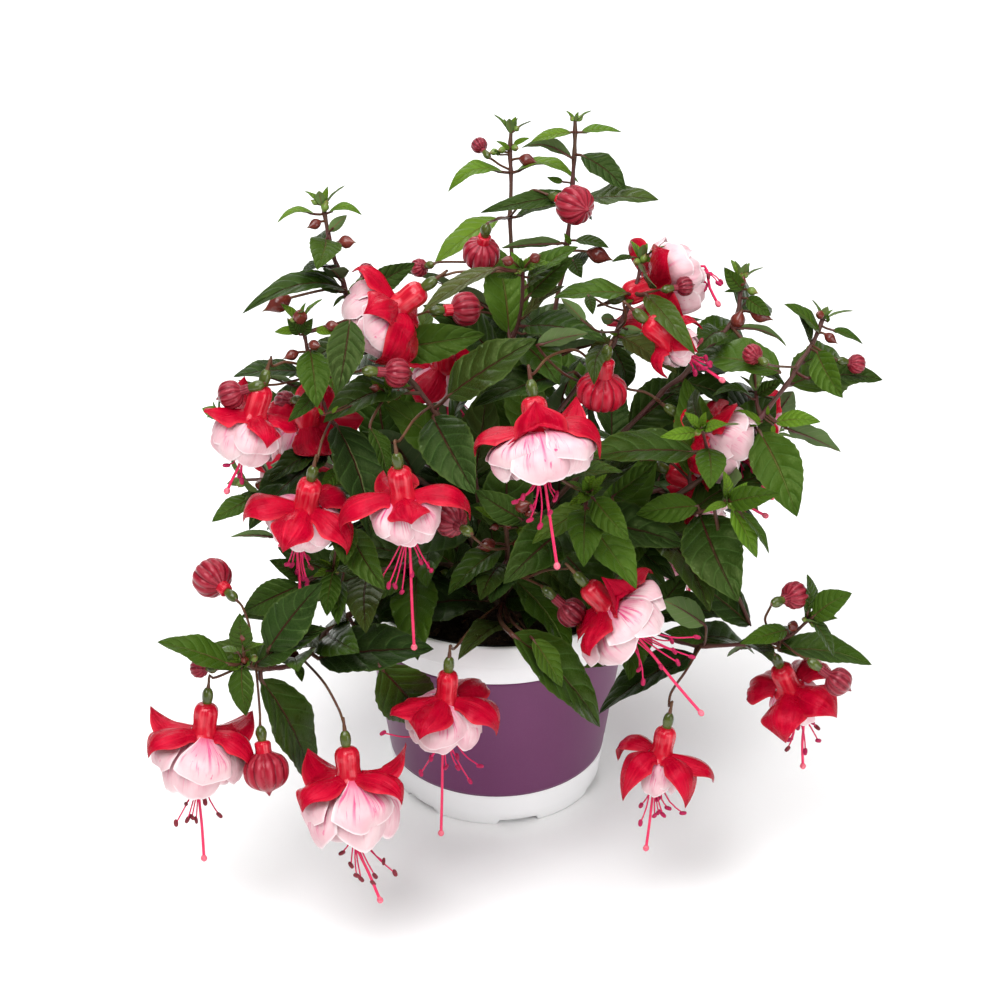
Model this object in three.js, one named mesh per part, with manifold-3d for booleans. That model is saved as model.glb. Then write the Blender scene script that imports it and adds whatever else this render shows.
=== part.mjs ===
// Potted double fuchsia: a tapered nursery pot with a wrap label, filled with compost,
// and a plant of many leafy stems with hanging flowers and closed buds.
// Millimetres, +Z up, origin at the centre of the pot's base on the surface it stands on.
import * as THREE from 'three';
import { mergeVertices } from 'three/addons/utils/BufferGeometryUtils.js';
import Module from 'manifold-3d';

// ---------------------------------------------------------------- driving dimensions
const POT_RIM_R = 60;        // outside of the rim, a 12 cm pot
const POT_H = 100;           // height of the pot
const POT_WALL = 1.4;        // wall thickness
const BASE_R = 43.4;         // outside of the wall at the base
const BAND_Z = 88;           // underside of the rim band
const BAND_STEP = 1.4;       // how far the band stands out from the wall
const FLOOR_Z = 4.0;         // top of the pot's floor
const NOTCH_H = 2.6;         // height of the notches between the feet
const NOTCHES = 6;
const LABEL_Z0 = 16;         // wrap label, bottom and top edge
const LABEL_Z1 = 79;
const LABEL_T = 0.5;         // label thickness
const SLIVER = 0.004;         // no face is thinner than this
const EASE = 0.1;             // finest surface detail kept on a finished solid
const GAP = 0.3;             // clearance kept between separate pieces
const SOIL_Z = 91;           // surface of the compost
const CROWN_R = 14.0;        // woody crown at the soil surface
const LEAF_T = 0.9;          // thickness of a leaf at its midrib
const STEM_SIDES = 3;
const OVARY_L = 4.6, OVARY_R = 3.0;
const TUBE_R0 = 3.0, TUBE_R1 = 4.8, TUBE_L = 18;
const NOTCH_TURN = -108 * Math.PI / 180;
const DRAIN_R = 4, DRAIN_AT = 27, DRAINS = 4;   // drain holes through the floor

// ---------------------------------------------------------------- layout of the plant
// Branch: stems [points tip to base, radius at tip, radius at base]; leaves [base, tip, upper normal, width, arch, joint on the stem];
// buds [centre, axis, diameter, joint on the stem]
const BRANCHES = [
  { name: 'branch_left_tall',
    stems: [
      [[[-67.6,-8.0,272.6],[-60.2,-19.1,245.3],[-47.1,-30.2,221.1],[-26.2,-41.2,201.9],[-12.0,-41.2,176.2],[-7.3,-28.0,149.4],[-6.1,-13.5,122.7],[-4.4,-3.4,94.0]],0.7,1.3],
      [[[-42.1,-52.0,213.3],[-36.1,-45.4,209.6],[-29.8,-39.1,205.9]],0.5,0.65],
    ],
    leaves: [
      [[-70.6,-12.6,271.0],[-85.1,-18.4,270.0],[-0.07,0.01,1.0],6.0,0.22,[-67.0,-9.2,269.5]],
      [[-65.6,-11.1,270.7],[-52.2,-14.0,271.2],[-0.06,-0.09,0.99],5.7,0.22,[-67.0,-9.2,269.5]],
      [[-66.5,-14.5,261.1],[-68.9,-39.6,260.6],[0.27,-0.05,0.96],12.9,0.1,[-65.4,-12.7,260.8]],
      [[-59.1,-23.8,243.5],[-97.6,-49.8,246.9],[0.16,-0.11,0.98],13.2,0.2,[-59.2,-20.5,241.8]],
      [[-61.1,-23.1,242.3],[-76.4,-24.1,252.0],[0.52,-0.36,0.77],9.1,0.07,[-59.1,-20.7,241.2]],
      [[-53.6,-15.8,238.8],[-32.1,-5.1,245.7],[0.37,-0.9,0.24],10.3,0.07,[-58.9,-21.2,240.2]],
      [[-57.0,-20.4,237.7],[-40.2,-0.9,216.0],[0.87,-0.35,0.35],7.0,0.07,[-58.5,-22.1,238.0]],
      [[-42.6,-27.8,219.5],[-4.5,-26.2,225.3],[-0.04,-0.88,0.48],15.6,0.07,[-44.6,-31.4,219.0]],
      [[-19.2,-47.6,209.0],[15.7,-46.2,234.0],[-0.51,-0.43,0.74],21.5,0.07,[-24.9,-42.0,200.5]],
      [[-24.9,-44.4,198.2],[-8.2,-78.5,183.5],[-0.25,-0.48,0.84],21.6,0.07,[-23.8,-42.2,198.8]],
      [[-44.3,-54.8,213.1],[-63.0,-62.3,211.6],[-0.07,-0.03,1.0],10.1,0.07,[-42.1,-52.0,213.3]],
      [[-48.3,-77.6,212.9],[-41.6,-91.5,199.0],[0.68,-0.33,0.65],10.4,0.07,[-42.1,-52.0,213.3]],
      [[-17.7,-42.8,195.0],[-0.2,-40.1,224.4],[-0.81,-0.28,0.51],16.1,0.08,[-19.5,-43.0,192.0]],
      [[-60.7,-22.8,247.5],[-64.2,-40.1,260.9],[-0.03,0.61,0.79],10.3,0.08,[-60.0,-19.3,244.9]],
      [[-35.0,-40.5,208.7],[-66.4,-70.4,210.6],[0.08,-0.02,1.0],19.1,0.12,[-32.1,-37.8,208.5]],
      [[-63.5,-19.1,251.1],[-74.8,-35.7,257.3],[0.09,0.29,0.95],10.0,0.09,[-62.1,-17.0,250.3]],
      [[-42.7,-30.5,213.3],[-59.7,-6.4,191.7],[-0.62,0.23,0.75],17.4,0.13,[-40.7,-33.4,215.9]],
      [[-64.9,-11.6,255.0],[-69.3,4.6,254.1],[-0.64,-0.12,0.76],8.2,0.12,[-64.0,-14.9,255.3]],
      [[-8.4,-35.9,167.1],[-3.4,-24.5,202.0],[-0.29,-0.89,0.34],18.7,0.11,[-8.8,-36.8,164.6]],
      [[-49.6,-30.8,220.3],[-81.6,-38.3,212.0],[-0.23,-0.08,0.97],15.0,0.08,[-47.0,-30.2,221.0]],
      [[-52.8,-29.4,223.1],[-78.0,-37.7,214.3],[-0.25,-0.25,0.94],13.5,0.12,[-50.0,-28.5,224.1]],
      [[-14.7,-40.4,176.9],[-45.4,-40.0,203.6],[0.49,-0.66,0.57],19.9,0.09,[-11.4,-40.4,174.1]],
      [[-9.5,-27.4,143.2],[-39.2,-58.3,141.4],[0.26,-0.3,0.92],22.0,0.07,[-6.7,-24.6,143.3]],
    ],
    buds: [
      [[-58.5,-17.8,261.5],[0.82,-0.52,0.24],5.5,[-64.6,-14.0,257.6]],
      [[-70.6,-13.8,267.2],[-0.77,-0.63,-0.11],4.5,[-66.5,-10.4,266.5]],
      [[-84.6,-30.1,241.1],[-0.88,-0.36,-0.31],8,[-59.6,-20.0,243.1]],
    ],
    largeBuds: [
      { O: [-54.0,-14.0,241.4], ax: [0.46,0.75,0.47], ped: [[-58.7,-21.6,239.1],[-56.3,-16.1,239.5],[-54.8,-15.4,240.6]], r: 3.1, s: 0.7, Lr: 6.6 },
    ] },
  { name: 'branch_left',
    stems: [
      [[[-75.5,-48.0,243.3],[-69.2,-49.0,214.8],[-56.7,-50.0,189.0],[-40.7,-43.9,165.6],[-27.2,-30.4,143.5],[-16.7,-16.3,120.3],[-8.8,-6.6,94.0]],0.6,1.1],
      [[[-94.2,-55.0,170.3],[-76.3,-52.4,180.4],[-58.7,-49.9,191.8]],0.5,0.78],
    ],
    leaves: [
      [[-75.1,-52.6,223.0],[-101.1,-61.2,225.6],[0.1,0.0,1.0],13.8,0.07,[-71.1,-48.7,222.5]],
      [[-71.9,-50.1,231.3],[-68.6,-71.8,217.9],[-0.01,-0.52,0.85],13.1,0.07,[-72.9,-48.5,230.3]],
      [[-56.0,-54.3,246.7],[-60.3,-74.4,226.0],[0.01,-0.72,0.69],14.6,0.07,[-74.1,-48.2,237.7]],
      [[-69.1,-53.2,215.3],[-79.7,-75.2,213.7],[0.45,-0.28,0.85],7.0,0.07,[-68.9,-49.0,213.5]],
      [[-62.6,-50.7,198.3],[-48.6,-83.2,166.5],[0.52,-0.47,0.71],24.7,0.07,[-62.8,-49.6,197.7]],
      [[-66.3,-53.3,186.2],[-96.0,-79.6,167.9],[-0.43,-0.14,0.89],21.8,0.07,[-67.2,-51.0,187.1]],
      [[-68.2,-52.9,189.1],[-88.9,-66.3,181.6],[-0.22,-0.2,0.96],12.9,0.07,[-67.2,-51.0,187.1]],
      [[-61.9,-57.8,182.0],[-68.7,-67.5,178.8],[0.39,-0.52,0.76],6.3,0.07,[-66.3,-50.9,187.6]],
      [[-95.6,-57.8,169.2],[-111.3,-67.9,164.4],[-0.05,-0.37,0.93],9.6,0.07,[-94.2,-55.0,170.3]],
      [[-86.2,-76.1,162.6],[-103.3,-81.1,165.6],[-0.2,0.91,0.35],5.0,0.07,[-92.1,-54.7,170.8]],
      [[-30.6,-39.1,153.3],[-10.1,-64.5,157.8],[-0.33,-0.1,0.94],17.0,0.13,[-32.4,-36.8,152.9]],
      [[-23.4,-29.4,134.9],[-27.4,-64.3,131.5],[-0.31,-0.06,0.95],17.6,0.09,[-23.0,-25.1,135.4]],
    ],
    buds: [
      [[-75.3,-50.4,245.9],[0.06,-0.81,0.58],6,[-75.5,-48.0,243.3]],
      [[-70.2,-51.3,234.1],[0.7,-0.68,0.23],4.5,[-73.2,-48.4,232.0]],
      [[-78.8,-52.4,230.4],[-0.83,-0.55,-0.13],4.6,[-72.8,-48.5,229.5]],
      [[-63.0,-53.7,243.8],[0.88,-0.43,0.2],4.6,[-74.1,-48.2,237.7]],
    ],
    largeBuds: [
      { O: [-91.4,-70.0,226.6], ax: [-0.93,0.05,-0.37], ped: [[-70.3,-48.8,219.5],[-83.2,-61.0,222.4],[-88.6,-65.6,224.6],[-88.5,-70.1,227.8]], r: 5.3, s: 1.2, Lr: 11.3 },
      { O: [-48.7,-66.0,230.9], ax: [0.95,0.23,-0.2], ped: [[-69.6,-48.9,216.5],[-58.2,-58.7,226.0],[-52.3,-62.5,228.9],[-51.8,-66.7,231.6]], r: 5.5, s: 1.25, Lr: 11.5 },
      { O: [-78.0,-44.0,205.6], ax: [-0.58,0.66,-0.48], ped: [[-68.1,-49.1,210.5],[-74.7,-45.4,207.8],[-76.6,-45.5,206.8]], r: 4.3, s: 0.9, Lr: 8.8 },
    ] },
  { name: 'branch_top_centre',
    stems: [
      [[[5.8,45.0,278.7],[5.7,34.3,253.5],[6.2,23.6,228.2],[6.3,13.2,202.7],[5.8,6.8,176.1],[3.5,5.3,148.8],[0.9,5.7,121.4],[-0.7,5.6,94.0]],0.7,1.3],
    ],
    leaves: [
      [[2.6,35.7,265.5],[-19.4,26.7,261.0],[-0.15,-0.11,0.98],10.2,0.25,[5.8,38.7,264.0]],
      [[7.4,36.7,265.0],[33.0,28.5,264.1],[0.03,-0.0,1.0],8.8,0.25,[5.8,38.7,264.0]],
      [[0.6,27.7,248.9],[-25.0,11.6,236.1],[-0.27,-0.29,0.92],13.8,0.07,[5.4,31.7,247.4]],
      [[7.4,29.4,248.5],[28.6,26.4,255.4],[-0.31,-0.01,0.95],8.0,0.07,[5.4,31.7,247.4]],
      [[8.7,15.3,197.1],[30.6,50.0,197.4],[-0.0,-0.01,1.0],21.1,0.06,[6.3,11.5,197.1]],
      [[4.4,16.7,205.3],[-13.7,42.7,205.7],[0.03,0.0,1.0],14.1,0.13,[6.3,14.0,205.2]],
      [[4.4,12.9,191.7],[-14.6,43.9,198.5],[0.1,-0.15,0.98],19.1,0.14,[6.3,9.7,191.0]],
      [[3.3,16.2,210.0],[-40.5,26.6,225.9],[0.4,0.49,0.77],22.1,0.07,[6.1,15.6,209.0]],
    ],
    buds: [
      [[12.2,36.5,270.4],[0.86,-0.52,0.02],5.6,[5.6,40.5,268.2]],
    ],
    largeBuds: [
      { O: [-3.8,38.0,271.9], ax: [-0.48,0.84,0.26], ped: [[5.8,39.0,264.7],[1.4,38.4,267.3],[-1.4,38.2,269.6],[-2.9,36.5,271.5]], r: 3.2, s: 0.7, Lr: 6.7 },
      { O: [-26.4,2.0,241.1], ax: [-0.61,0.61,-0.5], ped: [[6.2,24.6,230.5],[-10.6,11.6,237.4],[-22.5,6.6,240.0],[-25.2,0.8,242.0]], r: 3.6, s: 0.75, Lr: 7.3 },
    ] },
  { name: 'branch_top_right',
    stems: [
      [[[31.1,28.0,292.1],[30.1,21.4,263.9],[27.5,14.9,235.8],[22.0,8.4,208.1],[16.0,3.9,180.2],[11.3,2.3,151.6],[7.9,2.1,122.9],[5.3,1.7,94.0]],0.7,1.3],
    ],
    leaves: [
      [[30.0,17.2,264.4],[-6.5,6.0,262.1],[0.09,-0.47,0.88],8.5,0.07,[30.0,21.1,262.6]],
      [[29.5,24.9,288.3],[13.6,19.7,286.5],[-0.07,-0.13,0.99],7.1,0.07,[31.1,26.9,287.4]],
      [[33.4,24.4,288.5],[49.7,27.5,287.0],[0.1,-0.02,1.0],7.0,0.07,[31.1,26.9,287.4]],
      [[29.9,23.0,277.9],[9.7,20.2,283.6],[0.01,0.89,0.45],7.6,0.2,[30.8,24.5,277.1]],
      [[33.5,22.2,279.6],[51.1,10.5,269.9],[0.17,-0.46,0.87],11.6,0.07,[30.9,24.9,278.7]],
      [[34.0,17.0,262.3],[64.2,8.9,266.3],[-0.13,0.01,0.99],15.7,0.07,[29.8,20.6,260.6]],
      [[31.3,14.0,246.0],[44.8,9.1,245.0],[0.02,-0.16,0.99],7.2,0.07,[28.3,17.0,244.7]],
      [[26.1,14.3,244.6],[1.8,8.0,245.5],[-0.21,0.89,0.4],6.4,0.07,[28.1,16.5,242.8]],
      [[28.6,13.7,236.3],[37.7,24.5,234.8],[0.77,-0.62,0.17],6.2,0.07,[27.5,14.8,235.4]],
      [[30.6,12.1,238.0],[33.9,0.2,236.2],[-0.36,-0.24,0.9],6.4,0.07,[27.6,15.0,236.4]],
      [[24.1,5.9,209.2],[41.5,-15.8,218.6],[0.26,0.55,0.79],14.7,0.09,[22.0,8.5,208.2]],
      [[11.5,0.8,156.2],[10.0,-18.3,187.8],[0.59,0.68,0.44],16.6,0.13,[11.6,2.4,153.6]],
      [[17.2,2.1,161.9],[51.4,-1.0,159.0],[0.1,0.17,0.98],17.7,0.13,[12.8,2.5,162.2]],
      [[18.2,10.5,202.7],[-3.4,38.8,209.2],[0.43,0.13,0.89],17.0,0.14,[20.6,7.3,202.0]],
      [[22.0,4.8,196.8],[55.7,-11.5,210.4],[-0.03,0.61,0.79],19.5,0.11,[19.2,6.1,195.7]],
    ],
    buds: [
      [[40.5,10.0,241.4],[0.9,-0.42,-0.15],7.4,[27.9,15.9,240.0]],
    ],
    largeBuds: [
    ] },
  { name: 'branch_centre_short',
    stems: [
      [[[10.3,-28.0,254.5],[9.0,-18.7,228.7],[3.5,-10.5,203.1],[0.1,-6.2,176.3],[-0.8,-5.4,148.9],[-0.8,-5.8,121.5],[-1.2,-5.5,94.0]],0.6,1.0],
    ],
    leaves: [
      [[12.3,-29.1,252.0],[25.0,-29.8,258.5],[-0.46,-0.13,0.88],7.2,0.07,[10.3,-26.7,251.0]],
      [[10.4,-20.5,229.3],[26.8,-19.5,243.0],[-0.64,-0.08,0.77],9.5,0.07,[9.0,-18.5,228.2]],
      [[0.2,-35.5,259.3],[-28.5,-51.6,248.3],[-0.35,-0.01,0.93],12.7,0.07,[10.3,-28.0,254.5]],
      [[10.1,-18.7,221.2],[25.4,-20.8,225.9],[0.09,0.98,0.16],7.8,0.07,[7.6,-15.9,221.0]],
      [[11.4,-19.0,224.8],[42.5,-38.7,228.6],[-0.19,-0.12,0.97],18.3,0.11,[8.5,-17.2,224.4]],
      [[4.9,-10.3,216.8],[-1.9,16.8,242.9],[0.22,-0.65,0.73],18.3,0.12,[5.7,-13.4,213.7]],
      [[8.1,-18.1,217.7],[24.2,-54.8,218.5],[-0.02,0.01,1.0],19.0,0.07,[6.6,-14.6,217.6]],
      [[12.5,-21.3,239.4],[30.0,-18.5,255.3],[-0.34,-0.79,0.51],10.8,0.09,[10.0,-21.7,237.1]],
      [[0.2,-10.9,205.7],[-29.1,-15.3,232.3],[0.62,-0.52,0.59],18.3,0.1,[3.5,-10.4,202.7]],
      [[12.1,-24.1,245.7],[31.9,-22.9,262.0],[-0.59,-0.33,0.74],12.2,0.13,[10.1,-24.2,244.1]],
    ],
    buds: [
      [[4.5,-32.1,260.6],[-0.73,-0.51,0.46],4.4,[10.3,-28.0,254.5]],
      [[14.9,-32.0,261.8],[0.58,-0.51,0.63],4.4,[10.3,-28.0,254.5]],
    ],
    largeBuds: [
    ] },
  { name: 'branch_right_tall',
    stems: [
      [[[56.7,-12.0,251.4],[47.6,-23.2,225.2],[30.3,-34.2,203.6],[15.7,-34.6,178.0],[9.0,-24.4,150.6],[5.7,-12.7,123.0],[2.6,-5.0,94.0]],0.7,1.3],
    ],
    leaves: [
      [[30.4,-36.0,213.7],[-9.1,-52.1,207.1],[-0.13,-0.09,0.99],21.6,0.07,[34.4,-31.9,208.2]],
      [[56.8,-18.4,251.7],[62.2,-33.6,249.6],[-0.89,-0.26,-0.36],10.1,0.07,[56.4,-13.1,248.8]],
      [[51.5,-19.9,240.1],[22.1,-26.9,241.6],[0.06,-0.04,1.0],15.2,0.07,[53.6,-17.5,238.0]],
      [[58.4,-25.0,242.0],[75.5,-69.8,240.0],[-0.14,-0.1,0.99],10.4,0.07,[53.9,-17.2,238.9]],
      [[49.3,-26.5,224.1],[70.5,-40.1,215.1],[0.2,-0.31,0.93],12.9,0.07,[47.0,-23.9,223.5]],
      [[45.7,-18.3,216.1],[52.2,7.8,180.9],[0.44,-0.76,-0.48],10.1,0.07,[45.3,-25.6,219.7]],
      [[42.5,-31.7,223.4],[37.4,-67.0,225.3],[-0.12,0.07,0.99],8.4,0.07,[44.3,-26.2,218.7]],
      [[15.5,-67.2,242.9],[34.7,-69.8,249.5],[0.02,0.95,0.33],9.8,0.07,[33.3,-32.6,207.0]],
      [[33.8,-59.8,248.8],[24.6,-58.2,258.3],[0.38,0.9,0.22],6.4,0.07,[47.4,-23.4,224.7]],
      [[13.8,-33.3,179.0],[2.8,-25.7,218.6],[0.55,-0.77,0.3],18.6,0.06,[14.8,-33.9,175.5]],
      [[11.9,-30.6,173.9],[-2.9,-7.2,197.8],[0.32,-0.57,0.76],18.7,0.12,[13.4,-32.9,171.6]],
    ],
    buds: [
    ],
    largeBuds: [
      { O: [66.5,-26.0,245.1], ax: [0.93,0.37,-0.03], ped: [[53.6,-17.5,238.0],[60.0,-22.4,241.9],[63.4,-24.3,243.8],[64.5,-26.8,245.2]], r: 3.7, s: 0.8, Lr: 7.7 },
    ] },
  { name: 'branch_right',
    stems: [
      [[[97.9,6.0,233.2],[85.9,-7.7,210.3],[64.2,-21.3,194.1],[43.7,-25.8,172.6],[27.2,-18.5,148.2],[14.7,-8.6,122.2],[5.2,-2.1,94.0]],0.7,1.2],
    ],
    leaves: [
      [[98.2,2.3,229.7],[90.3,1.7,240.3],[0.23,-0.97,0.12],6.8,0.07,[97.4,3.8,228.9]],
      [[99.7,-0.4,227.5],[108.8,-9.4,224.3],[-0.41,-0.64,0.64],6.8,0.07,[97.1,2.4,226.1]],
      [[89.6,-9.1,216.9],[78.5,-38.9,225.2],[0.44,0.08,0.9],10.8,0.07,[90.0,-5.0,213.8]],
      [[95.2,-2.5,215.6],[83.9,-7.2,211.3],[-0.05,-0.61,0.79],5.1,0.07,[93.5,-2.6,217.1]],
      [[95.0,-5.3,216.7],[115.2,-15.3,213.5],[0.46,0.83,0.32],4.5,0.2,[93.2,-2.9,216.7]],
      [[111.0,-36.4,213.9],[75.7,-21.6,212.0],[-0.08,-0.07,0.99],23.8,0.07,[93.2,-2.9,216.7]],
      [[81.3,-8.0,204.8],[98.3,30.0,199.4],[0.53,-0.11,0.84],20.1,0.06,[79.7,-11.6,205.4]],
      [[67.8,-17.6,194.5],[87.3,8.4,182.9],[0.54,-0.03,0.84],16.7,0.14,[65.9,-20.1,195.6]],
      [[75.5,-15.8,197.9],[105.7,-10.7,180.8],[0.51,-0.16,0.85],15.7,0.06,[72.7,-16.2,199.5]],
      [[96.9,2.7,220.6],[103.8,46.8,203.0],[0.69,0.17,0.7],22.0,0.1,[96.4,0.1,221.6]],
      [[52.8,-23.9,181.5],[79.0,8.8,182.9],[0.48,-0.42,0.77],19.6,0.1,[51.2,-26.0,181.4]],
      [[84.5,-10.1,206.2],[116.4,-10.4,192.0],[0.4,-0.09,0.91],16.0,0.14,[82.1,-10.1,207.2]],
      [[76.8,-11.4,200.2],[87.1,24.7,176.4],[0.5,0.37,0.78],22.3,0.13,[76.0,-14.2,202.0]],
    ],
    buds: [
      [[96.2,-3.8,219.4],[0.29,0.0,0.96],6.2,[95.1,-1.2,219.3]],
      [[104.8,-4.8,222.2],[0.87,-0.48,-0.13],6.6,[96.4,-0.1,221.1]],
    ],
    largeBuds: [
    ] },
  { name: 'branch_far_right',
    stems: [
      [[[129.2,-12.0,224.8],[115.2,-25.7,203.0],[96.3,-39.3,184.9],[74.8,-52.2,169.9],[51.5,-49.0,154.4],[34.2,-32.2,137.7],[21.2,-14.1,118.5],[10.9,-1.5,94.0]],0.7,1.4],
      [[[102.9,-24.0,198.8],[103.2,-28.5,195.1],[104.8,-33.4,192.3]],0.5,0.78],
      [[[79.3,-66.0,205.7],[82.1,-56.5,190.7],[84.8,-47.0,175.5]],0.5,0.78],
    ],
    leaves: [
      [[127.9,-16.7,220.6],[113.0,-17.8,234.1],[0.67,-0.14,0.73],10.4,0.07,[127.2,-14.7,219.9]],
      [[124.3,-18.5,217.5],[118.5,-15.2,229.6],[0.79,-0.38,0.48],6.9,0.07,[125.0,-17.0,216.2]],
      [[132.8,-17.7,222.5],[144.9,-18.5,216.6],[0.43,-0.14,0.89],6.7,0.07,[128.2,-13.4,222.4]],
      [[126.5,-22.7,215.3],[135.5,-43.2,206.1],[-0.59,-0.53,0.61],12.5,0.07,[124.1,-18.0,214.5]],
      [[122.9,-27.8,206.4],[153.0,-24.0,203.4],[0.13,-0.22,0.97],15.2,0.07,[118.1,-23.1,206.9]],
      [[101.5,-28.8,197.5],[84.7,-31.3,199.8],[0.13,0.05,0.99],7.8,0.25,[103.1,-26.9,196.4]],
      [[104.8,-36.5,191.4],[86.8,-38.7,194.5],[0.21,-0.51,0.84],7.7,0.07,[103.4,-34.4,191.0]],
      [[109.9,-37.4,191.9],[127.4,-42.9,195.1],[-0.29,-0.44,0.85],7.8,0.07,[105.5,-32.9,193.0]],
      [[104.0,-38.9,188.2],[117.5,-68.1,166.8],[-0.21,-0.64,0.74],19.7,0.07,[101.8,-35.5,189.6]],
      [[114.5,-40.2,190.8],[136.1,-41.5,180.6],[0.2,0.93,0.31],11.5,0.07,[106.2,-32.4,193.7]],
      [[103.2,-26.7,198.1],[113.2,-27.2,205.2],[-0.48,-0.61,0.63],6.1,0.07,[103.0,-25.5,197.6]],
      [[79.5,-62.8,204.3],[77.1,-38.5,206.1],[-0.94,-0.12,0.31],15.2,0.07,[79.3,-66.0,205.7]],
      [[77.6,-63.3,202.4],[63.0,-69.6,203.8],[0.35,-0.65,0.68],5.5,0.07,[79.8,-64.5,203.3]],
      [[81.6,-61.9,201.6],[94.6,-57.1,202.4],[-0.24,0.49,0.84],8.6,0.07,[80.0,-63.7,202.1]],
      [[82.5,-57.1,191.6],[82.4,-77.8,185.4],[0.04,-0.29,0.96],12.2,0.07,[81.9,-57.2,191.8]],
      [[77.3,-60.1,191.5],[30.8,-70.8,194.2],[0.08,-0.09,0.99],23.9,0.07,[82.2,-56.0,190.0]],
      [[45.5,-54.7,167.8],[62.2,-53.2,182.0],[-0.44,-0.69,0.58],11.0,0.07,[49.0,-47.4,152.5]],
      [[44.7,-42.5,149.7],[63.6,-36.6,178.5],[-0.12,-0.96,0.27],17.6,0.06,[43.2,-42.9,147.5]],
      [[76.1,-49.4,174.3],[74.4,-26.2,205.5],[0.47,-0.7,0.54],19.4,0.06,[76.3,-52.0,170.8]],
      [[42.6,-39.8,141.6],[71.3,-54.2,127.9],[0.25,-0.36,0.9],15.6,0.14,[39.2,-38.2,143.2]],
      [[89.7,-42.9,178.4],[111.5,-14.5,190.5],[0.39,-0.6,0.7],17.6,0.11,[88.0,-45.1,177.5]],
      [[96.5,-36.2,184.7],[101.5,7.5,183.4],[0.51,-0.03,0.86],20.6,0.1,[96.2,-39.3,184.8]],
      [[116.4,-23.1,200.7],[139.3,13.8,180.7],[0.63,0.02,0.77],23.1,0.12,[114.5,-26.1,202.3]],
      [[121.4,-19.6,208.7],[138.9,0.2,199.3],[0.6,-0.16,0.79],12.8,0.09,[119.8,-21.5,209.5]],
    ],
    buds: [
      [[131.8,-18.3,219.2],[0.73,-0.58,-0.35],4.4,[127.2,-14.7,219.9]],
      [[100.3,-30.3,218.6],[-0.17,-0.39,0.9],8,[102.9,-24.0,198.8]],
    ],
    largeBuds: [
      { O: [135.7,-30.0,215.3], ax: [0.82,0.41,-0.4], ped: [[124.7,-17.4,215.6],[129.9,-24.6,215.5],[133.2,-27.4,214.8],[134.0,-30.9,216.1]], r: 3.7, s: 0.8, Lr: 7.7 },
      { O: [104.0,-44.0,222.6], ax: [-0.54,0.84,-0.01], ped: [[118.8,-22.3,208.2],[108.8,-38.0,217.5],[105.1,-45.7,222.7]], r: 3.9, s: 0.8, Lr: 7.9 },
    ] },
  { name: 'branch_front_tip',
    stems: [
      [[[35.2,-84.0,187.3],[32.5,-63.3,164.1],[23.6,-42.1,143.0],[11.5,-23.9,120.8],[2.8,-10.6,94.0]],0.6,0.9],
    ],
    leaves: [
      [[37.2,-83.7,184.9],[50.7,-99.2,175.5],[-0.25,-0.66,0.71],11.5,0.07,[35.0,-81.2,184.1]],
      [[35.6,-74.7,174.9],[13.8,-87.3,166.3],[-0.15,-0.36,0.92],13.3,0.07,[34.3,-72.8,174.4]],
      [[24.3,-88.1,196.5],[48.1,-92.8,201.9],[-0.22,0.03,0.98],12.4,0.07,[35.2,-84.0,187.3]],
      [[13.8,-22.9,116.9],[51.8,-35.4,110.9],[0.02,-0.39,0.92],20.0,0.06,[9.9,-21.6,117.6]],
      [[34.4,-78.6,176.7],[33.3,-107.3,168.4],[0.2,-0.28,0.94],14.6,0.1,[34.6,-75.6,177.6]],
      [[12.4,-29.7,129.6],[-13.4,-46.7,157.5],[0.78,-0.21,0.59],18.9,0.12,[14.6,-28.3,127.2]],
      [[31.1,-54.4,156.6],[56.0,-63.7,190.9],[-0.81,-0.32,0.5],20.3,0.14,[29.5,-53.9,154.4]],
      [[35.1,-70.2,167.3],[53.7,-103.5,156.1],[0.11,-0.26,0.96],19.6,0.08,[33.5,-67.3,168.3]],
      [[13.7,-26.4,120.0],[32.7,-48.4,113.4],[0.12,-0.19,0.97],14.8,0.13,[11.5,-23.9,120.8]],
      [[22.8,-40.8,137.2],[46.8,-76.3,119.1],[0.19,-0.34,0.92],23.4,0.1,[21.0,-38.1,138.6]],
      [[28.9,-59.2,156.7],[2.7,-94.9,152.8],[0.3,-0.32,0.9],21.3,0.14,[30.9,-56.5,157.0]],
      [[30.8,-51.9,151.8],[74.5,-64.4,151.0],[-0.12,-0.47,0.88],21.1,0.11,[28.2,-51.2,151.8]],
    ],
    buds: [
    ],
    largeBuds: [
    ] },
  { name: 'branch_front_right',
    stems: [
      [[[89.8,-74.0,178.1],[75.4,-57.6,161.6],[57.7,-41.5,148.0],[38.8,-26.9,134.4],[21.6,-14.5,117.0],[9.5,-5.6,94.0]],0.6,0.9],
    ],
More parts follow.
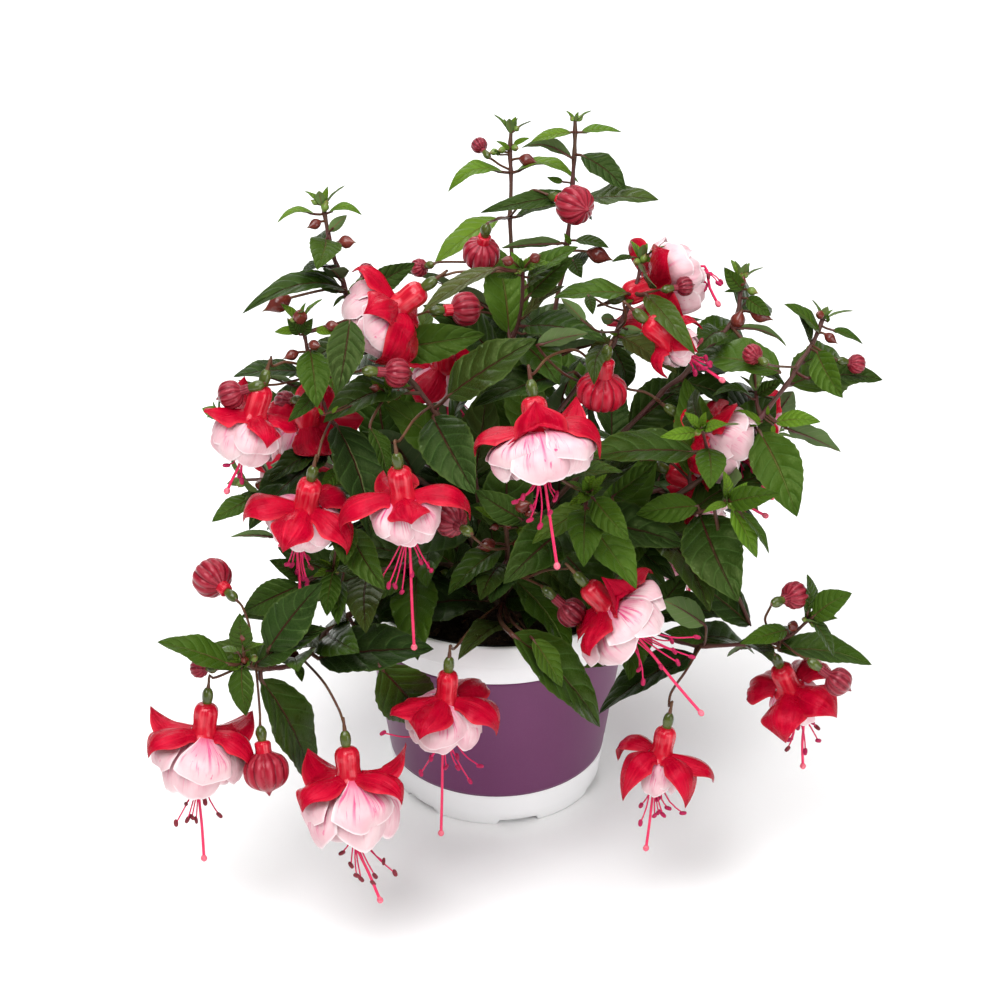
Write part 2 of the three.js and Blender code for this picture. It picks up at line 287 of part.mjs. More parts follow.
    leaves: [
      [[79.1,-61.4,167.8],[55.0,-57.1,161.4],[-0.27,-0.85,0.45],11.7,0.07,[79.9,-62.0,165.3]],
      [[89.7,-70.5,176.9],[89.3,-40.8,176.5],[0.69,-0.64,-0.34],14.1,0.07,[89.8,-74.0,178.1]],
      [[90.5,-76.1,178.5],[107.9,-95.3,194.1],[-0.81,-0.54,0.24],9.7,0.07,[89.8,-74.0,178.1]],
      [[89.3,-76.0,177.9],[79.5,-85.8,179.4],[0.29,-0.15,0.94],4.2,0.07,[89.3,-73.4,177.4]],
      [[91.2,-77.2,176.5],[101.2,-83.5,157.5],[0.41,-0.78,0.47],9.4,0.07,[89.8,-74.0,178.1]],
      [[94.3,-79.2,175.9],[105.8,-84.3,159.9],[0.76,-0.2,0.61],7.7,0.07,[89.8,-74.0,178.1]],
      [[80.3,-56.8,160.8],[93.7,-94.8,144.5],[-0.21,-0.45,0.87],24.3,0.07,[79.9,-62.0,165.3]],
      [[57.2,-43.5,150.3],[52.1,-63.7,139.5],[0.08,-0.49,0.87],12.0,0.07,[58.1,-41.8,148.3]],
      [[41.8,-31.7,133.6],[19.5,-45.7,128.1],[0.29,-0.71,0.64],13.7,0.07,[40.8,-28.3,135.9]],
      [[100.6,-71.7,118.7],[70.5,-66.7,141.4],[0.51,-0.38,0.77],19.0,0.07,[84.9,-67.7,170.6]],
      [[76.6,-53.9,160.2],[119.3,-39.9,169.0],[-0.17,-0.1,0.98],23.7,0.12,[72.9,-55.1,159.5]],
      [[57.8,-39.6,144.8],[96.0,-45.1,125.2],[0.39,-0.32,0.86],21.9,0.06,[55.0,-39.2,146.2]],
      [[63.2,-48.1,149.2],[83.3,-87.6,135.1],[0.3,-0.18,0.94],21.9,0.08,[61.3,-44.4,150.5]],
      [[39.9,-26.6,131.9],[69.5,-34.5,111.2],[0.52,-0.23,0.83],17.8,0.07,[37.6,-26.0,133.5]],
      [[18.4,-13.5,114.6],[21.2,-28.7,146.8],[-0.12,0.89,0.43],16.1,0.1,[18.1,-12.0,111.2]],
      [[28.8,-22.9,124.2],[29.3,-56.6,117.2],[0.28,-0.19,0.94],16.0,0.08,[28.8,-19.6,124.9]],
    ],
    buds: [
    ],
    largeBuds: [
    ] },
  { name: 'branch_trailing_right',
    stems: [
      [[[123.3,-74.0,122.6],[102.3,-64.7,105.4],[75.4,-54.5,99.2],[50.0,-43.1,108.1],[26.7,-25.5,107.0],[6.6,-8.8,94.0]],0.6,1.3],
    ],
    leaves: [
      [[122.8,-77.2,128.5],[121.8,-74.9,144.7],[0.75,-0.65,0.14],8.4,0.07,[123.3,-74.0,122.6]],
      [[124.6,-79.2,127.4],[139.2,-81.7,140.2],[-0.6,-0.56,0.57],12.1,0.07,[123.3,-74.0,122.6]],
      [[115.2,-74.0,117.9],[95.6,-88.7,121.0],[0.44,-0.42,0.79],8.2,0.07,[116.4,-70.4,113.0]],
      [[118.3,-70.5,114.2],[93.4,-52.4,90.7],[0.24,0.05,0.97],17.0,0.07,[118.1,-71.1,114.7]],
      [[112.5,-72.0,107.0],[150.2,-70.0,98.6],[0.22,-0.02,0.98],19.3,0.07,[112.1,-68.5,109.4]],
      [[124.3,-75.8,124.2],[133.6,-81.0,109.7],[0.75,-0.3,0.59],9.0,0.07,[123.3,-74.0,122.6]],
      [[79.9,-59.9,97.1],[40.9,-82.0,83.0],[-0.32,-0.04,0.95],23.5,0.07,[80.9,-56.6,99.2]],
      [[83.7,-60.1,104.0],[67.1,-61.3,108.6],[0.27,-0.42,0.87],8.6,0.07,[83.6,-57.7,99.5]],
      [[50.7,-85.4,111.2],[34.5,-90.2,110.6],[-0.01,-0.09,1.0],8.5,0.07,[61.3,-48.9,102.1]],
      [[63.7,-53.7,113.2],[76.5,-51.8,131.0],[-0.26,-0.92,0.29],11.2,0.07,[59.9,-48.3,102.9]],
      [[83.3,-63.9,113.6],[66.0,-67.8,128.0],[-0.41,0.88,-0.25],11.2,0.07,[83.6,-57.7,99.5]],
      [[100.8,-66.6,105.6],[108.1,-91.6,114.5],[0.09,0.36,0.93],12.1,0.09,[100.0,-63.9,104.6]],
      [[43.7,-40.7,112.7],[48.9,-60.1,139.6],[0.97,0.26,-0.01],16.5,0.06,[43.0,-38.2,109.3]],
      [[58.8,-45.6,105.6],[97.2,-41.6,103.0],[0.09,-0.26,0.96],17.3,0.1,[54.8,-46.0,105.8]],
      [[76.6,-52.0,97.6],[106.1,-33.9,79.8],[0.44,0.15,0.88],18.8,0.12,[73.6,-53.8,99.4]],
      [[51.0,-47.1,107.3],[52.4,-88.3,103.4],[0.45,-0.07,0.89],20.2,0.09,[50.9,-43.7,107.6]],
      [[112.2,-66.6,106.4],[138.1,-63.8,96.9],[0.34,0.0,0.94],13.4,0.09,[108.2,-67.0,107.8]],
      [[17.7,-22.3,103.6],[12.6,-48.8,102.0],[0.02,-0.06,1.0],14.0,0.1,[18.4,-18.7,103.8]],
      [[43.4,-34.8,108.8],[77.0,-27.2,103.1],[0.2,-0.18,0.96],16.3,0.11,[39.4,-35.7,109.5]],
    ],
    buds: [
      [[117.4,-74.3,120.0],[-0.4,-0.64,0.66],4.6,[119.1,-71.7,116.0]],
    ],
    largeBuds: [
      { O: [109.8,-84.0,137.5], ax: [0.71,0.69,-0.14], ped: [[111.1,-68.1,109.0],[106.0,-77.2,124.7],[107.4,-80.7,132.6],[107.7,-86.0,137.9]], r: 5.3, s: 1.1, Lr: 10.8 },
      { O: [125.1,-88.0,111.0], ax: [0.81,-0.2,-0.56], ped: [[113.0,-68.9,109.8],[119.0,-79.9,110.4],[122.3,-84.1,110.8],[122.7,-87.4,112.7]], r: 5.5, s: 1.15, Lr: 12.4 },
      { O: [126.8,-76.0,127.7], ax: [0.68,0.73,-0.07], ped: [[122.8,-73.7,121.9],[125.0,-75.4,124.9],[125.8,-77.1,127.8]], r: 2.8, s: 0.6, Lr: 5.8 },
    ] },
  { name: 'branch_front_centre',
    stems: [
      [[[3.4,-62.0,161.7],[4.2,-48.2,135.4],[3.2,-34.6,109.0],[-1.5,-10.9,94.0]],0.7,1.1],
    ],
    leaves: [
      [[2.2,-53.8,143.6],[-19.2,-70.1,131.9],[-0.3,-0.26,0.92],14.7,0.07,[4.2,-51.6,141.9]],
      [[1.4,-43.3,122.8],[-10.7,-47.5,122.1],[0.03,-0.25,0.97],6.4,0.07,[4.1,-40.6,120.8]],
      [[6.2,-43.6,123.0],[29.4,-69.9,102.3],[0.5,-0.22,0.84],20.3,0.07,[4.1,-41.3,122.1]],
      [[6.1,-93.3,128.6],[41.1,-91.3,83.1],[0.72,-0.45,0.53],23.3,0.07,[2.6,-32.0,104.0]],
      [[14.3,-94.1,126.9],[25.7,-100.2,108.4],[0.57,-0.61,0.55],11.3,0.07,[2.6,-32.0,104.0]],
      [[6.3,-35.5,94.1],[-14.8,-111.5,128.6],[0.16,0.37,0.91],14.0,0.07,[2.6,-32.0,104.0]],
      [[-3.5,-21.8,97.4],[-47.6,-57.2,110.7],[0.17,0.15,0.97],36.0,0.07,[-1.5,-10.9,94.0]],
      [[10.4,-66.7,164.5],[-8.3,-66.1,177.9],[0.24,-0.9,0.37],11.7,0.07,[3.4,-61.2,160.1]],
      [[4.2,-54.8,151.4],[5.1,-54.6,194.9],[0.03,-1.0,0.0],21.4,0.12,[4.1,-54.8,148.0]],
      [[-0.1,-21.3,104.7],[-4.0,-30.2,147.9],[0.2,-0.96,-0.18],22.5,0.09,[0.3,-20.4,100.3]],
      [[3.4,-49.5,130.5],[-2.4,-76.7,132.2],[0.19,0.02,0.98],13.9,0.11,[4.2,-45.6,130.3]],
      [[4.4,-27.2,103.4],[28.4,-46.8,114.2],[-0.58,-0.28,0.77],15.0,0.12,[1.2,-24.6,101.9]],
      [[2.9,-51.4,134.8],[-6.4,-76.9,133.6],[0.12,-0.09,0.99],13.5,0.11,[4.2,-48.0,134.9]],
    ],
    buds: [
      [[10.0,-66.6,170.9],[0.65,-0.46,0.61],6,[3.4,-62.0,161.7]],
      [[-3.7,-57.2,147.1],[-0.87,-0.48,0.06],6,[4.2,-52.8,144.2]],
      [[9.7,-56.4,146.6],[0.83,-0.55,0.1],5.8,[4.2,-52.8,144.2]],
    ],
    largeBuds: [
      { O: [-11.2,-97.0,178.2], ax: [-0.54,0.84,-0.11], ped: [[4.2,-51.6,141.9],[-3.3,-77.7,158.5],[-9.0,-87.7,169.7],[-9.4,-99.8,178.6]], r: 6.3, s: 1.4, Lr: 12.3 },
      { O: [20.2,-82.0,140.9], ax: [0.74,-0.2,-0.64], ped: [[4.2,-41.9,123.4],[10.9,-65.0,136.5],[17.1,-73.8,138.9],[17.7,-81.3,143.1]], r: 5.7, s: 1.3, Lr: 12.7 },
    ] },
  { name: 'branch_trailing_left',
    stems: [
      [[[-98.1,-100.0,119.1],[-83.3,-80.7,105.3],[-69.2,-57.0,105.0],[-53.6,-33.6,104.6],[-31.9,-15.9,105.4],[-10.6,-2.8,94.0]],0.7,1.5],
    ],
    leaves: [
      [[-89.1,-97.2,123.8],[-67.5,-92.7,152.3],[-0.28,-0.89,0.35],17.8,0.07,[-90.1,-89.4,110.1]],
      [[-103.8,-105.4,122.7],[-130.7,-110.4,136.2],[0.47,-0.28,0.84],15.2,0.07,[-98.1,-100.0,119.1]],
      [[-100.4,-102.6,126.4],[-110.5,-89.4,117.6],[-0.45,0.23,0.86],4.4,0.07,[-98.1,-100.0,119.1]],
      [[-98.2,-105.0,129.9],[-98.5,-107.9,147.9],[0.11,-0.98,-0.15],9.3,0.07,[-98.1,-100.0,119.1]],
      [[-99.1,-101.8,120.2],[-97.8,-108.9,100.6],[-0.17,-0.93,0.33],10.5,0.07,[-98.1,-100.0,119.1]],
      [[-94.0,-97.1,117.2],[-66.0,-94.9,132.5],[-0.41,-0.43,0.81],16.0,0.07,[-94.7,-95.2,114.2]],
      [[-92.4,-95.7,109.1],[-74.4,-91.4,55.5],[0.79,-0.58,0.22],22.2,0.07,[-92.6,-92.6,112.2]],
      [[-71.2,-71.3,102.7],[-24.8,-78.2,111.6],[-0.22,-0.28,0.93],24.9,0.07,[-74.7,-67.7,103.3]],
      [[-46.0,-85.9,108.2],[-29.0,-67.5,69.1],[0.52,-0.84,-0.17],23.7,0.07,[-60.2,-43.4,104.6]],
      [[-43.5,-35.0,101.1],[-59.0,-36.1,98.9],[-0.11,-0.32,0.94],7.3,0.07,[-47.1,-26.8,105.9]],
      [[-62.1,-50.2,107.1],[-59.6,-73.3,121.7],[-0.76,0.28,0.58],13.3,0.11,[-62.5,-46.7,104.9]],
      [[-87.7,-83.1,106.9],[-116.9,-83.7,115.4],[0.27,-0.36,0.89],14.9,0.08,[-85.2,-83.0,106.2]],
      [[-43.7,-19.7,107.5],[-68.1,-5.7,117.0],[-0.03,-0.6,0.8],15.0,0.11,[-40.3,-21.6,106.2]],
      [[-55.9,-32.1,107.5],[-88.5,-33.3,131.1],[0.46,-0.66,0.59],18.4,0.09,[-52.3,-32.0,104.9]],
      [[-72.0,-66.7,106.1],[-70.1,-91.0,120.6],[-0.69,0.33,0.64],13.3,0.13,[-72.2,-63.1,103.9]],
      [[-67.6,-59.6,106.5],[-53.5,-96.6,122.1],[-0.66,0.07,0.75],18.9,0.07,[-68.8,-56.3,105.1]],
      [[-73.1,-61.1,106.8],[-100.7,-79.9,127.9],[0.5,0.22,0.84],19.9,0.11,[-70.3,-59.2,104.6]],
      [[-81.4,-80.9,105.8],[-76.8,-109.4,121.7],[-0.16,0.46,0.87],17.1,0.13,[-81.8,-78.7,104.6]],
      [[-45.4,-28.4,104.8],[-54.8,-55.9,95.9],[-0.4,-0.16,0.9],14.7,0.08,[-44.1,-24.5,106.1]],
    ],
    buds: [
      [[-81.4,-80.5,109.8],[-0.08,-0.59,0.81],7,[-80.9,-77.6,104.2]],
      [[-97.9,-105.5,136.2],[0.01,-0.4,0.92],4.6,[-98.1,-100.0,119.1]],
    ],
    largeBuds: [
      { O: [-110.7,-104.0,119.4], ax: [-0.71,0.61,-0.35], ped: [[-98.1,-100.0,119.1],[-104.2,-102.3,118.7],[-107.6,-103.2,118.9],[-109.2,-105.3,120.1]], r: 3.7, s: 0.8, Lr: 7.7 },
    ] },
  { name: 'branch_front_left',
    stems: [
      [[[-64.0,-76.0,147.7],[-49.7,-57.5,135.3],[-33.2,-38.9,126.2],[-17.2,-21.9,113.9],[-5.6,-9.5,94.0]],0.6,0.9],
    ],
    leaves: [
      [[-75.9,-81.4,146.0],[-88.5,-81.1,155.1],[0.46,-0.59,0.66],7.8,0.07,[-64.0,-76.0,147.7]],
      [[-76.8,-80.9,143.4],[-99.7,-79.0,129.6],[-0.3,-0.88,0.37],13.7,0.07,[-64.0,-76.0,147.7]],
      [[-63.9,-77.8,147.5],[-66.1,-90.9,135.4],[0.08,-0.68,0.73],9.0,0.07,[-64.0,-76.0,147.7]],
      [[-60.7,-73.9,141.3],[-62.0,-87.4,129.0],[-0.58,-0.52,0.63],9.1,0.07,[-60.1,-70.6,143.5]],
      [[-60.3,-84.8,175.6],[-58.1,-99.1,164.1],[0.13,-0.61,0.78],10.9,0.07,[-64.0,-76.0,147.7]],
      [[-36.8,-46.3,126.1],[-52.6,-57.0,119.6],[-0.07,-0.43,0.9],10.1,0.07,[-37.0,-43.0,128.4]],
      [[-56.8,-79.1,167.6],[-42.8,-103.3,155.4],[-0.46,-0.6,0.65],13.8,0.07,[-57.5,-67.3,141.4]],
      [[-27.4,-29.8,121.8],[-66.1,-29.7,129.4],[0.19,-0.05,0.98],20.3,0.09,[-24.8,-29.8,121.2]],
      [[-17.7,-18.1,112.9],[-59.1,2.9,129.8],[0.29,-0.19,0.94],23.9,0.1,[-14.9,-19.5,111.7]],
      [[-51.6,-57.1,133.6],[-77.3,-61.1,121.0],[-0.39,-0.24,0.89],14.0,0.09,[-49.1,-56.7,134.8]],
      [[-17.9,-26.8,117.8],[-5.2,-51.5,134.3],[-0.84,-0.07,0.54],15.7,0.1,[-19.3,-24.1,115.9]],
      [[-13.1,-12.6,104.1],[-43.0,-1.2,119.5],[0.3,-0.38,0.87],18.4,0.07,[-9.7,-13.9,102.3]],
      [[-64.3,-74.6,143.0],[-86.8,-88.8,121.6],[-0.5,-0.38,0.78],16.5,0.12,[-61.8,-73.0,145.4]],
      [[-37.6,-40.6,125.8],[-69.1,-43.6,113.7],[-0.28,-0.46,0.84],16.0,0.12,[-34.5,-40.3,127.0]],
      [[-32.0,-41.4,123.4],[-31.3,-75.2,104.2],[-0.35,-0.47,0.81],20.0,0.12,[-32.1,-37.7,125.5]],
      [[-51.1,-62.5,136.0],[-50.7,-97.4,131.6],[-0.12,-0.13,0.98],15.7,0.1,[-51.2,-59.3,136.4]],
    ],
    buds: [
    ],
    largeBuds: [
    ] },
  { name: 'branch_back_1',
    stems: [
      [[[114.1,25.7,150.0],[87.7,14.5,138.1],[58.3,10.8,128.8],[29.8,8.7,116.7],[10.6,2.8,94.0]],0.7,1.3],
    ],
    leaves: [
      [[113.9,23.0,150.6],[122.6,16.3,157.0],[-0.24,0.59,0.77],5.2,0.12,[111.9,24.6,148.8]],
      [[112.9,27.6,148.5],[117.3,40.4,145.6],[0.26,0.01,0.97],5.2,0.12,[111.9,24.6,148.8]],
      [[97.8,19.3,144.5],[101.6,30.3,163.3],[0.34,-0.86,0.37],12.4,0.12,[97.3,17.9,141.7]],
      [[100.4,17.5,141.2],[124.6,14.4,134.5],[0.16,0.09,0.98],12.4,0.12,[97.3,17.9,141.7]],
      [[84.0,11.7,138.2],[102.6,-9.7,154.0],[-0.1,0.63,0.77],17.3,0.12,[82.2,13.7,136.4]],
      [[84.0,16.3,135.9],[102.8,44.9,125.9],[0.25,0.03,0.97],17.3,0.12,[82.2,13.7,136.4]],
      [[66.6,12.9,133.9],[79.6,32.7,167.6],[0.04,-0.9,0.44],22.9,0.12,[65.7,11.5,131.2]],
      [[68.7,10.4,130.7],[111.2,-4.8,117.6],[0.21,0.1,0.97],22.9,0.12,[65.7,11.5,131.2]],
      [[50.5,8.2,127.5],[71.8,-25.2,151.5],[-0.0,0.67,0.74],24.8,0.12,[49.1,10.3,125.6]],
      [[51.2,12.7,125.1],[96.0,36.2,121.1],[0.32,-0.46,0.83],24.8,0.12,[49.1,10.3,125.6]],
      [[35.5,8.3,117.1],[74.8,-2.3,96.2],[0.38,0.04,0.92],21.8,0.12,[32.6,9.1,118.2]],
      [[63.0,13.6,130.8],[72.6,48.7,140.1],[0.38,-0.33,0.86],18.3,0.09,[62.3,11.1,130.1]],
      [[74.8,8.9,135.1],[97.7,-21.9,152.1],[-0.17,0.38,0.91],18.5,0.09,[72.4,12.1,133.3]],
      [[28.2,6.7,112.9],[67.3,-5.8,103.8],[0.3,0.28,0.91],20.1,0.07,[24.8,7.8,113.6]],
      [[70.8,10.6,134.7],[95.9,-7.0,169.5],[-0.01,0.89,0.46],20.7,0.09,[69.1,11.8,132.3]],
      [[110.3,22.1,150.8],[121.6,17.4,174.9],[0.13,0.98,0.13],13.1,0.12,[108.5,22.9,146.9]],
      [[46.6,11.1,122.3],[79.3,23.3,102.1],[0.48,0.15,0.87],18.6,0.12,[44.2,10.2,123.7]],
      [[37.2,9.1,123.7],[41.9,3.8,151.9],[0.03,0.98,0.18],13.0,0.06,[36.7,9.7,120.4]],
      [[94.9,19.6,140.2],[114.8,54.8,141.5],[0.46,-0.29,0.84],19.8,0.06,[93.0,16.3,140.1]],
      [[60.1,9.1,127.6],[93.0,-8.4,116.6],[0.35,0.07,0.94],19.2,0.11,[57.3,10.7,128.5]],
      [[55.1,14.6,126.5],[63.4,44.5,119.7],[0.48,0.06,0.87],16.4,0.09,[54.0,10.4,127.4]],
      [[22.0,4.7,112.3],[34.6,-17.5,138.5],[0.37,0.79,0.49],17.6,0.09,[20.9,6.6,110.0]],
    ],
    buds: [
    ],
    largeBuds: [
    ] },
  { name: 'branch_back_2',
    stems: [
      [[[83.7,63.5,150.0],[60.1,52.1,138.5],[39.4,34.8,128.9],[20.6,17.6,116.1],[5.6,9.5,94.0]],0.7,1.3],
    ],
    leaves: [
      [[81.9,62.7,151.9],[83.9,63.6,164.4],[0.53,0.84,-0.13],5.5,0.12,[81.4,62.5,148.8]],
      [[84.1,64.2,148.3],[96.3,71.5,144.3],[0.11,0.12,0.99],5.5,0.12,[81.4,62.5,148.8]],
      [[68.9,59.7,143.1],[76.1,81.5,136.6],[0.49,0.1,0.87],12.3,0.12,[68.7,56.6,142.2]],
      [[71.6,55.2,142.8],[93.2,44.5,144.3],[-0.04,0.32,0.95],12.3,0.12,[68.7,56.6,142.2]],
      [[57.8,50.5,135.8],[83.2,74.1,124.5],[0.15,0.12,0.98],17.7,0.12,[55.5,48.4,136.4]],
      [[47.2,38.3,131.7],[87.5,26.1,156.9],[-0.52,0.06,0.85],24.8,0.12,[44.2,39.0,131.2]],
      [[22.9,22.7,119.3],[32.3,62.2,118.4],[0.19,-0.02,0.98],21.0,0.12,[23.3,19.7,118.2]],
      [[34.8,31.7,129.1],[36.2,48.6,163.1],[0.98,0.14,-0.11],19.6,0.1,[34.7,30.2,126.2]],
      [[31.0,29.6,124.5],[31.9,55.8,130.7],[0.3,-0.23,0.93],12.1,0.07,[30.9,26.3,123.7]],
      [[30.6,22.5,125.0],[47.8,16.7,145.5],[-0.08,0.94,0.33],13.8,0.08,[28.0,23.3,121.9]],
      [[80.1,58.3,145.7],[105.8,40.7,141.1],[0.29,0.17,0.94],15.7,0.13,[76.9,60.5,146.3]],
      [[20.7,20.9,114.4],[30.2,56.4,106.5],[0.19,0.16,0.97],18.4,0.12,[19.6,16.8,115.3]],
      [[41.2,39.9,127.2],[43.6,72.6,106.7],[0.41,0.46,0.79],17.9,0.12,[40.9,36.1,129.6]],
      [[48.6,46.3,134.8],[49.1,78.1,148.3],[0.35,-0.37,0.86],15.5,0.08,[48.6,42.9,133.3]],
    ],
    buds: [
    ],
    largeBuds: [
    ] },
  { name: 'branch_back_3',
    stems: [
      [[[44.2,82.0,158.0],[37.4,57.9,145.1],[23.1,37.0,132.8],[8.4,18.7,117.3],[3.0,4.7,94.0]],0.7,1.3],
    ],
    leaves: [
      [[41.9,81.0,159.0],[33.9,87.1,167.9],[0.78,-0.07,0.63],5.6,0.12,[43.7,79.7,156.7]],
      [[46.3,81.5,156.2],[58.2,89.8,152.3],[0.04,0.2,0.98],5.6,0.12,[43.7,79.7,156.7]],
      [[39.5,68.5,147.9],[34.6,94.2,135.3],[0.11,0.35,0.93],13.9,0.12,[40.1,65.5,149.0]],
      [[41.8,65.7,151.6],[57.3,67.6,171.3],[-0.77,0.42,0.48],13.9,0.12,[40.1,65.5,149.0]],
      [[33.4,55.5,144.8],[17.6,81.0,167.7],[0.65,-0.34,0.68],20.4,0.12,[34.6,53.5,142.6]],
      [[27.8,40.9,138.1],[35.8,38.2,179.7],[-0.93,0.31,0.2],23.6,0.12,[26.2,41.2,135.4]],
      [[21.9,38.2,132.4],[18.1,79.3,139.0],[0.48,-0.1,0.87],21.6,0.14,[22.1,35.7,132.0]],
      [[42.3,79.3,152.3],[36.0,109.8,128.6],[0.05,0.62,0.78],19.5,0.13,[43.0,76.2,154.7]],
      [[37.5,61.0,143.5],[42.8,92.4,135.4],[0.04,0.24,0.97],15.9,0.07,[36.8,57.0,144.5]],
      [[44.6,71.6,152.6],[88.0,89.8,169.1],[-0.37,0.05,0.93],25.5,0.14,[41.7,70.4,151.5]],
      [[14.4,31.7,129.9],[-0.1,54.9,157.0],[0.88,-0.01,0.48],17.1,0.08,[16.0,29.0,126.7]],
      [[10.6,18.2,121.8],[22.7,3.5,151.6],[-0.02,0.89,0.45],15.7,0.06,[9.2,19.9,118.4]],
    ],
    buds: [
    ],
    largeBuds: [
    ] },
  { name: 'branch_back_4',
    stems: [
      [[[0.0,87.4,160.0],[-5.6,63.8,146.9],[-4.2,39.5,133.8],[-1.5,17.7,117.3],[-4.1,3.8,94.0]],0.7,1.3],
    ],
    leaves: [
      [[-2.5,87.7,158.8],[-10.1,98.4,157.6],[0.16,0.08,0.98],5.0,0.12,[-0.6,85.1,158.7]],
      [[2.0,85.7,160.4],[12.6,88.0,166.0],[-0.58,0.23,0.78],5.0,0.12,[-0.6,85.1,158.7]],
      [[-2.6,75.0,150.1],[9.1,97.9,135.0],[0.07,0.43,0.9],14.1,0.12,[-3.9,72.4,151.4]],
      [[-4.8,73.1,154.4],[-12.8,79.7,177.3],[0.95,0.22,0.23],14.1,0.12,[-3.9,72.4,151.4]],
      [[1.0,16.6,116.8],[35.0,31.2,138.4],[-0.61,0.48,0.64],20.9,0.14,[-1.6,15.5,115.1]],
      [[-7.0,69.9,149.0],[-26.5,93.0,150.2],[0.08,0.01,1.0],14.6,0.12,[-4.9,67.4,148.8]],
      [[-4.3,26.1,126.1],[-23.1,39.0,147.1],[0.78,0.48,0.4],14.4,0.09,[-1.8,24.3,123.3]],
      [[-3.6,61.3,146.2],[20.9,80.7,162.7],[-0.51,-0.08,0.85],15.6,0.09,[-5.5,59.8,144.9]],
      [[-0.5,78.1,152.3],[33.8,103.5,139.0],[-0.03,0.5,0.86],20.9,0.09,[-3.2,76.1,153.4]],
      [[-1.4,35.3,129.7],[17.9,55.7,128.1],[-0.05,0.13,0.99],14.5,0.08,[-3.2,33.4,129.8]],
      [[-4.3,32.2,125.4],[-23.0,65.5,113.7],[-0.09,0.29,0.95],20.0,0.09,[-2.3,28.7,126.7]],
      [[-6.3,54.5,138.2],[-12.2,78.4,125.5],[-0.05,0.46,0.89],13.0,0.13,[-5.3,50.7,140.2]],
      [[-0.4,19.1,120.8],[11.9,28.3,151.9],[-0.61,0.79,0.01],16.3,0.13,[-1.6,18.3,117.9]],
      [[-2.9,43.0,134.0],[16.2,74.7,128.3],[-0.28,0.33,0.9],16.6,0.09,[-4.3,40.6,134.4]],
      [[-1.2,82.8,155.0],[11.3,125.3,135.4],[-0.08,0.44,0.9],21.7,0.13,[-1.9,80.6,156.0]],
    ],
    buds: [
    ],
    largeBuds: [
    ] },
  { name: 'branch_back_5',
    stems: [
      [[[-43.3,80.3,158.0],[-28.1,60.1,145.1],[-19.8,36.0,132.8],[-13.7,13.2,117.4],[-5.6,0.2,94.0]],0.7,1.3],
    ],
    leaves: [
      [[-43.9,80.4,155.3],[-53.7,89.2,147.4],[-0.24,0.36,0.9],5.5,0.12,[-41.7,78.5,156.7]],
      [[-41.5,79.2,159.8],[-40.3,82.8,172.1],[-0.99,0.09,0.06],5.5,0.12,[-41.7,78.5,156.7]],
      [[-35.5,66.7,150.3],[-59.1,65.3,158.0],[0.38,0.33,0.86],13.0,0.12,[-32.6,66.9,149.0]],
      [[-26.0,56.0,145.7],[-23.5,64.2,174.9],[-0.99,0.12,0.04],17.2,0.12,[-26.2,55.2,142.6]],
      [[-24.2,41.6,136.7],[-62.3,49.7,148.7],[0.43,0.18,0.88],21.3,0.12,[-21.3,41.0,135.4]],
      [[-19.2,37.9,130.5],[-17.2,82.9,111.1],[-0.14,0.4,0.91],22.1,0.11,[-19.3,34.4,132.0]],
      [[-29.0,65.2,145.0],[-20.1,102.9,124.0],[-0.17,0.51,0.84],21.1,0.09,[-29.7,62.5,146.4]],
      [[-36.6,77.4,155.6],[-28.0,100.9,170.5],[-0.54,-0.3,0.79],13.6,0.06,[-37.9,73.9,153.4]],
      [[-17.7,25.2,129.3],[-21.5,21.4,174.0],[-0.01,1.0,0.08],22.4,0.06,[-17.5,25.5,126.7]],
      [[-14.6,9.6,115.3],[-47.5,4.8,134.9],[0.48,0.21,0.85],19.4,0.07,[-12.1,9.9,113.8]],
      [[-22.5,51.9,139.3],[-11.6,79.3,137.6],[-0.35,0.19,0.92],13.4,0.1,[-23.8,48.8,139.4]],
      [[-22.8,48.7,136.3],[-26.0,86.3,125.0],[-0.06,0.28,0.96],18.2,0.09,[-22.5,44.9,137.4]],
      [[-22.2,31.8,131.2],[-62.1,45.7,147.0],[0.47,0.52,0.71],23.0,0.11,[-18.6,30.6,129.7]],
      [[-38.0,70.3,153.6],[-57.7,62.9,170.8],[0.47,0.47,0.74],13.9,0.12,[-35.6,71.2,151.5]],
    ],
    buds: [
    ],
    largeBuds: [
    ] },
  { name: 'branch_back_6',
    stems: [
      [[[-80.4,61.1,156.0],[-63.5,42.0,143.3],[-40.7,29.4,131.8],[-18.5,19.2,117.2],[-6.6,8.8,94.0]],0.7,1.3],
    ],
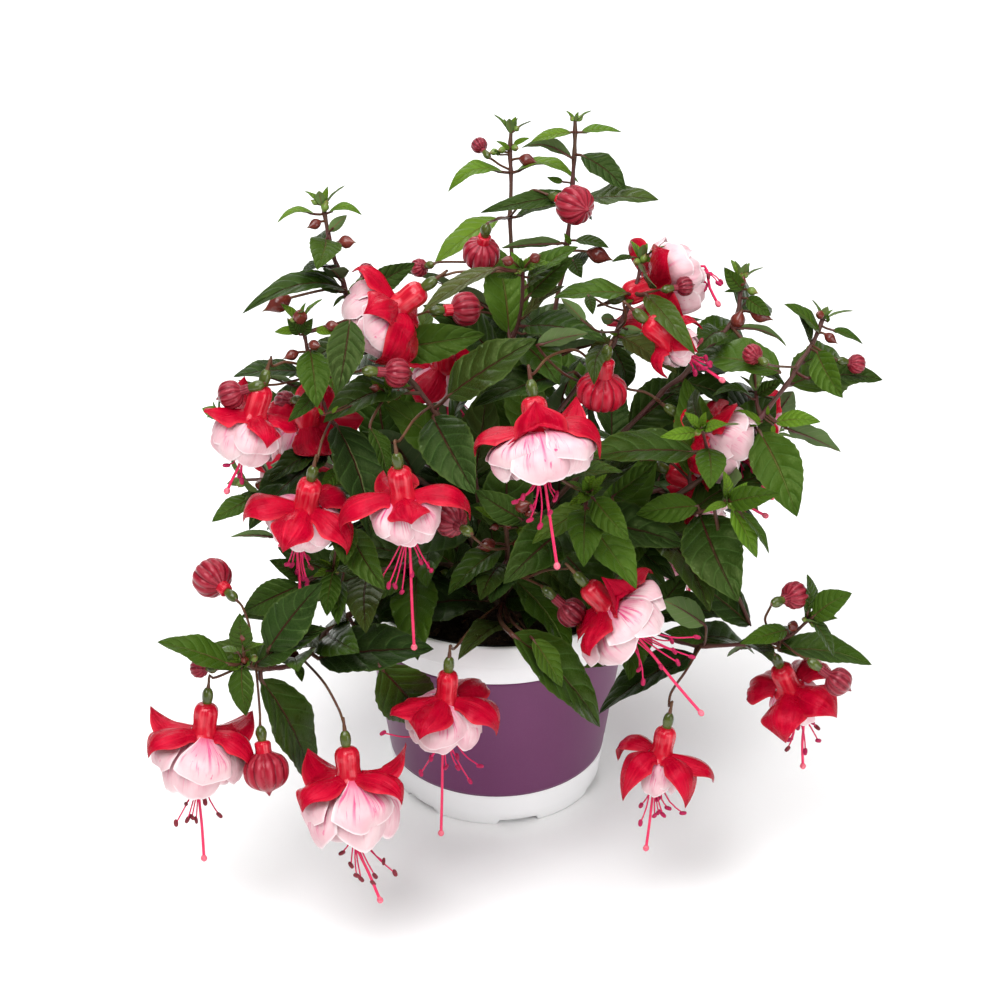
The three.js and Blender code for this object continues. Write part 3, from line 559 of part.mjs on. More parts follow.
    leaves: [
      [[-79.2,62.3,154.0],[-79.9,76.1,148.9],[-0.22,0.22,0.95],5.4,0.12,[-79.0,59.2,154.7]],
      [[-81.0,58.6,157.1],[-90.0,56.1,166.2],[0.55,0.59,0.59],5.4,0.12,[-79.0,59.2,154.7]],
      [[-68.9,49.7,149.6],[-63.5,67.5,168.9],[-0.64,-0.53,0.56],14.7,0.12,[-69.5,47.8,147.1]],
      [[-72.6,48.2,146.3],[-100.7,52.0,134.8],[-0.24,0.19,0.95],14.7,0.12,[-69.5,47.8,147.1]],
      [[-60.9,38.3,143.6],[-81.4,26.8,167.9],[0.38,0.73,0.56],18.6,0.12,[-59.1,39.3,141.1]],
      [[-45.4,33.9,136.6],[-47.3,53.5,170.5],[-0.3,-0.83,0.46],21.5,0.12,[-45.5,31.7,134.2]],
      [[-34.1,24.8,130.0],[-54.8,5.7,162.6],[0.21,0.83,0.52],23.8,0.12,[-32.7,26.1,127.4]],
      [[-19.9,22.3,121.3],[-0.9,0.5,149.1],[-0.54,-0.8,-0.26],22.0,0.12,[-20.4,20.3,118.8]],
      [[-79.2,55.7,153.7],[-108.6,48.5,164.9],[0.19,0.51,0.84],16.4,0.07,[-76.9,56.3,152.8]],
      [[-39.7,27.3,128.4],[-82.8,23.7,112.5],[-0.35,0.13,0.93],23.4,0.09,[-36.5,27.6,129.6]],
      [[-43.9,33.1,130.7],[-60.7,57.2,118.5],[-0.28,0.27,0.92],14.7,0.08,[-41.6,29.8,132.3]],
      [[-57.6,37.2,137.1],[-92.1,46.0,121.6],[-0.33,0.29,0.9],19.3,0.13,[-54.3,36.4,138.7]],
      [[-9.7,15.4,107.8],[0.4,38.5,119.4],[-0.26,-0.34,0.9],12.4,0.08,[-10.7,13.1,106.7]],
      [[-14.9,18.3,109.9],[-28.5,42.5,104.5],[-0.15,0.13,0.98],14.2,0.12,[-13.2,15.3,110.6]],
      [[-50.5,36.5,134.5],[-60.5,59.3,121.6],[-0.39,0.32,0.86],13.3,0.12,[-49.3,33.6,136.2]],
      [[-65.5,48.0,144.8],[-63.3,75.9,145.7],[-0.43,0.01,0.9],13.9,0.14,[-65.8,44.1,144.7]],
    ],
    buds: [
    ],
    largeBuds: [
    ] },
  { name: 'branch_back_7',
    stems: [
      [[[-114.1,25.7,158.0],[-85.2,23.9,144.7],[-56.9,14.5,132.9],[-30.5,4.3,118.2],[-10.9,1.5,94.0]],0.7,1.3],
    ],
    leaves: [
      [[-79.2,24.7,143.3],[-88.7,60.1,154.1],[-0.19,-0.44,0.88],19.9,0.12,[-78.5,21.9,142.0]],
      [[-81.1,20.0,142.2],[-95.6,-3.5,171.0],[0.62,0.42,0.66],19.9,0.12,[-78.5,21.9,142.0]],
      [[-65.2,16.9,139.1],[-79.5,12.0,180.1],[0.04,0.99,0.12],24.6,0.12,[-64.2,17.2,136.1]],
      [[-51.6,9.6,129.3],[-94.1,-15.0,127.9],[-0.03,0.23,0.97],24.7,0.12,[-48.9,11.2,129.0]],
      [[-36.1,6.6,118.9],[-76.4,1.5,89.4],[-0.6,0.12,0.79],23.9,0.12,[-33.5,5.3,120.1]],
      [[-46.1,8.2,125.1],[-79.6,4.4,116.1],[-0.27,0.18,0.94],17.8,0.14,[-43.0,8.6,126.0]],
      [[-74.1,22.3,137.9],[-93.9,47.2,121.5],[-0.54,0.12,0.84],18.6,0.13,[-72.2,20.0,139.4]],
      [[-76.2,23.4,140.1],[-85.6,51.3,133.3],[-0.46,0.06,0.89],14.5,0.08,[-75.3,20.9,140.7]],
      [[-43.0,5.2,123.8],[-69.3,-13.4,118.3],[-0.4,0.31,0.86],16.7,0.06,[-40.0,7.3,124.4]],
      [[-48.0,9.6,131.1],[-62.1,8.0,155.8],[-0.42,0.89,-0.18],13.7,0.1,[-45.9,9.9,127.5]],
      [[-60.8,16.6,130.8],[-89.4,32.8,106.1],[-0.59,0.16,0.79],18.8,0.12,[-57.9,14.9,133.4]],
      [[-88.3,24.8,147.8],[-106.9,30.6,172.8],[0.75,-0.23,0.61],14.1,0.14,[-86.4,24.2,145.2]],
      [[-27.5,2.1,111.4],[-73.3,-6.7,93.5],[-0.37,0.04,0.93],23.9,0.11,[-23.9,2.8,112.8]],
    ],
    buds: [
    ],
    largeBuds: [
    ] },
  { name: 'branch_back_8',
    stems: [
      [[[107.3,56.0,112.0],[79.3,46.8,116.3],[53.9,31.4,117.3],[29.7,15.2,112.2],[8.8,6.6,94.0]],0.7,1.3],
    ],
    leaves: [
      [[106.9,55.2,114.8],[115.9,54.8,123.0],[-0.68,0.35,0.64],5.0,0.12,[104.8,55.3,112.5]],
      [[89.7,53.3,116.1],[96.6,75.7,120.8],[0.13,-0.36,0.92],12.3,0.12,[88.8,50.4,115.0]],
      [[91.4,48.7,114.3],[111.1,35.3,105.2],[0.34,0.08,0.94],12.3,0.12,[88.8,50.4,115.0]],
      [[76.5,44.2,119.2],[98.6,46.4,142.1],[-0.77,0.21,0.61],17.5,0.12,[74.5,44.0,116.7]],
      [[63.2,34.4,116.7],[96.9,49.8,80.7],[0.74,-0.04,0.67],25.1,0.12,[60.3,35.5,117.3]],
      [[48.3,28.9,115.7],[82.7,53.7,90.2],[0.45,0.26,0.86],23.9,0.12,[46.7,26.2,116.5]],
      [[35.8,15.9,113.0],[73.6,6.6,94.2],[0.46,0.08,0.88],21.3,0.12,[32.8,17.0,113.2]],
      [[21.7,8.3,107.0],[52.0,-18.5,114.9],[0.19,0.47,0.86],19.5,0.09,[19.1,10.5,106.3]],
      [[41.9,22.6,112.3],[60.3,35.3,76.4],[0.72,0.44,0.53],19.5,0.14,[40.2,21.5,115.5]],
      [[81.1,45.6,116.6],[108.9,36.0,119.6],[0.09,0.53,0.84],14.8,0.08,[78.7,46.5,116.3]],
      [[86.0,50.4,117.1],[105.9,70.2,136.4],[-0.37,-0.43,0.82],17.1,0.1,[84.5,48.9,115.6]],
      [[24.5,12.5,112.4],[23.8,11.1,153.1],[0.81,0.58,0.03],18.3,0.1,[24.5,12.6,109.8]],
      [[97.6,52.9,117.3],[120.4,55.5,140.2],[-0.71,0.04,0.7],15.0,0.07,[94.6,52.5,114.3]],
      [[70.2,45.6,118.9],[70.1,71.1,130.6],[0.73,-0.28,0.62],13.6,0.13,[70.2,41.6,117.0]],
      [[27.5,17.7,112.3],[24.4,48.3,118.4],[0.03,-0.19,0.98],16.2,0.12,[27.9,14.2,111.6]],
      [[56.6,35.4,116.8],[64.6,74.3,109.2],[0.32,0.12,0.94],18.0,0.09,[56.1,32.8,117.3]],
      [[37.0,21.5,115.6],[43.7,52.1,129.1],[0.0,-0.4,0.91],17.3,0.13,[36.5,19.1,114.5]],
      [[15.3,8.9,106.7],[8.3,4.6,133.3],[0.81,0.5,0.29],13.1,0.11,[15.9,9.3,104.2]],
      [[102.1,57.5,111.8],[116.6,97.3,95.4],[0.5,0.17,0.85],22.3,0.11,[101.0,54.3,113.1]],
    ],
    buds: [
    ],
    largeBuds: [
    ] },
  { name: 'branch_back_9',
    stems: [
      [[[28.5,103.2,108.0],[26.5,77.3,112.8],[16.5,53.0,115.1],[5.1,29.7,111.2],[1.5,10.9,94.0]],0.7,1.3],
    ],
    leaves: [
      [[27.1,102.8,110.5],[21.3,112.0,117.7],[0.59,-0.34,0.73],5.3,0.12,[28.4,100.7,108.5]],
      [[30.8,102.6,107.7],[41.5,111.0,102.4],[0.09,0.29,0.95],5.3,0.12,[28.4,100.7,108.5]],
      [[25.3,87.6,110.9],[7.9,104.8,103.7],[0.06,0.29,0.96],12.5,0.12,[27.6,85.3,111.4]],
      [[29.8,87.0,112.9],[47.3,100.0,122.0],[-0.52,-0.08,0.85],12.5,0.12,[27.6,85.3,111.4]],
      [[23.8,74.2,115.6],[14.1,104.1,137.2],[0.44,-0.51,0.74],20.6,0.12,[24.5,71.9,113.6]],
      [[27.3,73.2,112.7],[63.2,90.4,97.3],[0.13,0.31,0.94],20.6,0.12,[24.5,71.9,113.6]],
      [[17.8,61.2,113.5],[8.1,77.6,63.1],[0.03,0.95,0.31],25.5,0.12,[19.1,58.6,114.9]],
      [[2.6,29.0,108.7],[-12.7,72.0,101.8],[-0.04,0.14,0.99],23.6,0.08,[3.8,25.5,109.2]],
      [[21.7,66.6,111.8],[17.5,85.6,75.7],[0.1,0.88,0.45],20.5,0.08,[22.0,65.2,114.5]],
      [[29.7,98.8,107.0],[43.3,116.5,84.9],[0.26,0.67,0.7],15.4,0.09,[28.4,97.0,109.2]],
      [[24.3,80.4,114.9],[3.3,110.6,134.4],[0.37,-0.31,0.88],21.0,0.09,[26.5,77.2,112.8]],
      [[13.3,47.3,116.9],[25.6,72.6,137.9],[-0.53,-0.38,0.76],17.2,0.07,[12.1,44.7,114.7]],
      [[18.9,55.9,117.7],[37.3,76.8,138.8],[-0.6,-0.25,0.76],17.9,0.11,[16.7,53.4,115.1]],
      [[26.8,93.9,107.4],[13.0,111.6,82.2],[0.0,0.82,0.57],15.0,0.06,[28.3,92.0,110.2]],
      [[5.6,17.1,103.0],[33.5,22.7,110.8],[-0.33,0.49,0.81],13.5,0.11,[2.2,16.4,102.0]],
    ],
    buds: [
    ],
    largeBuds: [
    ] },
  { name: 'branch_back_10',
    stems: [
      [[[-44.1,98.7,110.0],[-38.2,73.0,114.5],[-24.3,50.2,116.2],[-9.2,28.8,111.6],[-2.8,10.6,94.0]],0.7,1.3],
    ],
    leaves: [
      [[-46.6,97.4,110.4],[-58.9,102.8,108.4],[0.05,0.2,0.98],5.1,0.12,[-43.7,96.2,110.5]],
      [[-41.4,98.5,110.8],[-32.1,108.0,110.4],[-0.26,0.12,0.96],5.1,0.12,[-43.7,96.2,110.5]],
      [[-41.1,83.8,111.7],[-45.9,109.0,94.9],[-0.14,0.44,0.89],14.4,0.12,[-40.5,81.0,113.2]],
      [[-41.3,82.9,115.7],[-48.5,99.9,134.5],[0.31,-0.71,0.64],14.4,0.12,[-40.5,81.0,113.2]],
      [[-34.0,70.9,115.5],[-17.7,103.8,115.5],[-0.25,-0.0,0.97],18.5,0.12,[-35.4,68.1,115.1]],
      [[-29.1,58.4,115.0],[-48.0,102.4,90.4],[-0.14,0.33,0.93],25.7,0.12,[-27.9,55.6,116.1]],
      [[-21.8,42.7,115.7],[-75.6,41.3,113.6],[0.07,0.28,0.96],27.0,0.12,[-18.6,42.8,115.5]],
      [[-11.8,33.8,111.7],[-30.4,75.4,96.4],[-0.08,0.19,0.98],23.3,0.12,[-10.5,30.9,112.4]],
      [[-24.9,47.2,118.2],[-55.3,47.3,141.8],[0.58,0.31,0.75],18.4,0.11,[-22.1,47.2,116.1]],
      [[-39.9,92.5,110.8],[-20.2,110.0,104.6],[-0.06,0.4,0.92],13.7,0.09,[-42.7,90.0,111.6]],
      [[-41.0,88.4,114.6],[-35.0,118.2,132.0],[-0.36,-0.42,0.84],15.8,0.08,[-41.7,85.0,112.6]],
      [[-16.0,35.7,115.0],[-49.2,29.7,124.9],[0.12,0.6,0.79],16.2,0.1,[-13.6,36.2,114.3]],
      [[-29.8,62.3,113.0],[-25.7,84.4,90.7],[-0.26,0.71,0.65],14.2,0.07,[-30.3,59.3,116.0]],
      [[-41.9,73.7,114.2],[-85.9,80.4,109.7],[-0.08,0.14,0.99],22.5,0.06,[-38.2,73.1,114.5]],
      [[-40.4,78.8,116.2],[-52.9,100.1,145.9],[0.46,-0.62,0.64],17.2,0.12,[-39.4,77.1,113.9]],
    ],
    buds: [
    ],
    largeBuds: [
    ] },
  { name: 'branch_back_11',
    stems: [
      [[[-107.5,51.7,112.0],[-79.7,43.5,116.3],[-54.3,28.9,117.3],[-30.1,13.4,112.1],[-9.5,5.6,94.0]],0.7,1.3],
    ],
    leaves: [
      [[-61.1,35.8,116.4],[-63.9,65.3,79.9],[-0.48,0.66,0.57],22.5,0.12,[-60.7,32.8,117.3]],
      [[-34.1,18.2,112.7],[-46.5,66.4,98.1],[-0.25,0.11,0.96],25.3,0.12,[-33.3,15.1,113.2]],
      [[-49.5,26.2,112.7],[-58.6,37.0,79.8],[-0.65,0.65,0.39],15.8,0.12,[-48.4,24.9,116.7]],
      [[-54.0,29.4,115.8],[-70.0,46.6,101.7],[-0.41,0.31,0.85],12.4,0.11,[-52.3,27.6,117.2]],
      [[-33.3,13.4,110.5],[-69.4,16.1,95.4],[-0.35,0.28,0.89],18.8,0.11,[-29.7,13.2,112.0]],
      [[-96.3,48.3,116.5],[-118.5,49.0,132.7],[0.56,0.32,0.76],14.0,0.14,[-93.4,48.2,114.5]],
      [[-20.8,6.5,104.7],[-59.4,-16.0,102.0],[-0.17,0.18,0.97],22.2,0.06,[-17.7,8.4,104.9]],
      [[-39.4,21.3,114.7],[-50.6,52.6,112.9],[-0.27,-0.04,0.96],17.3,0.06,[-38.2,17.8,114.9]],
      [[-69.1,37.2,114.3],[-85.4,39.6,80.4],[-0.89,0.14,0.44],19.1,0.11,[-67.7,37.0,117.3]],
      [[-58.3,31.8,114.3],[-75.9,46.5,85.8],[-0.61,0.48,0.63],16.4,0.11,[-56.5,30.2,117.3]],
    ],
    buds: [
    ],
    largeBuds: [
    ] },
];
// Flower: ovary centre O, axis towards the stigma ax, pedicel from the stem, stigma tip, corolla radius rc, corolla length lc, sepal length sl, sepal directions
const FLOWERS = [
  { name: 'flower_01', O: [13.0,-98.0,243.2], ax: [0.14,-0.42,-0.9], ped: [[38.7,-29.5,212.7],[30.3,-52.1,232.4],[20.0,-68.8,238.6],[13.8,-83.9,239.6],[12.0,-95.1,249.5],[12.4,-96.2,247.0]], tip: [22.8,-126.0,180.7], rc: 18.5, lc: 37, sl: 25, sep: [[-0.77,0.47,-0.42],[0.94,-0.33,0.13],[0.56,0.82,0.11],[-0.46,-0.87,0.18]] },
  { name: 'flower_02', O: [-24.5,-35.0,253.4], ax: [-0.78,-0.05,-0.62], ped: [[10.3,-28.0,254.5],[1.8,-31.4,255.8],[-15.2,-32.7,256.1],[-21.0,-33.9,255.0],[-19.0,-34.6,257.7],[-21.2,-34.8,256.0]], tip: [-58.6,-37.0,228.5], rc: 16, lc: 37, sl: 22, sep: [[-0.78,0.26,0.57],[-0.53,-0.43,-0.73],[0.21,0.78,-0.59],[-0.54,-0.79,0.31]] },
  { name: 'flower_03', O: [-21.4,-2.0,209.4], ax: [0.03,0.44,-0.89], ped: [[6.0,15.9,209.7],[-8.6,5.6,218.0],[-18.6,1.7,215.6],[-21.6,-5.1,215.6],[-21.5,-3.9,213.1]], tip: [-19.3,27.4,146.3], rc: 13, lc: 34, sl: 20, sep: [[0.54,0.73,0.42],[0.83,-0.43,-0.34],[-0.53,-0.67,-0.52],[-0.82,0.57,0.06]] },
  { name: 'flower_04', O: [45.8,-18.0,236.0], ax: [0.91,0.38,0.19], ped: [[53.3,-17.8,237.4],[49.3,-18.0,236.0],[39.4,-20.6,234.7],[42.0,-19.6,235.2]], tip: [87.6,-10.0,230.0], rc: 14, lc: 38, sl: 24, sep: [[0.19,-0.48,0.86],[-0.77,-0.29,-0.57],[-0.37,0.88,0.31],[0.55,-0.79,-0.27]] },
  { name: 'flower_05', O: [54.1,-46.0,245.3], ax: [0.75,-0.08,-0.66], ped: [[47.7,-23.1,225.4],[50.2,-39.7,239.7],[48.9,-45.4,249.9],[51.0,-45.6,248.1]], tip: [87.5,-50.0,218.0], rc: 7.5, lc: 28, sl: 14, sep: [[0.68,-0.73,0.08],[-0.11,-0.55,-0.83],[0.09,0.64,-0.76],[0.87,0.46,0.15]] },
  { name: 'flower_06', O: [-88.1,-66.0,229.6], ax: [-0.29,-0.24,-0.93], ped: [[-71.1,-48.7,222.5],[-81.1,-58.6,230.8],[-85.9,-62.4,231.1],[-86.0,-64.4,236.1],[-86.9,-65.0,233.5]], tip: [-104.0,-78.0,184.6], rc: 13, lc: 36, sl: 20, sep: [[-0.2,0.91,0.35],[0.81,0.28,-0.52],[0.31,-0.94,-0.11],[-0.88,-0.34,0.33]] },
  { name: 'flower_07', O: [-71.9,-52.0,212.9], ax: [-0.13,0.44,-0.89], ped: [[-67.1,-49.3,207.0],[-69.2,-51.2,213.3],[-71.0,-55.1,219.1],[-71.4,-53.9,216.6]], tip: [-80.6,-22.9,150.3], rc: 13, lc: 36, sl: 21, sep: [[-0.77,0.55,-0.33],[0.24,-0.96,-0.14],[1.0,0.04,0.0],[0.2,0.92,0.33]] },
  { name: 'flower_08', O: [-70.0,-86.0,198.8], ax: [-0.2,0.06,-0.98], ped: [[-64.5,-49.5,200.0],[-67.1,-70.5,203.0],[-68.8,-78.5,198.8],[-68.6,-86.4,205.6],[-69.2,-86.2,202.9]], tip: [-76.9,-82.0,137.2], rc: 13.5, lc: 34, sl: 24, sep: [[-0.98,-0.17,-0.14],[-0.31,-0.92,-0.24],[0.67,-0.49,-0.57],[0.49,0.74,-0.45]] },
  { name: 'flower_09', O: [-37.5,-97.0,211.0], ax: [0.11,0.01,-0.99], ped: [[-25.8,-41.5,201.5],[-31.9,-73.4,213.1],[-36.6,-85.6,211.8],[-38.3,-97.1,218.0],[-38.0,-97.0,215.2]], tip: [-32.1,-97.0,125.0], rc: 12.5, lc: 36, sl: 25, sep: [[-0.84,-0.5,-0.22],[0.98,-0.09,-0.16],[0.28,-0.9,0.32],[-0.21,0.98,-0.04]] },
  { name: 'flower_11', O: [67.6,-36.1,197.5], ax: [0.81,-0.08,-0.58], ped: [[38.7,-29.5,212.7],[51.1,-34.0,205.3],[58.6,-35.2,204.1],[64.3,-37.5,201.4],[61.7,-39.7,204.0],[64.2,-35.8,200.0]], tip: [109.4,-42.1,160.2], rc: 15, lc: 37, sl: 21, sep: [[0.34,0.93,0.14],[0.55,-0.32,0.78],[-0.01,-0.93,-0.37],[-0.29,0.28,-0.92]] },
  { name: 'flower_12', O: [31.6,-90.0,153.4], ax: [0.68,-0.16,-0.72], ped: [[4.2,-41.9,123.4],[12.5,-65.0,137.1],[19.8,-73.9,145.9],[28.3,-82.1,152.1],[26.9,-88.9,158.4],[28.8,-89.3,156.4]], tip: [80.2,-104.0,98.7], rc: 18, lc: 36, sl: 24, sep: [[0.71,0.66,0.25],[-0.33,-0.89,-0.32],[-0.47,0.57,-0.68],[0.53,-0.58,0.62]] },
  { name: 'flower_13', O: [100.7,-2.8,183.1], ax: [0.12,0.59,-0.8], ped: [[110.3,-29.4,197.7],[104.6,-10.9,189.6],[102.5,-7.9,189.3],[100.2,-5.3,186.5]], tip: [108.4,35.8,126.1], rc: 12, lc: 33, sl: 16, sep: [[0.66,-0.53,-0.53],[-0.72,-0.36,-0.59],[-0.64,0.68,0.35],[0.75,0.48,0.45]] },
  { name: 'flower_14', O: [63.9,-35.1,170.4], ax: [0.9,0.01,-0.43], ped: [[77.7,-51.2,171.6],[68.6,-44.2,177.6],[65.3,-41.0,176.6],[57.1,-39.3,175.8],[60.1,-35.2,172.2]], tip: [107.9,-35.1,147.2], rc: 12, lc: 34, sl: 18, sep: [[-0.62,0.62,-0.48],[0.41,0.74,0.53],[0.34,-0.67,0.66],[-0.22,-0.74,-0.63]] },
  { name: 'flower_15', O: [111.3,-74.0,104.6], ax: [0.36,0.13,-0.93], ped: [[113.6,-69.1,110.3],[112.0,-72.7,108.4],[108.8,-74.9,111.0],[109.8,-74.5,108.4]], tip: [124.9,-68.0,47.7], rc: 9, lc: 33, sl: 23, sep: [[-0.11,-0.84,-0.53],[0.76,-0.64,-0.14],[-0.52,0.59,-0.62],[0.69,0.7,-0.2]] },
  { name: 'flower_16', O: [68.5,-90.0,87.1], ax: [-0.16,-0.1,-0.98], ped: [[82.4,-57.2,99.2],[75.3,-73.0,97.1],[69.6,-79.0,91.1],[68.7,-84.6,88.7],[69.6,-89.3,94.0],[69.2,-89.6,91.2]], tip: [60.4,-96.0,27.0], rc: 9.5, lc: 34, sl: 23, sep: [[-0.65,-0.43,-0.63],[0.4,-0.72,-0.57],[0.89,-0.3,-0.33],[-0.71,0.53,-0.46]] },
  { name: 'flower_17', O: [-18.7,-86.0,111.1], ax: [-0.07,-0.06,-1.0], ped: [[2.6,-32.0,104.0],[-8.6,-63.0,113.5],[-16.5,-74.9,109.9],[-18.2,-85.6,118.1],[-18.4,-85.8,115.3]], tip: [-22.5,-90.0,30.1], rc: 15.5, lc: 37, sl: 24, sep: [[-0.9,-0.44,0.02],[-0.42,-0.9,-0.14],[0.82,-0.33,-0.47],[0.59,0.75,-0.31]] },
  { name: 'flower_18', O: [-59.1,-113.0,94.4], ax: [0.08,-0.29,-0.95], ped: [[-77.1,-72.3,102.7],[-67.6,-91.8,104.1],[-61.9,-99.3,96.9],[-59.8,-106.3,95.0],[-59.7,-111.0,101.1],[-59.5,-111.8,98.5]], tip: [-46.0,-133.0,29.1], rc: 19.5, lc: 43, sl: 25, sep: [[-0.65,0.76,0.01],[0.84,0.33,0.43],[-0.69,-0.71,-0.1],[0.83,-0.56,-0.08]] },
  { name: 'flower_19', O: [-112.8,-103.0,107.9], ax: [-0.11,-0.22,-0.97], ped: [[-98.1,-100.0,119.1],[-104.3,-101.7,116.5],[-110.6,-102.4,114.1],[-112.0,-101.4,114.7],[-112.3,-102.1,112.0]], tip: [-116.1,-119.0,39.2], rc: 17, lc: 40, sl: 24, sep: [[-0.86,0.47,0.21],[0.71,0.7,-0.04],[-0.86,-0.5,-0.1],[0.74,-0.35,-0.58]] },
  { name: 'flower_20', O: [78.2,67.8,125.7], ax: [0.14,0.15,-0.98], ped: [[67.5,55.9,141.7],[71.4,60.2,142.7],[74.2,63.4,141.2],[76.2,65.6,136.9],[77.6,67.2,129.8]], tip: [87.4,78.0,61.1], rc: 15, lc: 36, sl: 23, sep: [[-0.96,0.1,-0.26],[0.09,0.99,-0.08],[1.0,-0.06,-0.02],[-0.03,-0.94,-0.35]] },
  { name: 'flower_21', O: [-5.2,84.6,133.5], ax: [-0.0,0.07,-1.0], ped: [[-4.7,68.6,149.5],[-4.9,74.8,150.6],[-5.0,79.5,149.1],[-5.2,82.8,144.9],[-5.2,84.3,137.7]], tip: [-5.4,89.3,67.6], rc: 15, lc: 36, sl: 23, sep: [[-0.94,0.29,-0.17],[0.28,0.96,-0.07],[0.96,-0.27,-0.11],[-0.27,-0.9,-0.35]] },
  { name: 'flower_22', O: [-81.4,58.5,131.1], ax: [-0.2,0.18,-0.96], ped: [[-69.5,47.8,147.1],[-73.8,51.6,148.1],[-76.7,54.3,146.5],[-78.8,56.2,142.3],[-80.6,57.8,135.2]], tip: [-94.5,70.3,67.5], rc: 15, lc: 36, sl: 23, sep: [[0.87,-0.16,-0.46],[-0.28,-0.9,-0.33],[-0.96,0.22,0.14],[0.23,0.97,0.06]] },
  { name: 'flower_24', O: [31.1,107.8,94.2], ax: [0.02,0.09,-1.0], ped: [[28.3,92.0,110.2],[29.3,98.0,111.3],[30.1,102.6,109.8],[30.7,105.7,105.6],[31.0,107.4,98.4]], tip: [32.1,113.9,28.5], rc: 15, lc: 36, sl: 23, sep: [[-0.87,-0.37,-0.33],[-0.4,0.9,-0.17],[0.91,0.41,0.05],[0.41,-0.9,-0.14]] },
  { name: 'flower_25', O: [76.4,23.8,116.3], ax: [0.13,0.03,-0.99], ped: [[82.2,13.7,136.4],[77.4,18.3,135.4],[77.3,20.7,133.1],[77.0,22.4,128.2],[75.9,23.7,120.5]], tip: [84.9,25.6,50.9], rc: 15, lc: 36, sl: 23, sep: [[0.97,0.25,-0.01],[0.28,-0.92,-0.27],[-0.94,-0.25,-0.25],[-0.25,0.97,-0.03]] },
];
// Large bud: ovary centre O, axis ax, pedicel, radius r, distance from ovary to the bud's middle Lr, size s
const BUDS = [
  { name: 'bud_01', O: [22.7,10.0,267.1], ax: [0.62,-0.78,0.12], ped: [[5.4,31.7,247.4],[10.9,19.2,261.2],[14.5,14.5,268.0],[20.6,12.6,266.7]], r: 7.5, s: 1.7, Lr: 13.5 },
  { name: 'bud_02', O: [-4.1,-4.0,259.7], ax: [-0.15,0.27,-0.95], ped: [[5.4,31.7,247.4],[1.0,11.2,256.8],[-2.5,3.3,259.5],[-3.6,-4.9,262.9]], r: 7.1, s: 1.6, Lr: 13.1 },
  { name: 'bud_03', O: [-23.7,-22.0,233.3], ax: [0.94,0.32,-0.1], ped: [[-57.5,-23.4,234.6],[-43.7,-22.7,230.6],[-33.9,-22.5,230.9],[-27.6,-22.2,233.0],[-26.9,-23.1,233.6]], r: 6.5, s: 1.35, Lr: 12.5 },
  { name: 'bud_05', O: [-103.0,-88.0,142.9], ax: [-0.63,0.76,0.15], ped: [[-97.3,-98.9,118.0],[-96.2,-92.7,130.1],[-99.1,-90.2,139.7],[-100.9,-90.6,142.4]], r: 7.6, s: 1.7, Lr: 13.6 },
  { name: 'bud_11', O: [-92.1,-110.0,93.3], ax: [0.12,-0.39,-0.91], ped: [[-94.3,-94.7,113.6],[-93.1,-103.5,109.2],[-92.5,-106.8,99.7],[-92.5,-108.7,96.4]], r: 8.6, s: 1.8, Lr: 15.7 },
  { name: 'bud_21', O: [42.9,-44.0,227.1], ax: [-0.1,0.0,-0.99], ped: [[40.6,-28.4,214.7],[43.4,-38.0,226.0],[44.6,-44.0,231.5],[43.0,-44.0,228.2]], r: 9.2, s: 1.7, Lr: 19.5 },
];

// ---------------------------------------------------------------- solid helpers
const wasm = await Module();
wasm.setup();
const { Manifold, Mesh: MMesh } = wasm;
const V = (a) => new THREE.Vector3(a[0], a[1], a[2]);

// a closed geometry as a solid, its faces turned outward
function solid(geometry) {
  const g = geometry.clone();
  g.deleteAttribute('normal');
  g.deleteAttribute('uv');
  const m = mergeVertices(g, 1e-4);
  const vertProperties = new Float32Array(m.attributes.position.array);
  const tri = [];
  const ix = m.index.array;
  for (let i = 0; i < ix.length; i += 3) {
    const [a, b, c] = [ix[i], ix[i + 1], ix[i + 2]];
    if (a !== b && b !== c && a !== c) tri.push(a, b, c);
  }
  const make = (t) => new Manifold(new MMesh({ numProp: 3, vertProperties, triVerts: new Uint32Array(t) }));
  let s = make(tri);
  if (s.volume() < 0) {
    for (let i = 0; i < tri.length; i += 3) [tri[i + 1], tri[i + 2]] = [tri[i + 2], tri[i + 1]];
    s = make(tri);
  }
  return s;
}
function geometryOf(man) {
  const m = man.getMesh();
  const g = new THREE.BufferGeometry();
  const n = m.vertProperties.length / m.numProp;
  const p = new Float32Array(n * 3);
  for (let i = 0; i < n; i++) for (let k = 0; k < 3; k++) p[3 * i + k] = m.vertProperties[m.numProp * i + k];
  g.setAttribute('position', new THREE.BufferAttribute(p, 3));
  g.setIndex(new THREE.BufferAttribute(new Uint32Array(m.triVerts), 1));
  g.computeVertexNormals();
  return g;
}
function fromArrays(verts, faces) {
  const g = new THREE.BufferGeometry();
  g.setAttribute('position', new THREE.BufferAttribute(new Float32Array(verts.flatMap((v) => [v.x, v.y, v.z])), 3));
  g.setIndex(faces.flat());
  return g;
}

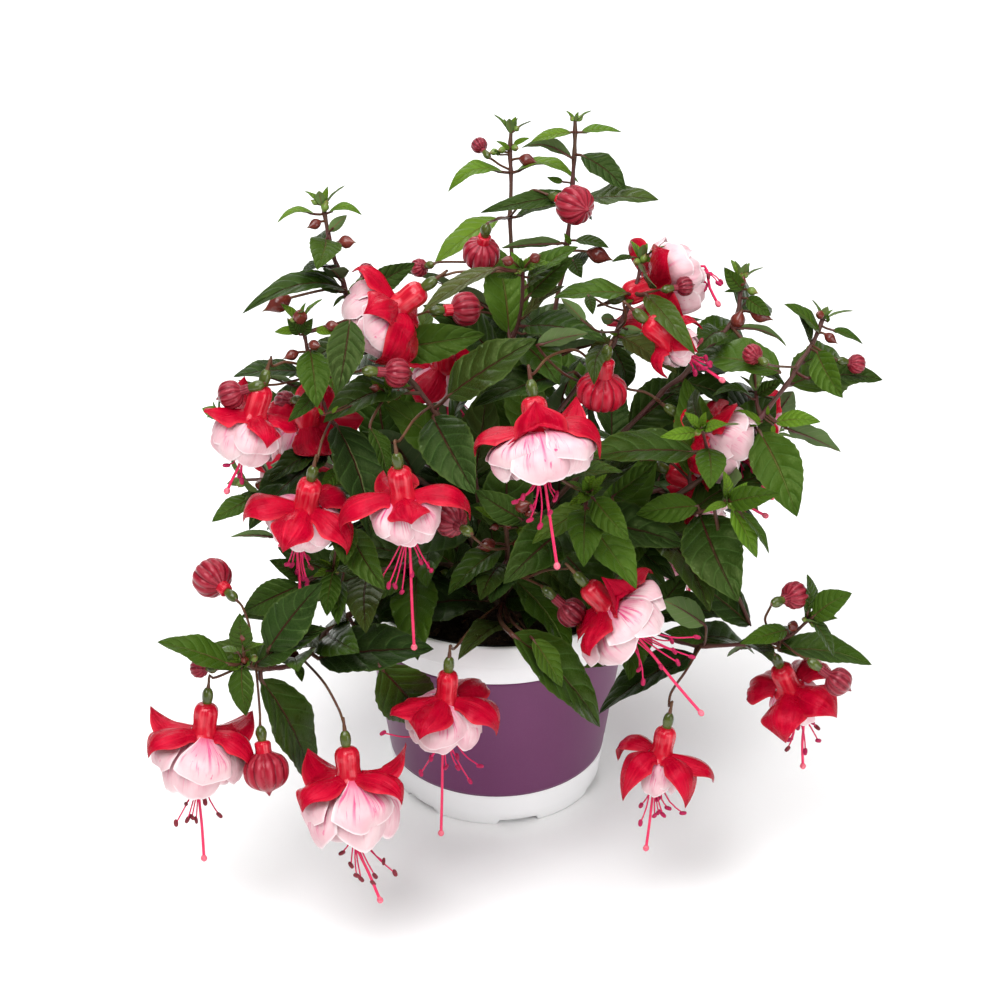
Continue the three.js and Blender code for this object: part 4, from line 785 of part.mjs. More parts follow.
// a tapering tube through points, closed at both ends
function taperTube(points, r0, r1, sides) {
  const P = points.map(V);
  const n = P.length;
  const verts = [], faces = [];
  let u = null;
  for (let i = 0; i < n; i++) {
    const t = new THREE.Vector3().subVectors(P[Math.min(n - 1, i + 1)], P[Math.max(0, i - 1)]).normalize();
    if (!u) u = Math.abs(t.z) < 0.8 ? new THREE.Vector3(0, 0, 1) : new THREE.Vector3(1, 0, 0);
    u.addScaledVector(t, -u.dot(t)).normalize();
    const w = new THREE.Vector3().crossVectors(t, u);
    const r = r0 + (r1 - r0) * i / (n - 1);
    for (let k = 0; k < sides; k++) {
      const a = 2 * Math.PI * k / sides;
      verts.push(P[i].clone().addScaledVector(u, r * Math.cos(a)).addScaledVector(w, r * Math.sin(a)));
    }
  }
  for (let i = 0; i < n - 1; i++) for (let k = 0; k < sides; k++) {
    const a = i * sides + k, b = i * sides + (k + 1) % sides;
    faces.push([a, b, b + sides], [a, b + sides, a + sides]);
  }
  for (let k = 1; k < sides - 1; k++) {
    faces.push([0, k + 1, k]);
    faces.push([(n - 1) * sides, (n - 1) * sides + k, (n - 1) * sides + k + 1]);
  }
  return solid(fromArrays(verts, faces));
}

// a leaf: a thin lens folded along its midrib and arched along its length; grow widens it by a clearance
function leafSolid([b, t, nn, width, arch], grow = 0) {
  const B = V(b), T = V(t);
  const a = new THREE.Vector3().subVectors(T, B);
  const len = a.length();
  a.normalize();
  const n = V(nn);
  n.addScaledVector(a, -n.dot(a)).normalize();
  const w = new THREE.Vector3().crossVectors(n, a);
  const st = [0, 0.46, 1], hw = [0, 1, 0];
  const th = LEAF_T / 2 + grow;
  const verts = [], faces = [];
  const at = (s) => B.clone().addScaledVector(a, len * s).addScaledVector(n, 4 * s * (1 - s) * arch * len);
  const beyond = (end, from) => end.clone().addScaledVector(new THREE.Vector3().subVectors(end, from).normalize(), 4 * grow);
  verts.push(beyond(at(0), at(st[1])), beyond(at(1), at(st[st.length - 2])));
  const m = st.length - 2;
  for (let i = 1; i <= m; i++) {
    const c = at(st[i]), h = width / 2 * hw[i] + grow;
    verts.push(c.clone().addScaledVector(n, th), c.clone().addScaledVector(w, h).addScaledVector(n, h * 0.2),
      c.clone().addScaledVector(n, -th), c.clone().addScaledVector(w, -h).addScaledVector(n, h * 0.2));
  }
  for (let k = 0; k < 4; k++) {
    const l = (k + 1) % 4;
    faces.push([0, 2 + k, 2 + l]);
    for (let i = 0; i < m - 1; i++) {
      const p = 2 + 4 * i;
      faces.push([p + k, p + 4 + k, p + 4 + l], [p + k, p + 4 + l, p + l]);
    }
    const q = 2 + 4 * (m - 1);
    faces.push([q + k, 1, q + l]);
  }
  return solid(fromArrays(verts, faces));
}

// a solid of revolution about the axis ax through O; the profile [z, r] starts and ends on the axis
function turned(O, ax, profile, sides) {
  const g = new THREE.LatheGeometry(profile.map(([z, r]) => new THREE.Vector2(r, z)), sides);
  g.applyQuaternion(new THREE.Quaternion().setFromUnitVectors(new THREE.Vector3(0, 1, 0), V(ax).normalize()));
  g.translate(O[0], O[1], O[2]);
  return solid(g);
}
const along = (O, ax, z) => [O[0] + ax[0] * z, O[1] + ax[1] * z, O[2] + ax[2] * z];

// ---------------------------------------------------------------- one branch
function stemSolid(br, grow = 0) {
  let s = null;
  for (const [pts, r0, r1] of br.stems) {
    const t = taperTube(pts, r0 + grow, r1 + grow, STEM_SIDES);
    s = s ? s.add(t) : t;
  }
  return s;
}
function smallBud([c, ax, d, att], grow = 0) {
  const r = d / 2 + grow;
  return taperTube([att, along(c, ax, -d * 0.3)], 0.45 + grow, 0.45 + grow, 3)
    .add(turned(c, ax, [[-r * 1.1, 0], [0, r], [r * 1.5, 0]], 4));
}
// everything the stems carry: leaves from their joints, small buds, closed buds on pedicels
function carried(br) {
  const out = [];
  for (const [, t, n, w, arch, att] of br.leaves) out.push((g) => leafSolid([att, t, n, w, arch], g));
  for (const q of br.buds) out.push((g) => smallBud(q, g));
  for (const q of br.largeBuds) out.push((g) => budSolid(q, g));
  return out;
}

// ---------------------------------------------------------------- one open flower
function flowerSolid(f, grow = 0) {
  const { O, ax } = f;
  const g = grow;
  let s = taperTube(f.ped, 0.6 + g, 0.6 + g, 3);
  const rc = f.rc, lc = f.lc;
  s = s.add(turned(O, ax, [[-OVARY_L - g, 0], [-0.6, OVARY_R + g], [4.6, 2.5 + g],
    [7.4, TUBE_R1 + g], [TUBE_L + 0.6, TUBE_R1 + g], [lc - 8, rc + g],
    [lc - 1, rc * 0.8 + g], [lc + g, 0]], 7));
  const S0 = along(O, ax, TUBE_L);
  for (const d of f.sep) {
    const T = along(S0, d, f.sl);
    s = s.add(leafSolid([S0, T, [-ax[0], -ax[1], -ax[2]], 0.56 * f.sl, 0.16], g));
  }
  s = s.add(taperTube([along(O, ax, lc - 8), f.tip], 0.7 + g, 0.8 + g, 4));
  return s;
}

// ---------------------------------------------------------------- one large closed bud
function budSolid(b, grow = 0) {
  const { O, ax, r, Lr } = b;
  const k = Math.min(1, b.s), g = grow;
  let s = taperTube(b.ped, 0.55 + g, 0.55 + g, 3);
  s = s.add(turned(O, ax, [[-3 * k - g, 0], [0, 2.2 * k + g], [3.2 * k, 1.7 * k + g],
    [Lr - r * 0.95, r * 0.5 + g], [Lr - r * 0.2, r + g], [Lr + r * 0.4, r * 0.9 + g],
    [Lr + r * 1.25 + g, 0]], 7));
  return s;
}

// ---------------------------------------------------------------- pot, label, soil, crown
function ring(profile, sides) { // a closed profile [r, z] turned about Z
  const g = new THREE.LatheGeometry(profile.map(([r, z]) => new THREE.Vector2(r, z)), sides);
  g.rotateX(Math.PI / 2);
  return solid(g);
}
const wallR = (z) => BASE_R + (POT_RIM_R - BAND_STEP - BASE_R) * (z / POT_H);
const inR = (z) => wallR(z) - POT_WALL;
const POT_SIDES = 30;
function potSolid() {
  const p = [
    [0, 0], [BASE_R - 1.2, 0], [wallR(1.2), 1.2],
    [wallR(LABEL_Z0 - GAP), LABEL_Z0 - GAP], [wallR(LABEL_Z0 - GAP) - 0.7, LABEL_Z0 - GAP],
    [wallR(LABEL_Z1 + GAP) - 0.7, LABEL_Z1 + GAP], [wallR(LABEL_Z1 + GAP), LABEL_Z1 + GAP],
    [wallR(BAND_Z), BAND_Z], [POT_RIM_R - 0.5, BAND_Z + 1.4], [POT_RIM_R, POT_H - 0.8], [POT_RIM_R - 0.8, POT_H],
    [inR(POT_H), POT_H], [inR(FLOOR_Z), FLOOR_Z], [0, FLOOR_Z],
  ];
  let s = ring(p, POT_SIDES);
  // notches between the feet, cut through the edge of the base
  for (let i = 0; i < NOTCHES; i++) {
    const a = 2 * Math.PI * (i + 0.5) / NOTCHES + NOTCH_TURN;
    const b = new THREE.BoxGeometry(14, 17, 2 * NOTCH_H);
    b.translate(BASE_R, 0, 0);
    b.rotateZ(a);
    s = s.subtract(solid(b));
  }
  // drain holes
  for (let i = 0; i < DRAINS; i++) {
    const c = new THREE.CylinderGeometry(DRAIN_R, DRAIN_R, 3 * FLOOR_Z, 8);
    c.rotateX(Math.PI / 2);
    c.translate(DRAIN_AT, 0, FLOOR_Z / 2);
    c.rotateZ(2 * Math.PI * i / DRAINS + 0.4);
    s = s.subtract(solid(c));
  }
  return s;
}
function labelSolid() {
  const z0 = LABEL_Z0, z1 = LABEL_Z1, i0 = wallR(z0) - 0.7 + GAP, i1 = wallR(z1) - 0.7 + GAP;
  return ring([[i0, z0], [i0 + LABEL_T, z0], [i1 + LABEL_T, z1], [i1, z1], [i0, z0]], POT_SIDES);
}
function soilSolid() {
  const z0 = FLOOR_Z + GAP;
  return ring([[0, z0], [inR(z0) - GAP, z0], [inR(SOIL_Z - 1) - GAP, SOIL_Z - 1], [inR(SOIL_Z) - 6, SOIL_Z], [0, SOIL_Z]], POT_SIDES);
}
function crownSolid(grow = 0) {
  return turned([0, 0, SOIL_Z + GAP - grow], [0, 0, 1], [[0, 0], [0, CROWN_R + grow], [2.2 + grow, CROWN_R * 0.97 + grow], [5.4 + grow, CROWN_R * 0.72 + grow], [7.4 + 2 * grow, 0]], 14);
}

// ---------------------------------------------------------------- assembly
const group = new THREE.Group();
function addMesh(name, man, color, roughness, metalness = 0) {
  const mesh = new THREE.Mesh(geometryOf(man), new THREE.MeshStandardMaterial({ color, roughness, metalness }));
  mesh.name = name;
  group.add(mesh);
}
function largest(man) {
  const parts = man.decompose();
  let best = parts[0];
  for (const p of parts) if (p.volume() > best.volume()) best = p;
  return best;
}
// true if every edge of the solid's mesh, rounded to a tenth of a micron, has exactly two faces
function cleanEdges(man) {
  const m = man.getMesh(), id = new Map(), vid = [];
  for (let i = 0; i < m.vertProperties.length / m.numProp; i++) {
    const key = [0, 1, 2].map((k) => Math.round(m.vertProperties[m.numProp * i + k] * 1e4)).join();
    if (!id.has(key)) id.set(key, id.size);
    vid.push(id.get(key));
  }
  const edges = new Map();
  for (let i = 0; i < m.triVerts.length; i += 3) {
    const t = [vid[m.triVerts[i]], vid[m.triVerts[i + 1]], vid[m.triVerts[i + 2]]];
    if (t[0] === t[1] || t[1] === t[2] || t[0] === t[2]) continue;
    for (let k = 0; k < 3; k++) {
      const a = t[k], c = t[(k + 1) % 3], key = a < c ? a + '_' + c : c + '_' + a;
      edges.set(key, (edges.get(key) || 0) + 1);
    }
  }
  for (const n of edges.values()) if (n !== 2) return false;
  return thinnest(m) > SLIVER;
}
// the least height of any triangle
function thinnest(m) {
  const at = (i) => new THREE.Vector3().fromArray(m.vertProperties, m.numProp * i);
  let least = Infinity;
  for (let i = 0; i < m.triVerts.length; i += 3) {
    const [a, b, c] = [0, 1, 2].map((k) => at(m.triVerts[i + k]));
    const long = Math.max(a.distanceTo(b), b.distanceTo(c), c.distanceTo(a));
    least = Math.min(least, b.clone().sub(a).cross(c.clone().sub(a)).length() / long);
  }
  return least;
}
// snap a solid's vertices to finer or coarser steps until it is one clean closed body
// a solid as it comes out when its vertices nearer than a micron are merged
function merged(man) {
  const g = mergeVertices(geometryOf(man).toNonIndexed().deleteAttribute('normal'), 1e-3);
  return new Manifold(new MMesh({ numProp: 3, vertProperties: new Float32Array(g.attributes.position.array), triVerts: new Uint32Array(g.index.array) }));
}
// snap a solid's vertices to finer or coarser steps until it is one clean closed body
function settled(man) {
  for (const step of [0.02, 0.03, 0.04, 0.05, 0.07, 0.09, 0.12]) {
    const m = man.getMesh(), n = m.vertProperties.length / m.numProp, id = new Map(), pos = [], vid = [];
    for (let i = 0; i < n; i++) {
      const p = [0, 1, 2].map((k) => Math.round(m.vertProperties[m.numProp * i + k] / step));
      const key = p.join();
      if (!id.has(key)) { id.set(key, id.size); pos.push(...p.map((x) => x * step)); }
      vid.push(id.get(key));
    }
    const tri = [];
    for (let i = 0; i < m.triVerts.length; i += 3) {
      const t = [vid[m.triVerts[i]], vid[m.triVerts[i + 1]], vid[m.triVerts[i + 2]]];
      if (t[0] !== t[1] && t[1] !== t[2] && t[0] !== t[2]) tri.push(...t);
    }
    try {
      const s = largest(new Manifold(new MMesh({ numProp: 3, vertProperties: new Float32Array(pos), triVerts: new Uint32Array(tri) })));
      const b = merged(s);
      if (b.volume() > 0.98 * man.volume() && b.decompose().length === 1 && cleanEdges(b)) return s;
    } catch (e) { /* the next step may close it */ }
  }
  return null;
}
// drop the vertices that shape nothing wider than EASE
function eased(man) {
  const s = settled(man.simplify(EASE));
  return s && s.numTri() < man.numTri() ? s : man;
}
function boxesMeet(a, b) {
  for (let k = 0; k < 3; k++) if (a.min[k] > b.max[k] || b.min[k] > a.max[k]) return false;
  return true;
}
// a solid, and the same solid widened by the clearance, with the box of the latter
const withClearance = (make) => { const wide = make(GAP + 0.06); return { s: make(0), wide, wider: make(GAP + 0.6), box: wide.boundingBox() }; };
// cut a solid back from every neighbour it would touch
function clearOf(s, neighbours) {
  for (const n of neighbours) {
    if (s.isEmpty()) return s;
    if (!boxesMeet(s.boundingBox(), n.box)) continue;
    if (s.intersect(n.wide).volume() > 1e-6) s = s.subtract(n.wide);
    if (n.s && s.intersect(n.s).volume() > 1e-6) s = s.subtract(n.wider);
  }
  return s;
}
const crown = crownSolid();
const crownWide = { wide: crownSolid(GAP + 0.06), box: crownSolid(GAP + 0.06).boundingBox() };
const soilWide = ring([[0, SOIL_Z - 20], [58, SOIL_Z - 20], [58, SOIL_Z + GAP], [0, SOIL_Z + GAP]], 12);
const ground = { wide: soilWide, box: soilWide.boundingBox() };

const stems = BRANCHES.map((br) => withClearance((g) => stemSolid(br, g)));
const flowers = FLOWERS.map((f) => withClearance((g) => flowerSolid(f, g)));
const buds = BUDS.map((q) => withClearance((g) => budSolid(q, g)));

addMesh('pot', potSolid(), 0xf2f2f4, 0.45);
addMesh('pot_label', labelSolid(), 0x7c4a78, 0.4);
addMesh('soil', soilSolid(), 0x2b1d14, 0.95);
addMesh('crown', crown, 0x4a2f2c, 0.8);
// stems keep clear of the crown and of each other
const freeStems = stems.map((x, i) => largest(clearOf(x.s, [crownWide, ground, ...stems.slice(0, i)])));
// flowers and large buds keep clear of every stem and of each other
flowers.forEach((x, i) => addMesh(FLOWERS[i].name, eased(settled(largest(clearOf(x.s, [...stems, ...flowers.slice(0, i)])))), 0xc81430, 0.35));
buds.forEach((x, i) => addMesh(BUDS[i].name, eased(settled(largest(clearOf(x.s, [...stems, ...flowers, ...buds.slice(0, i)])))), 0x9c1c34, 0.4));
// leaves and small buds keep clear of everything that is not their own branch
const leavesPlaced = [];
BRANCHES.forEach((br, i) => {
  let s = freeStems[i];
  const others = stems.filter((_, j) => j !== i);
  const mine = [];
  for (const make of carried(br)) {
    const x = withClearance(make);
    const free = clearOf(x.s, [crownWide, ground, ...others, ...flowers, ...buds, ...leavesPlaced]);
    if (free.isEmpty()) continue;
    for (const part of free.decompose()) {
      if (part.intersect(freeStems[i]).volume() < 1e-5) continue;
      const joined = settled(s.add(part));
      if (joined) { s = joined; mine.push(x); }
    }
  }
  leavesPlaced.push(...mine);
  addMesh(br.name, eased(s), 0x35562a, 0.5);
});

export default group;
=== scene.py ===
import bpy
import math
import random
import numpy as np
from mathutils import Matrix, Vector


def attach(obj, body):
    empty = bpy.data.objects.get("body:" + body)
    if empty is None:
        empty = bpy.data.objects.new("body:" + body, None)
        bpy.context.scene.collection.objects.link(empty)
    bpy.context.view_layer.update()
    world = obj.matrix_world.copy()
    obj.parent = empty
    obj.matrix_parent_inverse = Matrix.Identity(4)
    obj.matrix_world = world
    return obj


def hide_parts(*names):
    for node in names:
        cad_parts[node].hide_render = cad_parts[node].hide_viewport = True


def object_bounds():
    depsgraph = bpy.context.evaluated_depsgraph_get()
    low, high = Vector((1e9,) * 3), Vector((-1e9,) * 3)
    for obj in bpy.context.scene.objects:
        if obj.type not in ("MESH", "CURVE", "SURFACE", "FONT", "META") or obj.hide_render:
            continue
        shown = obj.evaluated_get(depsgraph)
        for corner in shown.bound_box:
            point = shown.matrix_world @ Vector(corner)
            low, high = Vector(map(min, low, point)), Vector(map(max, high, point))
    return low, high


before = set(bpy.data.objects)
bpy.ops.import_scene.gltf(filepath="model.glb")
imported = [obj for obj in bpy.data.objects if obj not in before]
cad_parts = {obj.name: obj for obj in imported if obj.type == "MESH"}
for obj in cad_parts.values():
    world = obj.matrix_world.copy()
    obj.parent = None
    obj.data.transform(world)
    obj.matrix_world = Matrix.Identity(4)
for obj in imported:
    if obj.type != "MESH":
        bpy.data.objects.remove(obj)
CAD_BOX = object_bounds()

MM = 0.001

# ---------------------------------------------------------------- layout, in millimetres
# branch: [name, stems [[points, tip radius, base radius]], leaves [[base, tip, upper side, width, arch, joint, kind]], small buds [[centre, axis, size, joint, kind]]]
# flower: [name, ovary, axis, pedicel, stigma, corolla radius, corolla end, sepal length, sepal directions, anthers, number]
# bud: [name, ovary, axis, pedicel, radius, scale, ball distance]
BRANCHES = [
 ["branch_left_tall",[[[[-67.6,-8.0,272.6],[-65.7,-12.0,262.4],[-63.9,-15.3,254.5],[-60.4,-18.8,246.2],[-59.2,-20.5,241.8],[-58.1,-22.7,236.3],[-56.6,-24.5,232.0],[-48.4,-29.5,222.2],[-43.7,-31.9,218.2],[-33.9,-36.7,210.5],[-24.9,-42.0,200.5],[-14.1,-44.1,183.6],[-8.8,-36.8,164.6],[-6.7,-24.6,143.3],[-6.0,-11.9,119.8],[-4.4,-3.4,94.0]],0.7,1.3],[[[-42.1,-52.0,213.3],[-37.6,-46.9,210.4],[-29.8,-39.1,205.9]],0.5,0.65]],[[[-70.6,-12.6,271.0],[-85.1,-18.4,270.0],[-0.07,0.01,1.0],6.0,0.22,[-67.0,-9.2,269.5],"y"],[[-65.6,-11.1,270.7],[-52.2,-14.0,271.2],[-0.06,-0.09,0.99],5.7,0.22,[-67.0,-9.2,269.5],"y"],[[-65.3,-13.4,263.6],[-58.1,-12.3,270.4],[-0.0,0.99,-0.16],4.8,0.07,[-65.7,-12.0,262.4],"u"],[[-66.5,-14.5,261.1],[-68.9,-39.6,260.6],[0.27,-0.05,0.96],12.9,0.1,[-65.4,-12.7,260.8],"g"],[[-59.1,-23.8,243.5],[-97.6,-49.8,246.9],[0.16,-0.11,0.98],13.2,0.2,[-59.2,-20.5,241.8],"m"],[[-61.1,-23.1,242.3],[-76.4,-24.1,252.0],[0.52,-0.36,0.77],9.1,0.07,[-59.1,-20.7,241.2],"g"],[[-53.6,-15.8,238.8],[-32.1,-5.1,245.7],[0.37,-0.9,0.24],10.3,0.07,[-58.9,-21.2,240.2],"m"],[[-57.0,-20.4,237.7],[-40.2,-0.9,216.0],[0.87,-0.35,0.35],7.0,0.07,[-58.5,-22.1,238.0],"g"],[[-59.2,-22.4,240.6],[-63.8,-26.3,237.3],[-0.41,-0.25,0.88],2.5,0.07,[-58.9,-21.2,240.2],"y"],[[-58.0,-22.9,240.9],[-52.1,-21.8,246.9],[-0.62,-0.38,0.68],3.6,0.07,[-58.8,-21.4,239.6],"y"],[[-42.6,-27.8,219.5],[-4.5,-26.2,225.3],[-0.04,-0.88,0.48],15.6,0.07,[-44.6,-31.4,219.0],"g"],[[-19.2,-47.6,209.0],[15.7,-46.2,234.0],[-0.51,-0.43,0.74],21.5,0.07,[-24.9,-42.0,200.5],"m"],[[-24.9,-44.4,198.2],[-8.2,-78.5,183.5],[-0.25,-0.48,0.84],21.6,0.07,[-23.8,-42.2,198.8],"b"],[[-44.3,-54.8,213.1],[-63.0,-62.3,211.6],[-0.07,-0.03,1.0],10.1,0.07,[-42.1,-52.0,213.3],"g"],[[-66.5,-70.9,214.3],[-68.3,-70.9,217.4],[0.27,-0.95,0.17],1.5,0.07,[-42.1,-52.0,213.3],"y"],[[-62.9,-71.7,215.6],[-60.6,-71.0,218.4],[-0.11,-0.94,0.33],1.5,0.07,[-42.1,-52.0,213.3],"y"],[[-48.3,-77.6,212.9],[-41.6,-91.5,199.0],[0.68,-0.33,0.65],10.4,0.07,[-42.1,-52.0,213.3],"m"],[[-17.7,-42.8,195.0],[-0.2,-40.1,224.4],[-0.81,-0.28,0.51],16.1,0.08,[-19.5,-43.0,192.0],"m"],[[-60.7,-22.8,247.5],[-64.2,-40.1,260.9],[-0.03,0.61,0.79],10.3,0.08,[-60.0,-19.3,244.9],"m"],[[-35.0,-40.5,208.7],[-66.4,-70.4,210.6],[0.08,-0.02,1.0],19.1,0.12,[-32.1,-37.8,208.5],"m"],[[-63.5,-19.1,251.1],[-74.8,-35.7,257.3],[0.09,0.29,0.95],10.0,0.09,[-62.1,-17.0,250.3],"m"],[[-42.7,-30.5,213.3],[-59.7,-6.4,191.7],[-0.62,0.23,0.75],17.4,0.13,[-40.7,-33.4,215.9],"m"],[[-64.9,-11.6,255.0],[-69.3,4.6,254.1],[-0.64,-0.12,0.76],8.2,0.12,[-64.0,-14.9,255.3],"m"],[[-8.4,-35.9,167.1],[-3.4,-24.5,202.0],[-0.29,-0.89,0.34],18.7,0.11,[-8.8,-36.8,164.6],"m"],[[-49.6,-30.8,220.3],[-81.6,-38.3,212.0],[-0.23,-0.08,0.97],15.0,0.08,[-47.0,-30.2,221.0],"m"],[[-52.8,-29.4,223.1],[-78.0,-37.7,214.3],[-0.25,-0.25,0.94],13.5,0.12,[-50.0,-28.5,224.1],"m"],[[-14.7,-40.4,176.9],[-45.4,-40.0,203.6],[0.49,-0.66,0.57],19.9,0.09,[-11.4,-40.4,174.1],"g"],[[-9.5,-27.4,143.2],[-39.2,-58.3,141.4],[0.26,-0.3,0.92],22.0,0.07,[-6.7,-24.6,143.3],"m"]],[[[-58.5,-17.8,261.5],[0.82,-0.52,0.24],5.5,[-64.6,-14.0,257.6],"p"],[[-70.6,-13.8,267.2],[-0.77,-0.63,-0.11],4.5,[-66.5,-10.4,266.5],"r"],[[-66.7,-10.6,273.0],[0.29,0.0,0.96],3.4,[-67.4,-8.4,271.6],"g"],[[-84.6,-30.1,241.1],[-0.88,-0.36,-0.31],8,[-59.6,-20.0,243.1],"p"],[[-46.9,-55.7,217.6],[-0.74,-0.56,0.37],3.4,[-42.1,-52.0,213.3],"r"],[[-38.6,-50.6,211.7],[0.29,0.0,0.96],3.4,[-38.9,-48.4,211.3],"r"]]],
 ["branch_left",[[[[-75.5,-48.0,243.3],[-74.1,-48.2,237.7],[-72.8,-48.5,229.5],[-70.3,-48.8,219.5],[-67.9,-49.2,209.5],[-65.3,-49.5,201.1],[-61.2,-49.7,195.4],[-56.6,-50.0,188.8],[-44.4,-46.9,171.2],[-33.4,-37.9,154.6],[-23.8,-26.2,137.3],[-15.6,-14.8,117.7],[-8.8,-6.6,94.0]],0.6,1.1],[[[-94.2,-55.0,170.3],[-87.1,-54.1,172.0],[-77.1,-52.5,179.8],[-67.2,-51.0,187.1],[-58.7,-49.9,191.8]],0.5,0.78]],[[[-76.4,-48.7,238.9],[-85.7,-47.4,237.7],[-0.18,-0.6,0.78],4.2,0.07,[-74.6,-48.1,239.4],"y"],[[-69.6,-52.0,241.1],[-60.7,-54.2,241.0],[-0.19,-0.8,0.57],3.9,0.07,[-74.1,-48.2,237.7],"y"],[[-75.6,-50.3,238.0],[-80.3,-50.8,245.7],[0.31,-0.94,0.13],4.6,0.07,[-74.0,-48.2,236.9],"m"],[[-74.8,-49.8,237.7],[-70.4,-50.6,245.6],[-0.23,-0.97,0.04],4.6,0.07,[-74.0,-48.2,236.9],"m"],[[-75.1,-52.6,223.0],[-101.1,-61.2,225.6],[0.1,0.0,1.0],13.8,0.07,[-71.1,-48.7,222.5],"m"],[[-71.9,-50.1,231.3],[-68.6,-71.8,217.9],[-0.01,-0.52,0.85],13.1,0.07,[-72.9,-48.5,230.3],"g"],[[-56.0,-54.3,246.7],[-60.3,-74.4,226.0],[0.01,-0.72,0.69],14.6,0.07,[-74.1,-48.2,237.7],"m"],[[-69.1,-53.2,215.3],[-79.7,-75.2,213.7],[0.45,-0.28,0.85],7.0,0.07,[-68.9,-49.0,213.5],"m"],[[-62.6,-50.7,198.3],[-48.6,-83.2,166.5],[0.52,-0.47,0.71],24.7,0.07,[-62.8,-49.6,197.7],"b"],[[-66.3,-53.3,186.2],[-96.0,-79.6,167.9],[-0.43,-0.14,0.89],21.8,0.07,[-67.2,-51.0,187.1],"m"],[[-68.2,-52.9,189.1],[-88.9,-66.3,181.6],[-0.22,-0.2,0.96],12.9,0.07,[-67.2,-51.0,187.1],"m"],[[-61.9,-57.8,182.0],[-68.7,-67.5,178.8],[0.39,-0.52,0.76],6.3,0.07,[-66.3,-50.9,187.6],"g"],[[-92.1,-57.4,169.4],[-100.2,-59.1,171.8],[0.29,-0.02,0.96],4.3,0.07,[-92.8,-54.8,170.6],"g"],[[-95.6,-57.8,169.2],[-111.3,-67.9,164.4],[-0.05,-0.37,0.93],9.6,0.07,[-94.2,-55.0,170.3],"g"],[[-86.2,-76.1,162.6],[-103.3,-81.1,165.6],[-0.2,0.91,0.35],5.0,0.07,[-92.1,-54.7,170.8],"u"],[[-30.6,-39.1,153.3],[-10.1,-64.5,157.8],[-0.33,-0.1,0.94],17.0,0.13,[-32.4,-36.8,152.9],"m"],[[-23.4,-29.4,134.9],[-27.4,-64.3,131.5],[-0.31,-0.06,0.95],17.6,0.09,[-23.0,-25.1,135.4],"g"]],[[[-75.3,-50.4,245.9],[0.06,-0.81,0.58],6,[-75.5,-48.0,243.3],"r"],[[-70.2,-51.3,234.1],[0.7,-0.68,0.23],4.5,[-73.2,-48.4,232.0],"r"],[[-78.8,-52.4,230.4],[-0.83,-0.55,-0.13],4.6,[-72.8,-48.5,229.5],"r"],[[-63.0,-53.7,243.8],[0.88,-0.43,0.2],4.6,[-74.1,-48.2,237.7],"r"],[[-92.7,-57.4,175.0],[-0.16,-0.67,0.72],4.2,[-92.1,-54.7,170.8],"r"]]],
 ["branch_top_centre",[[[[5.8,45.0,278.7],[5.4,41.7,271.0],[5.8,38.7,264.0],[5.8,35.4,256.2],[5.4,31.7,247.4],[5.8,28.1,238.8],[6.2,25.0,231.4],[6.2,21.0,222.1],[5.8,17.1,212.7],[6.3,14.0,205.2],[6.4,7.8,184.9],[5.0,5.4,164.3],[2.9,5.2,142.7],[0.8,5.8,119.4],[-0.7,5.6,94.0]],0.7,1.3]],[[[2.6,35.7,265.5],[-19.4,26.7,261.0],[-0.15,-0.11,0.98],10.2,0.25,[5.8,38.7,264.0],"y"],[[7.4,36.7,265.0],[33.0,28.5,264.1],[0.03,-0.0,1.0],8.8,0.25,[5.8,38.7,264.0],"y"],[[0.6,27.7,248.9],[-25.0,11.6,236.1],[-0.27,-0.29,0.92],13.8,0.07,[5.4,31.7,247.4],"y"],[[7.4,29.4,248.5],[28.6,26.4,255.4],[-0.31,-0.01,0.95],8.0,0.07,[5.4,31.7,247.4],"m"],[[5.4,40.8,272.8],[-0.2,40.8,276.8],[0.48,-0.54,0.69],2.5,0.07,[5.5,42.0,271.8],"y"],[[6.6,41.4,274.7],[13.4,40.9,278.1],[-0.39,-0.61,0.69],2.7,0.07,[5.6,43.0,274.1],"y"],[[1.4,37.9,272.0],[-1.0,36.6,274.8],[0.47,-0.88,-0.0],2.0,0.07,[5.5,41.4,270.3],"g"],[[8.7,15.3,197.1],[30.6,50.0,197.4],[-0.0,-0.01,1.0],21.1,0.06,[6.3,11.5,197.1],"m"],[[4.4,16.7,205.3],[-13.7,42.7,205.7],[0.03,0.0,1.0],14.1,0.13,[6.3,14.0,205.2],"m"],[[4.4,12.9,191.7],[-14.6,43.9,198.5],[0.1,-0.15,0.98],19.1,0.14,[6.3,9.7,191.0],"m"],[[3.3,16.2,210.0],[-40.5,26.6,225.9],[0.4,0.49,0.77],22.1,0.07,[6.1,15.6,209.0],"m"]],[[[-1.0,37.8,273.4],[-0.85,-0.52,0.05],3,[5.4,41.7,271.0],"g"],[[2.2,39.1,273.6],[-0.73,-0.67,0.14],3,[5.5,42.0,271.8],"g"],[[7.4,39.8,274.2],[0.58,-0.78,0.21],3,[5.5,42.4,272.6],"g"],[[12.2,36.5,270.4],[0.86,-0.52,0.02],5.6,[5.6,40.5,268.2],"p"]]],
